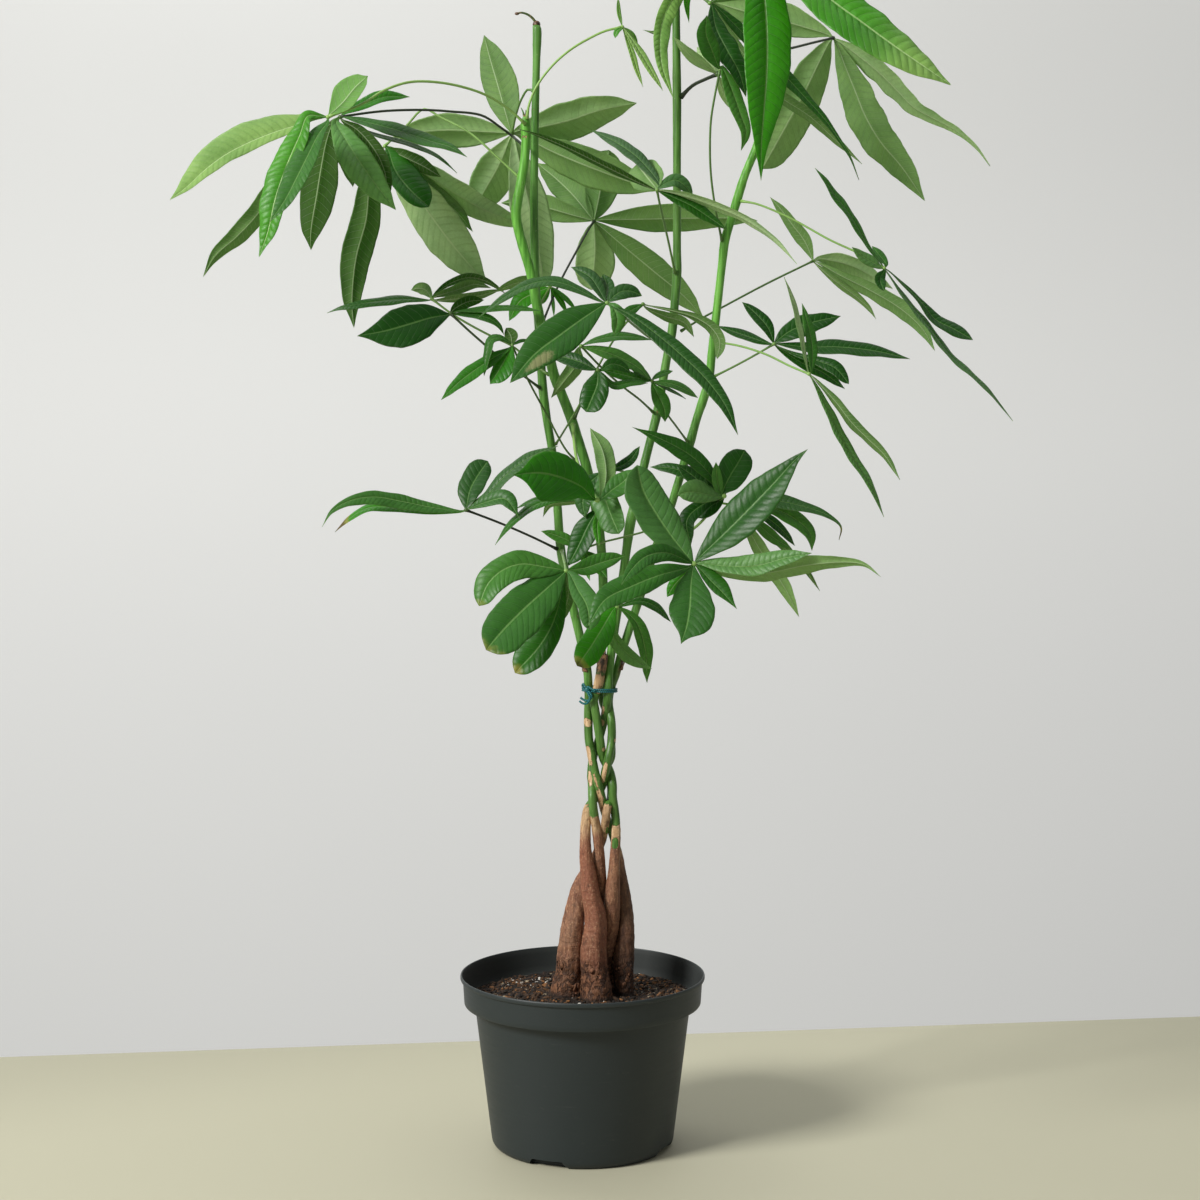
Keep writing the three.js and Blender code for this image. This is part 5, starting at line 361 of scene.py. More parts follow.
        ([[136.1, -21.3, 1088.9], [140.7, -10, 1078.4], [146.2, 0, 1069.7], [151.8, 10, 1060.8]], 5, 5, -2, 3.6, 0.5, "U", 0.9, 0.0, 0.5, "", 0.08, 0, None, 0, 0),
    ]),
    ("leaf_inner_drooping", 1.07, [135.9, -46.5, 1093.8], [[140.5, -8, 929.2], [136.1, -14.5, 947.7], [131.7, -21, 969.1], [128.3, -27.4, 993.2], [126.9, -33.9, 1017.2], [127.6, -38.6, 1046.1], [131.2, -43.4, 1069.9]], 0.25, 0.25, [
        ([[136.8, -47, 1097.6], [147.6, -50, 1074], [155.4, -52.8, 1051.5], [161.3, -55.2, 1032.8], [156.3, -57.4, 1014.2]], 7.9, 8.8, 2.1, -5.1, 0.4, "T", 0.65, 0.0, 0.5, "", 0.08, 0, None, 0.0, 0),
        ([[133.8, -49.5, 1097.3], [127.3, -61, 1111.3], [120.9, -73.2, 1126], [121.3, -85.4, 1141.5]], 10.8, 7.9, 2.6, -4.6, 0.5, "T", 0.3, 0.0, 0.5, "", 0.08, 0, None, 0.0, 0),
    ]),
    ("leaf_upper_hub", 1.33, [127, -18.1, 1162.5], [[98.1, 8, 1186.9], [107.7, -1.8, 1179.6], [117.4, -11.6, 1170.3]], 0.2, 0.0, [
        ([[128, -18.9, 1161.5], [132.5, -31.9, 1136.3], [142.9, -41.5, 1113.8], [154.5, -47.5, 1091.7], [161.4, -50, 1067.2]], 11.9, 11.9, 3.7, -7.5, 0.5, "T", 0.1, 0.0, 0.5, "", 0.08, 0, None, 0.0, 0),
        ([[130.1, -16, 1161.9], [141.6, -4.9, 1150.7], [153.2, 6.3, 1139.5], [164.9, 16.9, 1129]], 6.9, 6.9, -3.9, 6.1, 0.5, "U", 0.95, 0.0, 0.5, "", 0.08, 0, None, 0, 0),
        ([[131.1, -17.1, 1160.7], [162.4, -9.6, 1132.5], [189.7, -5.7, 1106.5], [218, -4.6, 1077.1], [243, -6.2, 1049.3], [258, -8.8, 1028.3], [267.8, -11.5, 1012.3], [276.6, -16, 989.2]], 8.4, 8.4, 4.5, -7.2, 0.62, "T", 0.2, 0.0, 0.5, "whip", 0.08, 0, None, 0.0, 0),
        ([[130.1, -15.7, 1159], [163.5, 7.8, 1115], [194.7, 21.1, 1079.9], [230.9, 28.4, 1056.7], [256.7, 31.1, 1033.9], [284.3, 30.9, 1008.8]], 4.5, 4.5, -10.3, 11.7, 0.6, "U", 0.4, 0.0, 0.5, "", 0.08, 0, None, 0, 0),
        ([[130.1, -16, 1164.8], [152.7, -0.9, 1179.7], [183.7, 17.3, 1190.3], [220.5, 37.9, 1191.5]], 13.9, 13.9, -6.9, 11.3, 0.5, "U", 0.5, 0.0, 0.5, "", 0.08, 0, None, 0, 0),
    ]),
    ("leaf_crown_front", 1.53, [170.1, -145.6, 1207.9], [[185.8, -26, 1199.2], [179.8, -70.2, 1203.6], [173.9, -115.7, 1205.5]], 0.9, 0.0, [
        ([[169, -149.1, 1201.8], [168.9, -167.1, 1166.8], [171.1, -180.1, 1137.4], [172.2, -193.7, 1099.2], [171, -202.2, 1066.4], [168, -207.9, 1029.4], [166.3, -209.5, 1002], [166.5, -208.6, 973.8]], 23.5, 22.5, 5.1, -12.1, 0.45, "T", 0.15, 0.42, 0.1, "drip", 0.34, 0, None, 0, 0),
        ([[175.5, -149.5, 1203.5], [204, -171.7, 1168.8], [235.2, -188.7, 1138], [257.6, -197.1, 1120.5], [284.6, -204.2, 1099.6], [312, -208, 1080.2], [340.6, -208.6, 1061.1]], 19.7, 24.4, 9.3, -19.2, 0.52, "T", 0.7, 0.6, 0.3, "", 1.0, 0, (0.83, 0.25, 0.0), 0, 0.92),
        ([[175.7, -145.1, 1209.8], [205.9, -142.3, 1221.3], [243.8, -139, 1223.7], [286.7, -135.2, 1213.3], [325.1, -131.6, 1197.3]], 16.9, 16.9, 8.1, -13.5, 0.5, "T", 0.7, 0.7, 0.5, "", 0.16, 0, None, 0, 0),
        ([[174, -142.4, 1213.9], [192.9, -125.5, 1247.4], [219.7, -107.5, 1278.7], [252.6, -89.6, 1303.8]], 16, 16, 7.7, -12.8, 0.5, "T", 0.7, 0.7, 0.5, "", 0.16, 0, None, 0, 0),
        ([[165.5, -143.3, 1211.9], [145.4, -131.4, 1237.1], [112.8, -117.5, 1255.4], [77.1, -103.6, 1265.5]], 16, 16, -12.8, 7.7, 0.5, "T", 0.7, 0.7, 0.5, "", 0.16, 0, None, 0, 0),
    ]),
    ("leaf_right_back", 1.27, [261.1, 111.4, 1145.3], [[189.1, -14, 1115.2], [212.2, 28.9, 1124.6], [236, 71.8, 1135.1]], 0.05, 1, [
        ([[257, 112, 1148.4], [232.1, 114.8, 1157], [206.2, 117.7, 1164.6], [169.7, 121.8, 1174.4], [137.4, 125.4, 1184.2]], 14.6, 17.7, 11.9, -8.6, 0.5, "U", 0.65, 0.0, 0.5, "", 0.08, 0, None, 0.0, 0),
        ([[258, 111.4, 1142.2], [247.7, 111.4, 1122.7], [236.4, 111.4, 1099], [222, 111.4, 1071.2], [206.5, 111.4, 1043.3], [187.8, 111.4, 1010.1]], 21.9, 23, 15, -8.3, 0.5, "U", 0.65, 0.0, 0.5, "blunt", 0.08, 0, None, 0.0, 0),
        ([[264.2, 110.8, 1141.1], [273.6, 108.1, 1117.1], [284, 105.1, 1091.1], [295.4, 101.9, 1063], [310.9, 98.6, 1036.9], [332.6, 95, 1010.9], [356.4, 90.4, 975.5]], 17.7, 17.7, -6.8, 12.5, 0.47, "U", 0.4, 0.0, 0.8, "", 0.08, 0, None, 0.0, 0),
        ([[268.3, 109.5, 1140.9], [290.7, 102.9, 1123.7], [309, 97.3, 1107.7], [326.2, 91.6, 1089.6], [343.3, 85.8, 1071.6], [364.4, 80, 1058.8], [386.5, 74, 1046], [405.5, 68.1, 1029.1], [419.3, 62.4, 1009.3]], 9.4, 9.4, -8.3, 11.3, 0.6, "U", 0.75, 0.0, 0.7, "whip", 0.08, 0, None, 0.0, 0),
    ]),
    ("leaf_crown_back", 1.33, [59.9, 139.4, 1342.7], [[93, 14, 1288], [81.2, 65.2, 1307.7], [69.8, 109.7, 1328.5]], 0.6, 0.0, [
        ([[57.8, 140.2, 1344.9], [33.8, 148.1, 1359.8], [2.2, 157.1, 1366.8], [-32.8, 167.4, 1358.7]], 15.7, 15.7, -12.7, 7.7, 0.5, "T", 0.5, 0.0, 0.5, "", 0.08, 0, None, 0, 0),
        ([[59.9, 142, 1348.3], [51.7, 158.3, 1382.5], [37.1, 174.3, 1413.9], [18, 188.4, 1437.8]], 15.7, 15.7, -10.6, 5.6, 0.5, "T", 0.5, 0.0, 0.5, "", 0.08, 0, None, 0, 0),
        ([[63.1, 144.3, 1348.8], [76.2, 167.6, 1379.4], [90.4, 189.7, 1408], [99.5, 209.4, 1435.4]], 13.6, 13.6, 4.9, -9.2, 0.5, "T", 0.5, 0.0, 0.5, "", 0.08, 0, None, 0, 0),
        ([[55.7, 141, 1340.9], [30.6, 151.1, 1329.6], [7.4, 162.9, 1308.1], [-7.5, 174.4, 1281.1]], 14.7, 14.7, 12, -7.3, 0.5, "U", 0.5, 0.0, 0.5, "", 0.08, 0, None, 0, 0),
        ([[63.1, 141.6, 1341.1], [76.1, 160, 1315.9], [81.9, 177.2, 1290], [80.2, 195.4, 1261.8]], 13.6, 13.6, -3.2, 7.6, 0.5, "U", 0.5, 0.0, 0.5, "", 0.08, 0, None, 0, 0),
    ]),
    ("leaf_crown_right", 1.33, [153.3, 25.2, 1334.2], [[96.9, 12, 1302.2], [115.9, 15.3, 1315.6], [136.1, 20.2, 1328.3]], 0.7, 0.0, [
        ([[156.3, 25.7, 1336.3], [183.6, 30, 1351.9], [217, 34.6, 1358.8], [249.6, 39.2, 1351.9]], 14, 14, 7, -11.4, 0.5, "T", 0.6, 0.4, 0.5, "", 0.13, 0, None, 0, 0),
        ([[156.4, 27.4, 1332.7], [184.7, 44.2, 1328.3], [211.4, 62.3, 1315.1], [231.4, 81.2, 1292.8]], 14, 14, 7, -11.4, 0.5, "T", 0.6, 0.4, 0.5, "", 0.13, 0, None, 0, 0),
        ([[154.2, 24.5, 1338], [165.9, 19.9, 1362.4], [182.4, 15.6, 1381.9], [203.9, 11.2, 1396.4]], 14, 14, 6.6, -11.1, 0.5, "T", 0.6, 0.4, 0.5, "", 0.13, 0, None, 0, 0),
        ([[151.3, 26.3, 1338.4], [140.5, 33.3, 1365.3], [134.7, 40.2, 1393.4], [134.9, 46.2, 1418.3]], 12, 12, 2.9, -6.7, 0.5, "T", 0.6, 0.4, 0.5, "", 0.13, 0, None, 0, 0),
    ]),
    ("shoot_top", 1.53, [93.7, 10, 1343.7], [[93.8, 10, 1319.4], [93.7, 10, 1331.1]], 0.9, 0.0, [
        ([[93.6, 8.9, 1345.4], [85.4, -0.6, 1358.9], [73.3, -9.6, 1368.4]], 4, 4, -3.5, 2.3, 0.5, "T", 0.8, 1, 0.5, "", 0.2, 0, None, 0, 0),
        ([[94.7, 10.7, 1345.8], [101.8, 16.3, 1364.5], [105.9, 21.2, 1381.2]], 4, 4, 1.5, -2.8, 0.5, "T", 0.8, 1, 0.5, "", 0.2, 0, None, 0, 0),
        ([[92.7, 9.5, 1345.5], [91.5, 5.6, 1362.2], [93.3, 1.6, 1378.7]], 4, 4, -2.6, 1.3, 0.5, "T", 0.8, 1, 0.5, "", 0.2, 0, None, 0, 0),
    ]),
    ("leaf_left_low", 1.12, [-154.2, 39.6, 872.7], [[-33.5, -5, 795.3], [-47.8, 3.2, 805.3], [-71.4, 13.2, 824.6], [-93, 19.8, 834.8], [-112.6, 26.3, 845], [-133.4, 32.9, 857.3]], 0.5, 0.1, [
        ([[-156.2, 38.8, 871.7], [-181.2, 30.6, 872.5], [-206, 22.4, 870.2], [-230.7, 14.1, 866], [-245.4, 9.1, 862.8], [-258.1, 4.6, 857.7]], 5.6, 4.6, -11.8, 10.7, 0.45, "T", 0.2, 0.0, 0.5, "", 0.08, 0, None, 0.3, 0),
        ([[-155.4, 42.5, 874.9], [-161.3, 53.9, 882.4], [-169.1, 63.6, 884.7], [-178.3, 74.6, 883]], 6.1, 6.1, 5.5, -3.6, 0.5, "U", 0.35, 0.0, 0.5, "", 0.08, 0, None, 0, 0),
        ([[-153.2, 40.3, 875.8], [-138, 44.9, 888.2], [-117.7, 49.9, 895.5], [-98.4, 54.5, 891.6], [-79.1, 60, 878.5]], 3.6, 3.6, -7.9, 9.1, 0.5, "U", 0.15, 0.0, 0.5, "", 0.08, 0, None, 0, 0),
        ([[-152.1, 38.9, 874.8], [-130.2, 33.9, 881.7], [-109.5, 29.3, 887.7], [-93.1, 25.6, 883.5]], 5.1, 5.1, -6.8, 8.5, 0.5, "U", 0.4, 0.0, 0.5, "", 0.08, 0, None, 0.0, 0),
        ([[-152.1, 38.5, 871.7], [-124.7, 25.7, 873.4], [-103.8, 15.7, 876.1], [-81, 4.6, 881.8]], 4.1, 4.1, -7.6, 8.9, 0.5, "U", 0.3, 0.0, 0.5, "", 0.08, 0, None, 0, 0),
    ]),
    ("leaf_left_dark", 1.17, [-131.2, -21.8, 856.1], [[-42.8, 3, 782.1], [-57.6, -8.6, 793.3], [-77.3, -21.8, 808.3], [-98.1, -25.1, 826.2], [-114.1, -23.4, 840.2]], 0.15, 0.8, [
        ([[-135.1, -22.9, 855.1], [-151.8, -27.9, 852], [-171.3, -34, 845.9], [-195.7, -41.5, 838.9], [-222.7, -49.8, 833.8]], 22, 20, -17.4, 9.5, 0.43, "T", 0.0, 0.0, 0.4, "drip", 0.08, 0, None, 0.0, 0),
        ([[-130.3, -19.4, 859.1], [-122.6, -12, 865.3], [-113, -4.1, 869.5], [-99.3, 6.2, 870.8]], 6, 6, -3.5, 5.4, 0.5, "U", 0.0, 0.0, 0.5, "", 0.08, 0, None, 0.0, 0),
        ([[-127.1, -22.1, 858.1], [-97, -24.4, 861], [-66.9, -26.7, 861.9], [-39.9, -28.8, 858.9]], 3.5, 3.5, 7.7, -8.9, 0.5, "T", 0.45, 0.0, 0.5, "", 0.08, 0, None, 0, 0),
        ([[-126.1, -23.1, 856.1], [-106.8, -28.3, 855], [-91.7, -32.6, 850.9], [-81.6, -36.1, 842.9], [-77.5, -38.6, 835]], 4, 4, 6.3, -7.6, 0.5, "T", 0.3, 0.0, 0.5, "", 0.08, 0, None, 0, 0),
    ]),
    ("leaf_left_small", 1.02, [-69.1, -52.3, 824.9], [[-5.2, -16, 707.9], [-16.2, -22.6, 720.2], [-35, -35.8, 755.5], [-54.5, -45.7, 792.4]], 0.3, 0.4, [
        ([[-70.1, -53.3, 822.9], [-85.6, -62.1, 813], [-104.8, -73.2, 800.3], [-121, -83.1, 787.6], [-137.1, -94.3, 771.1]], 7.4, 7.4, -6.5, 4.1, 0.5, "T", 0.3, 0.2, 0.5, "", 0.11, 0, None, 0.0, 0),
        ([[-71.1, -53.3, 826.9], [-80.8, -57.2, 831.8], [-89.5, -60.4, 829.8], [-93.3, -65.9, 815], [-96, -73.3, 794.4]], 4.5, 4.5, -7.3, 5.8, 0.5, "T", 0.3, 0.0, 0.5, "", 0.08, 0, None, 0.05, 0),
        ([[-70.1, -53.8, 822], [-74.9, -59, 812.1], [-81.5, -65.5, 800.3], [-90.1, -73.3, 786.6]], 12.9, 7.9, -9.2, 3.4, 0.5, "T", 0.2, 0.25, 0.5, "", 0.12, 0, None, 0.0, 0),
        ([[-69.2, -49.3, 826.9], [-70.6, -38.6, 834], [-76, -24.3, 842.1]], 6.9, 6.9, 4.5, -2.3, 0.5, "U", 0.1, 0.0, 0.5, "", 0.08, 0, None, 0, 0),
        ([[-67.2, -50.6, 825.9], [-61.4, -45.3, 828.9], [-52.7, -38.3, 830]], 2, 2, 4.2, -4.9, 0.5, "T", 0.1, 0.0, 0.5, "", 0.08, 0, None, 0, 0),
    ]),
    ("leaf_centre_front", 1.17, [24.6, -170, 863.1], [[86.9, 5, 821.5], [67.8, -37, 832], [47.1, -100, 846.6], [32.3, -149, 858]], 0.35, 0.1, [
        ([[22.7, -171.1, 862.1], [3.9, -183, 849.7], [-19.3, -198.3, 832.7], [-42.2, -213.9, 815], [-64.7, -233, 788.4]], 18.8, 18.8, -15, 9, 0.45, "T", 0.2, 0.0, 0.15, "", 0.04, 0, (0.72, 0.55, 1.0), 0.05, 0),
        ([[20.8, -169.4, 864], [3.9, -167.7, 872.5], [-15, -168.1, 880.9], [-33.7, -170.5, 883.6], [-52.4, -175, 878.8], [-71, -182.3, 868.3], [-95.6, -198, 848.5]], 5.2, 5.2, -9.8, 8.1, 0.4, "T", 0.25, 0.0, 0.5, "", 0.08, 0, None, 0.3, 0),
        ([[21.8, -167.3, 866.9], [16.1, -160.7, 877.4], [8.5, -153.4, 888], [-9.6, -142, 897.9]], 5.7, 7.5, -5.1, 4.1, 0.5, "T", 0.1, 0.0, 0.5, "", 0.08, 0, None, 0.35, 0),
        ([[23.7, -164, 867.9], [24.6, -149.9, 879.7], [20.9, -135, 891.5]], 7.5, 7.5, 2, -4.4, 0.5, "T", 0.1, 0.0, 0.5, "", 0.08, 0, None, 0, 0),
        ([[27.4, -168.5, 865.9], [36.9, -164, 873.6], [46.4, -160.5, 874.6], [57.8, -156, 870.1]], 7.5, 7.5, 4.1, -6.5, 0.5, "T", 0.15, 0.0, 0.5, "", 0.08, 0, None, 0.25, 0),
        ([[29.3, -172.7, 860.2], [34, -178.8, 848.9], [31.1, -186.8, 832.9]], 8.5, 5.7, 2.2, -3.4, 0.5, "T", 0.6, 0.0, 0.5, "", 0.08, 0, None, 0.15, 0),
        ([[27.4, -171.5, 861.2], [46.1, -180.5, 851.6], [69.3, -193, 834.7], [92.3, -206.2, 815.1], [115.1, -220.2, 792.9], [133, -233.8, 768.2], [144.3, -247, 741]], 8.9, 8.9, 4.7, -7.6, 0.55, "T", 0.15, 0.0, 0.2, "", 0.08, 0, None, 0.05, 0),
    ]),
    ("leaf_centre_grey", 1.02, [59.6, -103.6, 863.9], [[-26.7, 2, 725.5], [-11.9, -40.9, 749.6], [1.2, -57.4, 772.7], [16, -67.3, 803.2], [34.6, -80.5, 834.4], [48.2, -92.1, 851.6]], 0.3, 0.3, [
        ([[62.5, -103.9, 862.9], [85.7, -106.5, 858.1], [109.8, -109.2, 851.3], [126.2, -111.3, 840.7], [133.9, -113, 827.2], [131, -114.8, 810.8]], 5.8, 5.8, -5.6, 7.4, 0.68, "U", 0.25, 0.0, 0.5, "club", 0.08, 0, None, 0.0, 0),
        ([[57.7, -104.7, 862.9], [47, -111, 857], [36.3, -117.6, 850.1]], 4.8, 4.8, -4.5, 2.9, 0.5, "T", 0.35, 0.0, 0.5, "", 0.08, 0, None, 0, 0),
        ([[61.6, -102.4, 861], [81.2, -95.1, 852.5], [100.9, -88.1, 845.9], [109.9, -82.6, 832.4]], 4.8, 4.8, -2.9, 4.5, 0.6, "U", 0.4, 0.0, 0.5, "", 0.08, 0, None, 0, 0),
    ]),
    ("leaf_centre_small", 1.12, [-33, 28.5, 884.6], [[-42.8, 12, 865.9], [-38, 21.9, 875.3]], 0.6, 0.0, [
        ([[-35, 28.1, 883.6], [-48.2, 25.3, 878.4], [-63.4, 21.9, 870.2], [-74.5, 17.3, 849.9]], 9.2, 8.2, -7.8, 4.4, 0.5, "T", 0.5, 0.55, 0.5, "", 0.15, 0, None, 0, 0),
        ([[-35.1, 29.3, 886.6], [-53.6, 34.6, 890.9], [-72.1, 39.9, 888], [-89.8, 45.3, 880]], 5.1, 5.1, 8.4, -6.8, 0.5, "U", 0.5, 0.0, 0.5, "", 0.08, 0, None, 0, 0),
        ([[-34.1, 29.8, 882.6], [-38.2, 34.2, 876.7], [-40.4, 39.7, 867.7]], 4.1, 4.1, -3.1, 1.8, 0.5, "T", 0.55, 0.5, 0.5, "", 0.14, 0, None, 0, 0),
        ([[-32, 28.9, 882.6], [-30, 31.3, 869.5], [-29.1, 34.1, 854.3]], 1.8, 1.8, -3.1, 2.6, 0.5, "T", 0.7, 0.5, 0.5, "", 0.14, 0, None, 0, 0),
        ([[-31, 29.3, 882.6], [-22.9, 32.9, 871.5], [-15.8, 36.9, 858.4]], 3.1, 3.1, 4.3, -5.2, 0.5, "T", 0.6, 0.5, 0.5, "", 0.14, 0, None, 0, 0),
        ([[-30, 30, 883.6], [-17.8, 37.2, 873.7], [-5.6, 45.3, 860.7]], 2.7, 2.7, 5.1, -5.9, 0.5, "T", 0.6, 0.5, 0.5, "", 0.14, 0, None, 0, 0),
    ]),
    ("leaf_centre_shaded", 1.07, [-0.4, -102.7, 823.5], [[71.8, 5, 757.8], [58.2, -19.8, 770.3], [39.8, -49.6, 784.5], [16, -82.8, 806.1]], 0.3, 0.4, [
        ([[1.5, -101.9, 824.4], [18, -94.9, 830.3], [42.4, -85.2, 833.3], [69, -74.7, 829.6]], 4.4, 4.4, 6.9, -8.3, 0.5, "T", 0.4, 0.0, 0.5, "", 0.08, 0, None, 0.3, 0),
        ([[2.5, -102.3, 822.5], [22.9, -99.5, 817.7], [42.3, -96.7, 810], [57, -94.4, 801.2], [65.8, -92.7, 791.5]], 6.8, 6.8, 3.8, -6, 0.5, "T", 0.7, 0.0, 0.5, "", 0.08, 0, None, 0.05, 0),
        ([[-2.4, -95.6, 820.6], [-5.6, -66.7, 805.2], [-16.9, -40.6, 790.4], [-31.3, -18.7, 772.3]], 7.8, 7.8, 5.9, -3.4, 0.5, "U", 0.4, 0.0, 0.5, "", 0.08, 0, None, 0.0, 0),
    ]),
    ("leaf_centre_low", 1.07, [16.1, -120.9, 800.3], [[-7.2, -15, 752.1], [1.1, -48.5, 770.6], [11.2, -93.7, 790.6]], 0.2, 0.5, [
        ([[13.2, -119.2, 801.2], [-1.4, -110.2, 808], [-17.9, -100.6, 812.8], [-31.7, -92.9, 814.8]], 7.7, 6.7, -6.7, 3.8, 0.5, "T", 0.0, 0.0, 0.5, "", 0.08, 0, None, 0.05, 0),
        ([[16.1, -121.7, 798.4], [15.1, -126.6, 785.9], [10.3, -131.9, 773.5], [4.6, -137.7, 760.2]], 13.5, 12.5, -7.7, 3.2, 0.42, "T", 0.15, 0.0, 0.5, "blunt", 0.08, 0, None, 0.0, 0),
        ([[19, -120, 800.3], [28.6, -116.5, 806], [38.3, -113.4, 804.1], [48, -109.7, 797.4]], 5.8, 5.8, 3.3, -5.2, 0.5, "T", 0.25, 0.0, 0.5, "", 0.08, 0, None, 0.0, 0),
        ([[19, -119.6, 797.4], [30.6, -114.5, 785.8], [47.1, -109.3, 787.7], [64.6, -103.9, 787.7]], 3.9, 3.9, 6.1, -7.3, 0.5, "T", 0.35, 0.0, 0.5, "", 0.08, 0, None, 0.0, 0),
    ]),
    ("leaf_centre_right", 1.02, [68.8, -87.6, 789.6], [[106.1, -3, 728.7], [94, -34.2, 744.5], [83.3, -60.3, 758.9], [75, -76.4, 775.8]], 0.3, 0.3, [
        ([[69.8, -86.6, 791.5], [77.7, -82.2, 796.4], [89.6, -76.4, 799.3]], 3.1, 3.1, 4.5, -5.5, 0.5, "T", 0.3, 0.0, 0.5, "", 0.08, 0, None, 0, 0),
        ([[71.7, -88.1, 788.6], [88.3, -90.5, 786.7], [101.9, -92.6, 780.8], [113.6, -94.6, 773.1]], 4.4, 4.4, 4.5, -5.9, 0.5, "T", 0.6, 0.0, 0.5, "", 0.08, 0, None, 0.15, 0),
        ([[71.8, -86.1, 787.6], [84.7, -79.8, 781.7], [94.7, -74.9, 776.8], [102.7, -70.8, 771.8]], 1.6, 1.6, 4.4, -4.9, 0.5, "T", 0.2, 0.0, 0.5, "", 0.08, 0, None, 0, 0),
        ([[69.8, -88.9, 785.7], [74.6, -92.5, 776], [80.4, -97.1, 763.4], [81.3, -101.6, 749.9]], 7.8, 7.8, 2.3, -4.8, 0.5, "T", 0.55, 0.0, 0.5, "", 0.08, 0, None, 0.0, 0),
        ([[66.9, -88.1, 789.6], [49.2, -92.9, 793.5], [32.6, -97.4, 797.4], [19, -101.1, 800.3]], 4.9, 4.9, -6.9, 5.3, 0.5, "T", 0.4, 0.0, 0.5, "", 0.08, 0, None, 0, 0),
        ([[66.9, -86.8, 791.5], [58.1, -83.5, 798.3], [46.4, -79.4, 805.2]], 4.4, 4.4, -7.2, 5.8, 0.5, "T", 0.4, 0.0, 0.5, "", 0.08, 0, None, 0, 0),
    ]),
    ("leaf_right_dark", 1.07, [190.8, -44.2, 826], [[132.2, -3, 793.2], [153.6, -17.8, 804.3], [174.8, -31.1, 816.2]], 0.3, 0.15, [
        ([[189.9, -43, 829], [185.2, -37.6, 841.9], [173.6, -30.4, 855.9], [160, -23.2, 868]], 7, 7, -5.9, 3.7, 0.5, "T", 0.0, 0.0, 0.5, "", 0.08, 0, None, 0.0, 0),
        ([[188, -42.4, 826], [172.7, -32.2, 831.1], [153.4, -19.2, 838.2], [135.8, -7.6, 844.4]], 5, 5, -8.2, 6.6, 0.5, "T", 0, 0.0, 0.5, "", 0.08, 0, None, 0, 0),
        ([[193.8, -43.4, 829], [206.9, -40.3, 838.9], [227.1, -36.3, 846.9], [258.4, -30.2, 853.9]], 9.9, 10.9, 5.2, -9.1, 0.42, "T", 0.0, 0.0, 0.5, "", 0.08, 0, None, 0.0, 0),
        ([[194.7, -44.9, 826], [221.2, -49, 823], [255.4, -54.4, 822.9], [289.5, -59.8, 819], [323.5, -65.2, 811.1]], 7.4, 7.4, 8.1, -10.5, 0.5, "T", 0.0, 0.0, 0.5, "", 0.08, 0, None, 0.05, 0),
        ([[193.7, -45.7, 824], [211, -53.6, 816], [230.1, -62, 810.1], [249.1, -70.7, 802.2], [262.2, -79.2, 786.6]], 7, 7, 3.9, -6.1, 0.5, "T", 0, 0.0, 0.5, "club", 0.08, 0, None, 0, 0),
        ([[193.8, -43.9, 823], [217, -41.6, 808.2], [239.1, -39.6, 798.3], [262.4, -37.2, 781.4]], 7, 6, 3.9, -5.4, 0.6, "T", 0.1, 0.0, 0.5, "", 0.08, 0, None, 0, 0),
    ]),
    ("leaf_right_narrow", 1.07, [218.1, -136.3, 796.5], [[136, -6, 828.4], [157.7, -32.4, 824.1], [180.5, -65.4, 816], [202, -108.3, 804.1]], 0.6, 0.0, [
        ([[217.2, -135.9, 798.4], [212.7, -130.1, 824.1], [208.1, -124.8, 848.1], [202.6, -119.9, 870.2], [195.1, -115.3, 889.4]], 3.1, 3.1, -5, 5.9, 0.5, "U", 1.0, 0.0, 0.5, "", 0.08, 0, None, 0.0, 0),
        ([[220.1, -135, 798.4], [222, -122, 824.2], [218.8, -112.3, 843.5], [213.7, -101.3, 864.9]], 5.7, 5.7, -4.8, 2.9, 0.45, "T", 0.4, 0.0, 0.5, "", 0.08, 0, None, 0.0, 0),
        ([[220, -137.6, 793.6], [233.5, -148.6, 767], [248.8, -162.1, 734.1], [262.2, -172.2, 710.7], [272, -179.2, 695], [285, -192.3, 662.6]], 5.3, 5.3, 7.5, -9.2, 0.45, "T", 0.7, 0.0, 0.5, "", 0.08, 0.0, None, 0.45, 0),
        ([[221.9, -137.1, 793.6], [242.7, -141.9, 771.7], [258.8, -146, 750.8], [273.8, -149.4, 735.6], [289.8, -153, 719.5], [303.9, -157.3, 695.9]], 4.3, 4.3, -8.9, 10.3, 0.5, "U", 0.3, 0.0, 0.5, "", 0.08, 0, None, 0.0, 0),
    ]),
    ("leaf_right_far", 1.07, [242.8, 119.6, 914.8], [[100.3, 14, 839.7], [124.3, 30.5, 854.2], [142.2, 43.7, 863.7], [190.8, 81.7, 889.4]], 0.25, 0.15, [
        ([[241.7, 120.3, 919], [234.5, 123.5, 935.9], [222, 127.1, 952.9], [208.4, 130.9, 970.9], [197.9, 133.6, 982.6]], 7.4, 6.3, 8, -6.6, 0.35, "U", 0.3, 0.0, 0.5, "", 0.08, 0, None, 0.0, 0),
        ([[247.1, 121, 917], [266.6, 126.8, 915.1], [288.5, 133.5, 909.1], [310.7, 140.8, 897.8], [330.7, 147.6, 886.4]], 9.5, 8.4, -5, 7.3, 0.4, "U", 1.0, 0.0, 0.5, "", 0.08, 0, None, 0.0, 0),
        ([[246.9, 118.9, 913.7], [270.8, 114.1, 900], [302, 108, 884.1], [333, 101.7, 865.1], [355.6, 96.4, 844.1], [368.9, 91.6, 820.1]], 8.4, 8.4, -4.6, 7.3, 0.6, "U", 0.45, 0.0, 0.5, "", 0.08, 0, None, 0.0, 0),
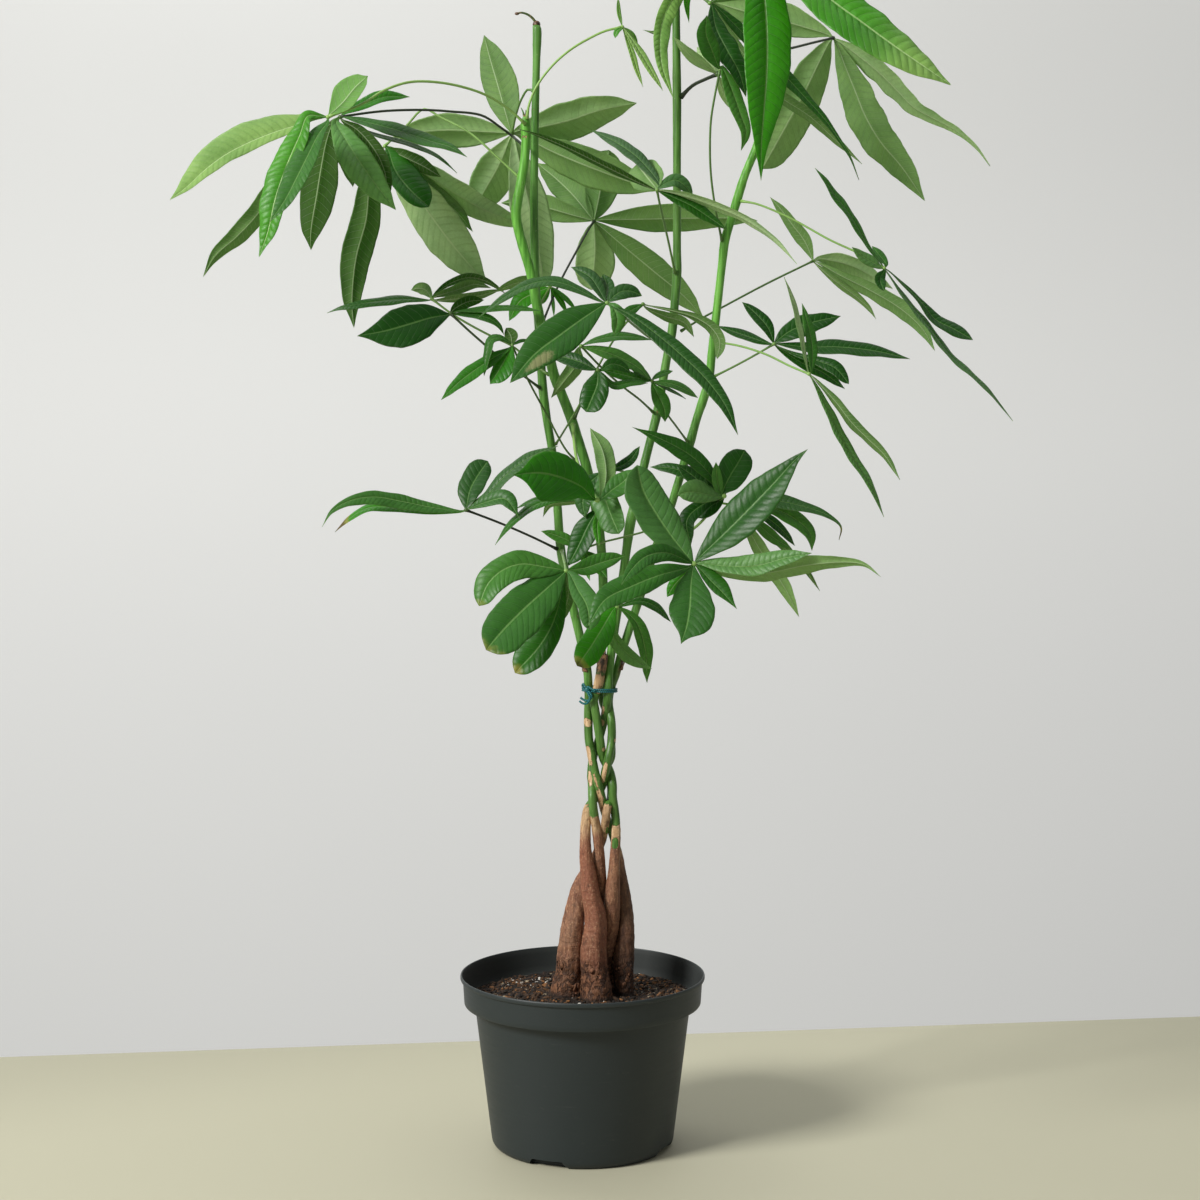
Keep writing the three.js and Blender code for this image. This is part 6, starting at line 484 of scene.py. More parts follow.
        ([[246, 119.9, 911.7], [266.4, 122, 895], [287.8, 124, 879.3], [301.9, 125.4, 866.8], [310.6, 126.6, 854.1]], 3.7, 3.7, -7, 8.2, 0.5, "U", 0.45, 0.0, 0.5, "", 0.08, 0, None, 0, 0),
    ]),
    ("leaf_right_trailing", 1.07, [298.5, -51.2, 900.6], [[159.2, -10, 968.8], [174.9, -16.6, 965.4], [207.2, -26.5, 951], [246.1, -38.1, 928.7], [273.3, -44.7, 915.6]], 0.7, 0.0, [
        ([[297.5, -51, 902.6], [282.8, -48.1, 922.3], [265.2, -44, 952.9], [250.4, -41.1, 972.6], [240.6, -39, 987.5], [230.8, -37.2, 999.3]], 4.9, 4.9, -8.6, 7.1, 0.62, "T", 0.4, 0.0, 0.8, "", 0.08, 0, None, 0.1, 0),
        ([[296.4, -52, 900.6], [286, -56.2, 906.3], [275.7, -60.4, 911.9], [265.3, -65.2, 920.5]], 5.9, 5.9, -5.3, 3.4, 0.5, "T", 0.75, 0.0, 0.5, "", 0.08, 0, None, 0.6, 0),
        ([[298.3, -53.3, 897.6], [293.7, -59.4, 889.5], [296.8, -68.1, 877.5]], 5.9, 5.9, 1.7, -3.6, 0.5, "T", 0.15, 0.0, 0.5, "", 0.08, 0, None, 0, 0),
        ([[300.8, -47.9, 903.7], [295.9, -37.9, 913], [289.1, -26.1, 923.4]], 4.9, 4.9, -3.9, 2.3, 0.5, "T", 0.3, 0.0, 0.5, "", 0.08, 0, None, 0, 0),
        ([[303.3, -52.3, 897.6], [318.8, -56.3, 882.8], [335.2, -60.6, 866], [348.7, -64.6, 849.3], [364.1, -67.9, 841.4], [384.2, -72.2, 829.6]], 6.9, 6.9, 7.3, -9.5, 0.58, "T", 0.05, 0.0, 0.9, "club", 0.08, 0, None, 0.1, 0),
        ([[301.3, -52.6, 896.6], [318.3, -61.5, 870.9], [340, -71.6, 843.3], [360.5, -81.7, 814.9], [379.2, -89.2, 797.4], [395, -95.7, 781.8], [418.9, -107.2, 751]], 4, 4, 8.4, -9.6, 0.4, "T", 0.4, 0.0, 0.8, "", 0.08, 0, None, 0.9, 0),
    ]),
    ("leaf_low_left", 1.22, [-114.7, -66.7, 662.2], [[-25.8, 1, 618.7], [-52.7, -20.4, 633.4], [-82, -43.6, 647.9]], 0.0, 1, [
        ([[-119.6, -66.9, 661.3], [-150, -70.7, 665.4], [-179.1, -78.3, 671.8], [-202.8, -87.4, 676.2], [-224.4, -98, 673.8], [-242.7, -110.6, 663.7], [-251.2, -122.7, 648.9]], 7.9, 6.4, -6.8, 3.7, 0.32, "T", 0.55, 0.0, 0.5, "drip", 0.08, 0, None, 0.4, 0),
        ([[-119.6, -66.9, 660.3], [-155.2, -68.7, 661.4], [-189.6, -70.5, 665.4], [-211.3, -71.6, 664.5], [-229, -72.6, 654.6], [-243.9, -73.7, 640.9]], 4, 4, -8.6, 7.3, 0.6, "T", 0.45, 0.3, 0.5, "", 0.12, 1.0, None, 0, 0),
        ([[-113.9, -63.4, 667], [-111.3, -53.6, 681.4], [-103.8, -42.7, 695.9], [-94.3, -31.7, 709.4]], 13.9, 11.9, 4.7, -7.9, 0.5, "T", 0.1, 0.0, 0.5, "blunt", 0.08, 0, None, 0.3, 0),
        ([[-110.7, -66, 666.2], [-95, -63.6, 675.9], [-76.2, -60.2, 695.6], [-51.5, -56.4, 714.3], [-23.7, -52.7, 725.1]], 5.9, 5.9, 7, -8.9, 0.5, "T", 0.25, 0.0, 0.5, "", 0.08, 0, None, 0.65, 0),
        ([[-109.6, -69.2, 664.3], [-90.4, -78.7, 671.8], [-75.3, -85.7, 674.1], [-60.3, -97.4, 655.1]], 8.9, 5.9, 4.7, -5.3, 0.6, "T", 0.3, 0.0, 0.5, "kite", 0.08, 0, None, 0.35, 0),
    ]),
    ("leaf_low_hidden", 1.22, [8, -51.7, 674.3], [[9.9, -17, 680.7], [9, -31.8, 677.4]], 0.4, 0.0, [
        ([[2.1, -52.2, 674.4], [-21.8, -54.4, 675.5], [-46.6, -56.7, 671.6], [-66.4, -58.7, 662.8]], 3, 3, -7.9, 6.9, 0.5, "T", 0.3, 0.0, 0.5, "", 0.08, 0, None, 0, 0),
        ([[2.1, -53.4, 672.4], [-21.7, -59.9, 672.8], [-46.3, -66.9, 667.2], [-63, -72.6, 655.6], [-73.8, -76.8, 645], [-85.4, -82.4, 628.6]], 4, 4, -8.7, 7.4, 0.5, "T", 0.3, 0.0, 0.5, "", 0.08, 0, None, 0, 0),
        ([[2, -47.6, 676.1], [-20.1, -33.3, 678.4], [-32.3, -24.9, 683.1], [-40.5, -16.7, 692.8]], 8, 7, 6.9, -3.9, 0.5, "U", 0.5, 0.0, 0.5, "", 0.08, 0, None, 0, 0),
        ([[2, -49.1, 671.2], [-19, -41.1, 668.8], [-33.1, -35.7, 665.5], [-39.3, -30.7, 653.2]], 4, 4, 3.9, -2.6, 0.5, "U", 0.5, 0.0, 0.5, "", 0.08, 0, None, 0, 0),
    ]),
    ("leaf_low_centre", 1.53, [15.1, -121.6, 675], [[-9.2, -16, 746.1], [-8.1, -29.2, 730.4], [-4.9, -52.3, 711.2], [3.3, -85.3, 692.7]], 0.8, 0.0, [
        ([[12.2, -124, 676.1], [1.7, -135.9, 687.3], [-15.4, -151.3, 696.6], [-38.8, -170.9, 703.1], [-63.7, -191.6, 702.1]], 25.2, 22.3, -19.8, 10.5, 0.4, "T", 0.1, 0.28, 0.3, "kite", 0.16, 0, None, 0.0, 0),
        ([[19, -118, 677.7], [23.8, -101.8, 698.3], [20, -83.6, 722.1], [8.1, -65.6, 743.2]], 8.7, 10.6, -2.2, 6, 0.55, "U", 0.4, 0.0, 0.5, "", 0.08, 0, None, 0.0, 0),
        ([[19, -120.4, 675.9], [29.6, -116.4, 684.4], [41.3, -112.1, 692.9], [51.1, -107.6, 704.4]], 9.7, 9.7, 5, -8.1, 0.55, "T", 0.6, 0.0, 0.5, "", 0.08, 0, None, 0.25, 0),
    ]),
    ("leaf_low_glossy", 1.33, [20.9, -81.6, 700.4], [[58.7, 3, 686.9], [46.2, -24.3, 696.1], [30.9, -59.4, 702.5]], 0.3, 0.0, [
        ([[20, -82.9, 698.5], [20.9, -92.5, 683.3], [26.8, -105.1, 664.4], [36.4, -120.8, 642]], 12.2, 14.8, -7, 3.5, 0.5, "T", 0.65, 0.0, 0.7, "blunt", 0.12, 0, None, 0.4, 0),
        ([[18, -82.1, 698.5], [7.2, -84.5, 688.8], [1.3, -87.2, 673.2], [3.3, -90, 655.7]], 9.8, 9.8, -6.4, 3.2, 0.5, "T", 0.2, 0.0, 0.5, "", 0.08, 0, None, 0.3, 0),
        ([[23.9, -79.2, 702.3], [35.8, -71.1, 705], [47.7, -62, 711.5], [57.8, -50.8, 725]], 4.9, 4.9, 3, -4.6, 0.6, "T", 0.0, 0.0, 0.5, "", 0.08, 0, None, 0, 0),
    ]),
    ("leaf_low_small", 1.02, [1.2, -76.6, 624.2], [[81.1, 1, 643.2], [61.4, -20.4, 637.4], [38, -40.2, 632.7], [18, -60.1, 629]], 0.5, 0.0, [
        ([[3.2, -75.2, 626.1], [10.1, -66.4, 642.4], [15, -55.6, 663.6]], 5.9, 5.9, 2, -3.9, 0.5, "T", 0.6, 0.4, 0.5, "", 0.13, 0, None, 0, 0),
        ([[0.2, -76.8, 625.2], [-16.5, -79.7, 634.3], [-26.3, -81.3, 638.4], [-40.1, -83.6, 642.5]], 5.4, 5.4, -5, 3.2, 0.5, "T", 0.65, 0.0, 0.5, "", 0.08, 0, None, 0.0, 0),
        ([[2.2, -77.4, 622.3], [12.1, -82.9, 611.8], [24.9, -90.6, 596.6]], 6.9, 5.9, 3.8, -5.3, 0.5, "T", 0.45, 0.0, 0.5, "", 0.08, 0, None, 0, 0),
        ([[0.2, -78.7, 621.4], [3.2, -87.7, 609.2], [8.2, -98.9, 594.4]], 3, 3, 1.9, -2.8, 0.5, "T", 0.6, 0.6, 0.5, "", 0.14, 0, None, 0, 0),
    ]),
    ("leaf_low_veined", 1.33, [18, -86.5, 667.3], [[15, -14, 657.3], [16, -47, 663.1]], 0.6, 0.0, [
        ([[17, -86.8, 665.3], [7.2, -89.1, 649.7], [-2.6, -92, 629.3], [-13.4, -94.9, 608.8]], 11.8, 11.8, -8.3, 4.6, 0.5, "T", 0.0, 0.1, 0.5, "", 0.12, 0, None, 0.0, 0),
        ([[18, -88.8, 663.5], [15.1, -97.2, 649.2], [17, -108.9, 629.5]], 4.4, 4.4, 1.4, -2.8, 0.5, "T", 0.75, 0.6, 0.5, "", 0.15, 0, None, 0, 0),
    ]),
    ("leaf_low_fan", 1.33, [-14.3, -171.9, 610.1], [[-20.7, -2, 616.9], [-18.9, -56.4, 615.8], [-16, -117.5, 612.5]], 0.5, 0.0, [
        ([[-17.1, -172.8, 611.1], [-34.1, -177.5, 614.3], [-55.7, -183.4, 617.6], [-73.5, -188.6, 612.4], [-87.5, -193.8, 599.6], [-95.8, -199.9, 579.3]], 14.3, 13.1, -11.6, 6.7, 0.5, "T", 0.6, 0.0, 0.3, "blunt", 0.1, 0.3, None, 0.1, 0),
        ([[-17.1, -174.9, 607.5], [-33.9, -191.3, 593.7], [-52.2, -209.7, 578.4], [-70.3, -229.1, 561.5], [-87.1, -248.9, 543.2]], 22.8, 20.9, -18, 9.9, 0.5, "T", 0.3, 0.0, 0.3, "blunt", 0.16, 0.3, None, 0.15, 0),
        ([[-16.2, -172.8, 606.3], [-20, -177.3, 582.9], [-27.5, -182, 559.5], [-40.7, -186.8, 538.1], [-62.4, -192.9, 515]], 13.7, 17.2, -9.5, 6.1, 0.58, "T", 0.25, 0.1, 0.3, "obovate", 0.08, 0.45, None, 0.0, 0),
        ([[-14.3, -170.2, 605.2], [-12.5, -163.5, 586.4], [-17.4, -156.9, 568.5], [-25.2, -150.9, 553.5]], 5.7, 5.7, 3.4, -1.6, 0.5, "U", 0.2, 0.0, 0.5, "", 0.08, 0, None, 0, 0),
        ([[-11.4, -175.4, 608.5], [-2.7, -194, 593.9], [5.8, -211.6, 580.4], [8.7, -234.9, 560.3]], 12.4, 8.6, 4, -5.7, 0.5, "T", 0.45, 0.0, 0.5, "blunt", 0.08, 0, None, 0.45, 0),
        ([[-10.5, -169.6, 610.8], [3.7, -160.9, 612.1], [20.9, -150, 617], [42.1, -136.9, 621.8]], 9.5, 7.6, 5, -6.6, 0.5, "T", 0.6, 0.0, 0.5, "", 0.08, 0, None, 0.05, 0),
    ]),
    ("leaf_front_large", 1.53, [106.4, -195.6, 618.6], [[76.1, 2, 627.8], [83.8, -52.6, 625.5], [92, -111.1, 622.8], [100.8, -167, 620.2]], 0.6, 0.0, [
        ([[101.7, -194.7, 624.2], [85.8, -191.4, 643.7], [69.8, -187.7, 667.1], [58.5, -184.7, 687.7], [52.9, -181.6, 711.1]], 18.8, 17.9, -13.2, 6.8, 0.48, "T", 0.55, 0.0, 0.4, "blunt", 0.12, 0, None, 0.6, 0),
        ([[109.2, -195.8, 622.4], [135.3, -197.5, 647.9], [158.6, -199, 671.5], [181.7, -200.6, 695.9], [200.2, -201.9, 716.5], [212.2, -202.6, 726.8]], 17.9, 17.9, 8.5, -14.3, 0.48, "T", 0.15, 0.0, 0.35, "drip", 0.18, 0, None, 0.15, 0),
        ([[110.1, -196.7, 619.6], [135.2, -203.6, 617.3], [162.8, -211.4, 617.9], [190.2, -219.3, 626], [214.7, -226.4, 631.2]], 10.6, 8.2, 5.6, -7.2, 0.5, "T", 0.75, 0.0, 0.7, "", 0.14, 0, None, 0.55, 0),
        ([[110.1, -196.4, 616.8], [144.6, -203.2, 610.7], [177, -209.6, 612.2], [209.1, -216, 619.2], [245.7, -223.3, 622.6], [263.9, -227, 620.1], [278.4, -230.6, 609.2]], 9.4, 9.4, -4.9, 7.9, 0.5, "U", 0.6, 0.0, 0.6, "drip", 0.08, 0, None, 0.0, 0),
        ([[102.6, -197.5, 615.9], [74.1, -209.4, 609.3], [45.9, -221.9, 599.1], [22.6, -232.7, 588], [6.9, -244.6, 565]], 11.3, 13.2, -9.3, 6.5, 0.52, "T", 0.3, 0.0, 0.5, "", 0.08, 0, None, 0.15, 0),
        ([[105.3, -199.5, 614.2], [103, -212, 600.2], [101.6, -227.5, 582.8], [98.3, -243.2, 565.8], [92.3, -258.6, 549.8]], 23.5, 18.8, -12.6, 4.2, 0.56, "T", 0.25, 0.0, 0.3, "kite", 0.1, 0, None, 0.15, 0),
        ([[110.1, -197.8, 615.9], [121.1, -205.8, 604.3], [132, -213.4, 593.7], [145.5, -223.6, 578.7]], 10.3, 5.6, 5.3, -5.1, 0.55, "T", 0.25, 0.0, 0.5, "drip", 0.08, 0, None, 0.0, 0),
        ([[101.6, -199.2, 620.7], [80.5, -214.9, 630.4], [61.6, -228.4, 628.6], [48.4, -240.6, 618.4], [37.3, -254.4, 603.8]], 8.5, 8.5, -7.2, 4.5, 0.5, "T", 0.3, 0.0, 0.5, "", 0.08, 0, None, 0.1, 0),
        ([[102.7, -194.4, 612.8], [94.3, -192.5, 605.1], [86.9, -190.5, 596.4], [81.3, -188.6, 586.8]], 7.5, 6.6, -6.4, 3.6, 0.5, "T", 0.6, 0.5, 0.5, "", 0.14, 0, None, 0, 0),
    ]),
    ("leaf_low_right_upper", 1.43, [141.7, -47.5, 675.1], [[80.1, 2, 630.9], [94.9, -14.5, 634], [111.6, -27.7, 640.9], [130.1, -40.9, 660.8]], 0.6, 0.0, [
        ([[140.7, -47.8, 677.1], [125.4, -51.6, 699.2], [107.4, -55.1, 716.2], [80.4, -59.5, 731.2], [49.6, -64.3, 744.2]], 9, 9, -7.6, 4.8, 0.5, "T", 0.3, 0.0, 0.5, "drip", 0.08, 0, None, 0.0, 0),
        ([[140.8, -45.3, 679], [148.2, -35.8, 694.6], [156.6, -27.5, 707.3], [164, -19.5, 720.1]], 15, 15, 5.1, -9.8, 0.55, "T", 0.2, 0.0, 0.5, "blunt", 0.08, 0, None, 0.0, 0),
        ([[137.6, -49.3, 679.2], [134.3, -53.7, 693.4], [133, -58.7, 709.4]], 5.5, 5.5, -3.4, 1.6, 0.5, "T", 0.8, 0.2, 0.5, "", 0.08, 0, None, 0.0, 0),
        ([[136.8, -45.9, 678.1], [127.9, -40.6, 694.8], [124.1, -36.3, 709.6]], 6, 6, -4.5, 2.6, 0.5, "T", 0.1, 0.0, 0.5, "", 0.08, 0, None, 0, 0),
        ([[138.6, -49.5, 674.2], [122.2, -60, 677.7], [107, -69.7, 680.2], [93.8, -78.3, 677.7]], 10, 12, -8.4, 6.1, 0.6, "T", 0.85, 0.0, 0.5, "", 0.08, 0, None, 0.45, 0),
        ([[138.7, -47.3, 676.1], [120.7, -46.3, 687.1], [106.8, -45.4, 698], [94.8, -44.7, 705.9]], 8, 8, -6.9, 4.3, 0.6, "T", 0.15, 0.0, 0.5, "", 0.08, 0, None, 0.2, 0),
        ([[137.8, -45.8, 677], [118.1, -36.6, 690.6], [93.4, -26.2, 701.2], [68.4, -16.7, 702.9]], 6, 6, -5.4, 3.5, 0.6, "T", 0.1, 0.0, 0.5, "", 0.08, 0, None, 0, 0),
        ([[138.6, -48.6, 673.2], [119.5, -55.1, 666.6], [104.3, -61.8, 652], [108.1, -69.9, 627.7]], 8, 8, -6.4, 3.8, 0.6, "T", 0.0, 0.0, 0.5, "", 0.08, 0, None, 0.0, 0),
        ([[139.7, -46.7, 672.1], [126, -43, 663.9], [112.1, -39.1, 653.7]], 9, 9, -7.6, 4.8, 0.5, "T", 0.1, 0.0, 0.5, "", 0.08, 0, None, 0, 0),
    ]),
    ("leaf_low_right_back", 1.22, [161.3, -18.4, 663.6], [[96.5, 8, 674.4], [119.6, -1.9, 668.8], [139.4, -11.8, 666.3]], 0.4, 0.0, [
        ([[164.3, -19.1, 664.6], [194.1, -26.3, 669], [223.7, -33.5, 663.4], [245.3, -39, 655.7], [259, -43.3, 643.9], [256.9, -46.4, 631.1]], 7.1, 7.1, 4.6, -6.8, 0.5, "T", 0.2, 0.0, 0.5, "whip", 0.08, 0.6, None, 0.45, 0),
        ([[164.4, -18.1, 661.5], [191.8, -16.1, 661.4], [215.3, -14.3, 650.2], [230.7, -12.7, 635.9], [232.9, -11.4, 617.5]], 8.1, 8.1, 4.4, -7, 0.6, "T", 0.6, 0.0, 0.5, "", 0.08, 0, None, 0.1, 0),
        ([[163.5, -16.2, 660.4], [182.5, -4.5, 653.7], [201.8, 9.2, 639.6], [218.4, 23.6, 620.2]], 5, 5, 3.1, -4.7, 0.6, "T", 0.1, 0.0, 0.5, "", 0.08, 0, None, 0, 0),
        ([[162.4, -17.1, 659.5], [178.1, -10.7, 644.9], [194.8, -4, 630.3], [213.7, 2.6, 618.6]], 6.1, 6.1, 3.5, -5.4, 0.6, "T", 0.65, 0.0, 0.5, "", 0.08, 0, None, 0.0, 0),
        ([[161.4, -18.1, 658.5], [171.7, -16.7, 634.1], [188.2, -14.9, 606.6], [205.7, -13.2, 580], [220.3, -11.4, 550.3]], 8.1, 8.1, -3.3, 5.9, 0.52, "U", 0.6, 0.0, 0.5, "", 0.08, 0, None, 0.0, 0),
        ([[163.5, -16, 659.4], [191.3, 3.6, 632.8], [223.8, 25.5, 603.5], [246.3, 44.6, 571.9]], 4, 4, -6.3, 7.6, 0.5, "U", 0.25, 0.0, 0.5, "", 0.08, 0, None, 0, 0),
    ]),
    ("leaf_low_front", 1.22, [34.7, -100.3, 568.9], [[40.4, -3, 578.1], [38.1, -37.7, 576.1], [35.8, -73.9, 572.4]], 0.5, 0.0, [
        ([[37.6, -99.8, 567.9], [53.4, -96.4, 553.8], [62.3, -92, 527.6], [64.5, -86.3, 492.1]], 7.8, 6.9, 2.7, -4.6, 0.5, "T", 0.6, 0.0, 0.5, "", 0.08, 0, None, 0.0, 0),
        ([[33.7, -101.6, 564.1], [29.7, -106.5, 544.9], [39.5, -111.1, 529.7], [53.1, -115.5, 518.4], [68.7, -119.9, 510.1]], 5.9, 7.8, 2.7, -5.9, 0.6, "T", 1.0, 0.0, 0.5, "", 0.08, 0, None, 0.3, 0),
        ([[38.6, -98, 569.7], [57.4, -86.9, 573.6], [73.4, -77.3, 566.8], [88.6, -65.3, 550.6]], 3.9, 3.9, 5, -6.3, 0.6, "T", 0.2, 0.0, 0.5, "", 0.08, 0, None, 0, 0),
        ([[31.7, -102.5, 567.2], [20.9, -114.8, 550.7], [8.3, -129.3, 531.7], [-4.2, -142.3, 515.7]], 13.7, 12.7, -10.5, 5.7, 0.6, "T", 0.25, 0.38, 0.5, "blunt", 0.1, 0.62, None, 0, 0),
    ]),
]


# ---------------------------------------------------------------- small helpers
def smooth(a, b, x):
    t = np.clip((x - a) / (b - a), 0, 1)
    return t * t * (3 - 2 * t)


def spline(points, n):
    """n points evenly spaced along a centripetal Catmull-Rom curve through points."""
    p = np.asarray(points, float)
    if len(p) == 2:
        return p[0] + (p[1] - p[0]) * np.linspace(0, 1, n)[:, None]
    ext = np.vstack([2 * p[0] - p[1], p, 2 * p[-1] - p[-2]])
    k = np.maximum(np.sqrt(np.linalg.norm(np.diff(ext[:, :3], axis=0), axis=1)), 1e-4)
    out = []
    for i in range(1, len(ext) - 2):
        a, b, c, d = ext[i - 1], ext[i], ext[i + 1], ext[i + 2]
        t0, t1 = 0.0, k[i - 1]
        t2 = t1 + k[i]
        t3 = t2 + k[i + 1]
        t = np.linspace(t1, t2, 14, endpoint=False)[:, None]
        A1 = (t1 - t) / (t1 - t0) * a + (t - t0) / (t1 - t0) * b
        A2 = (t2 - t) / (t2 - t1) * b + (t - t1) / (t2 - t1) * c
        A3 = (t3 - t) / (t3 - t2) * c + (t - t2) / (t3 - t2) * d
        B1 = (t2 - t) / (t2 - t0) * A1 + (t - t0) / (t2 - t0) * A2
        B2 = (t3 - t) / (t3 - t1) * A2 + (t - t1) / (t3 - t1) * A3
        out.append((t2 - t) / (t2 - t1) * B1 + (t - t1) / (t2 - t1) * B2)
    out.append(p[-1:])
    q = np.vstack(out)
    s = np.concatenate([[0], np.cumsum(np.linalg.norm(np.diff(q[:, :3], axis=0), axis=1))])
    u = np.linspace(0, s[-1], n)
    return np.stack([np.interp(u, s, q[:, j]) for j in range(q.shape[1])], 1)


def frames(path):
    """Tangent, normal and side along a path, turned as little as possible."""
    t = np.gradient(path, axis=0)
    t /= np.linalg.norm(t, axis=1)[:, None] + 1e-12
    n = np.zeros_like(t)
    ref = np.array([1.0, 0, 0]) if abs(t[0, 0]) < 0.9 else np.array([0, 1.0, 0])
    cur = ref
    for i in range(len(path)):
        cur = cur - t[i] * (cur @ t[i])
        cur = cur / np.linalg.norm(cur)
        n[i] = cur
    return t, n, np.cross(t, n)


class Build:
    """Collects vertices (mm), faces, material indices and a per-vertex colour and coordinate."""

    def __init__(self):
        self.v, self.f, self.m, self.c, self.q, self.k = [], [], [], [], [], []
        self.count = 0

    def add(self, verts, faces, mat, col, coord, mark=(0, 0, 0)):
        verts = np.asarray(verts, float)
        n = len(verts)
        self.v.append(verts)
        for face in faces:
            self.f.append([i + self.count for i in face])
        self.m += [mat] * len(faces) if isinstance(mat, int) else list(mat)
        col = np.asarray(col, float)
        self.c.append(np.tile(col, (n, 1)) if col.ndim == 1 else col)
        coord = np.asarray(coord, float)
        self.q.append(np.tile(coord, (n, 1)) if coord.ndim == 1 else coord)
        mark = np.asarray(mark, float)
        self.k.append(np.tile(mark, (n, 1)) if mark.ndim == 1 else mark)
        self.count += n

    def make(self, name, materials):
        me = bpy.data.meshes.new(name)
        v = np.vstack(self.v) * MM
        me.from_pydata(v.tolist(), [], self.f)
        for mat in materials:
            me.materials.append(mat)
        me.polygons.foreach_set("material_index", np.array(self.m, np.int32))
        me.polygons.foreach_set("use_smooth", np.ones(len(self.f), bool))
        a = me.attributes.new("look", "FLOAT_VECTOR", "POINT")
        a.data.foreach_set("vector", np.vstack(self.c).astype(np.float32).ravel())
        b = me.attributes.new("place", "FLOAT_VECTOR", "POINT")
        b.data.foreach_set("vector", np.vstack(self.q).astype(np.float32).ravel())
        k = me.attributes.new("mark", "FLOAT_VECTOR", "POINT")
        k.data.foreach_set("vector", np.vstack(self.k).astype(np.float32).ravel())
        me.update()
        ob = bpy.data.objects.new(name, me)
        bpy.context.scene.collection.objects.link(ob)
        return ob


def tube(b, path, radius, sides, mat, col, coord=None, shape=None):
    """A closed round bar. radius and col may vary along it; shape(i, angle) scales the radius."""
    path = np.asarray(path, float)
    n = len(path)
    radius = np.broadcast_to(np.asarray(radius, float), (n,))
    t, nn, ss = frames(path)
    ang = np.linspace(0, 2 * math.pi, sides, endpoint=False)
    rr = radius[:, None] * np.ones((n, sides))
    if shape is not None:
        rr = rr * shape(np.arange(n)[:, None], ang[None, :])
    v = path[:, None, :] + rr[..., None] * (np.cos(ang)[None, :, None] * nn[:, None, :] + np.sin(ang)[None, :, None] * ss[:, None, :])
    v = v.reshape(-1, 3)
    v = np.vstack([v, path[:1], path[-1:]])
    faces = []
    for i in range(n - 1):
        for k in range(sides):
            a, c = i * sides + k, i * sides + (k + 1) % sides
            faces.append([a, c, c + sides, a + sides])
    for k in range(sides):
        faces.append([n * sides, (k + 1) % sides, k])
        e = (n - 1) * sides
        faces.append([n * sides + 1, e + k, e + (k + 1) % sides])
    col = np.asarray(col, float)
    if col.ndim == 2 and len(col) == n:
        col = np.vstack([np.repeat(col, sides, axis=0), col[:1], col[-1:]])
    if coord is None:
        L = np.concatenate([[0], np.cumsum(np.linalg.norm(np.diff(path, axis=0), axis=1))])
        cc = np.stack([np.tile(ang, n), np.repeat(L, sides), np.repeat(radius, sides)], 1)
        coord = np.vstack([cc, [[0, 0, radius[0]]], [[0, L[-1], radius[-1]]]])
    b.add(v, faces, mat, col, coord)
    return v


def ball(b, centre, radius, mat, col, squash=(1, 1, 1), seg=10, rings=6):
    v, f = [], []
    for i in range(1, rings):
        p = math.pi * i / rings
        for k in range(seg):
            a = 2 * math.pi * k / seg
            v.append([math.sin(p) * math.cos(a), math.sin(p) * math.sin(a), math.cos(p)])
    v += [[0, 0, 1], [0, 0, -1]]
    top, bot = len(v) - 2, len(v) - 1
    for i in range(rings - 2):
        for k in range(seg):
            a, c = i * seg + k, i * seg + (k + 1) % seg
            f.append([a, a + seg, c + seg, c])
    for k in range(seg):
        f.append([top, k, (k + 1) % seg])
        e = (rings - 2) * seg
        f.append([bot, e + (k + 1) % seg, e + k])
    v = np.array(v) * radius * np.array(squash) + np.array(centre)
    b.add(v, f, mat, col, [0, 0, radius])


# ---------------------------------------------------------------- materials
TOP_DARK, TOP_MID, TOP_LIGHT = (0.007, 0.055, 0.0012), (0.034, 0.155, 0.014), (0.130, 0.310, 0.085)
TOP_FRESH, TOP_PALE = (0.030, 0.230, 0.0015), (0.260, 0.440, 0.130)
TOP_RIB, TOP_VEIN = (0.200, 0.400, 0.120), (0.070, 0.240, 0.050)
# underside colours: paler than the tops, and made brighter still as painted light for the glow of light shining through
# the blade
UNDER_DARK, UNDER_MID, UNDER_LIGHT = (0.045, 0.110, 0.014), (0.255, 0.440, 0.155), (0.520, 0.700, 0.400)
UNDER_FRESH, UNDER_PALE = (0.080, 0.300, 0.015), (0.330, 0.520, 0.140)
UNDER_RIB, UNDER_VEIN = (0.62, 0.78, 0.46), (0.46, 0.64, 0.34)
STEM_DARK, STEM_LIGHT, STEM_PALE = (0.040, 0.140, 0.014), (0.112, 0.300, 0.050), (0.170, 0.390, 0.085)


def new_mat(name):
    m = bpy.data.materials.new(name)
    m.use_nodes = True
    nt = m.node_tree
    nt.nodes.clear()
    out = nt.nodes.new("ShaderNodeOutputMaterial")
    p = nt.nodes.new("ShaderNodeBsdfPrincipled")
    nt.links.new(p.outputs[0], out.inputs[0])
    return m, nt, p, out


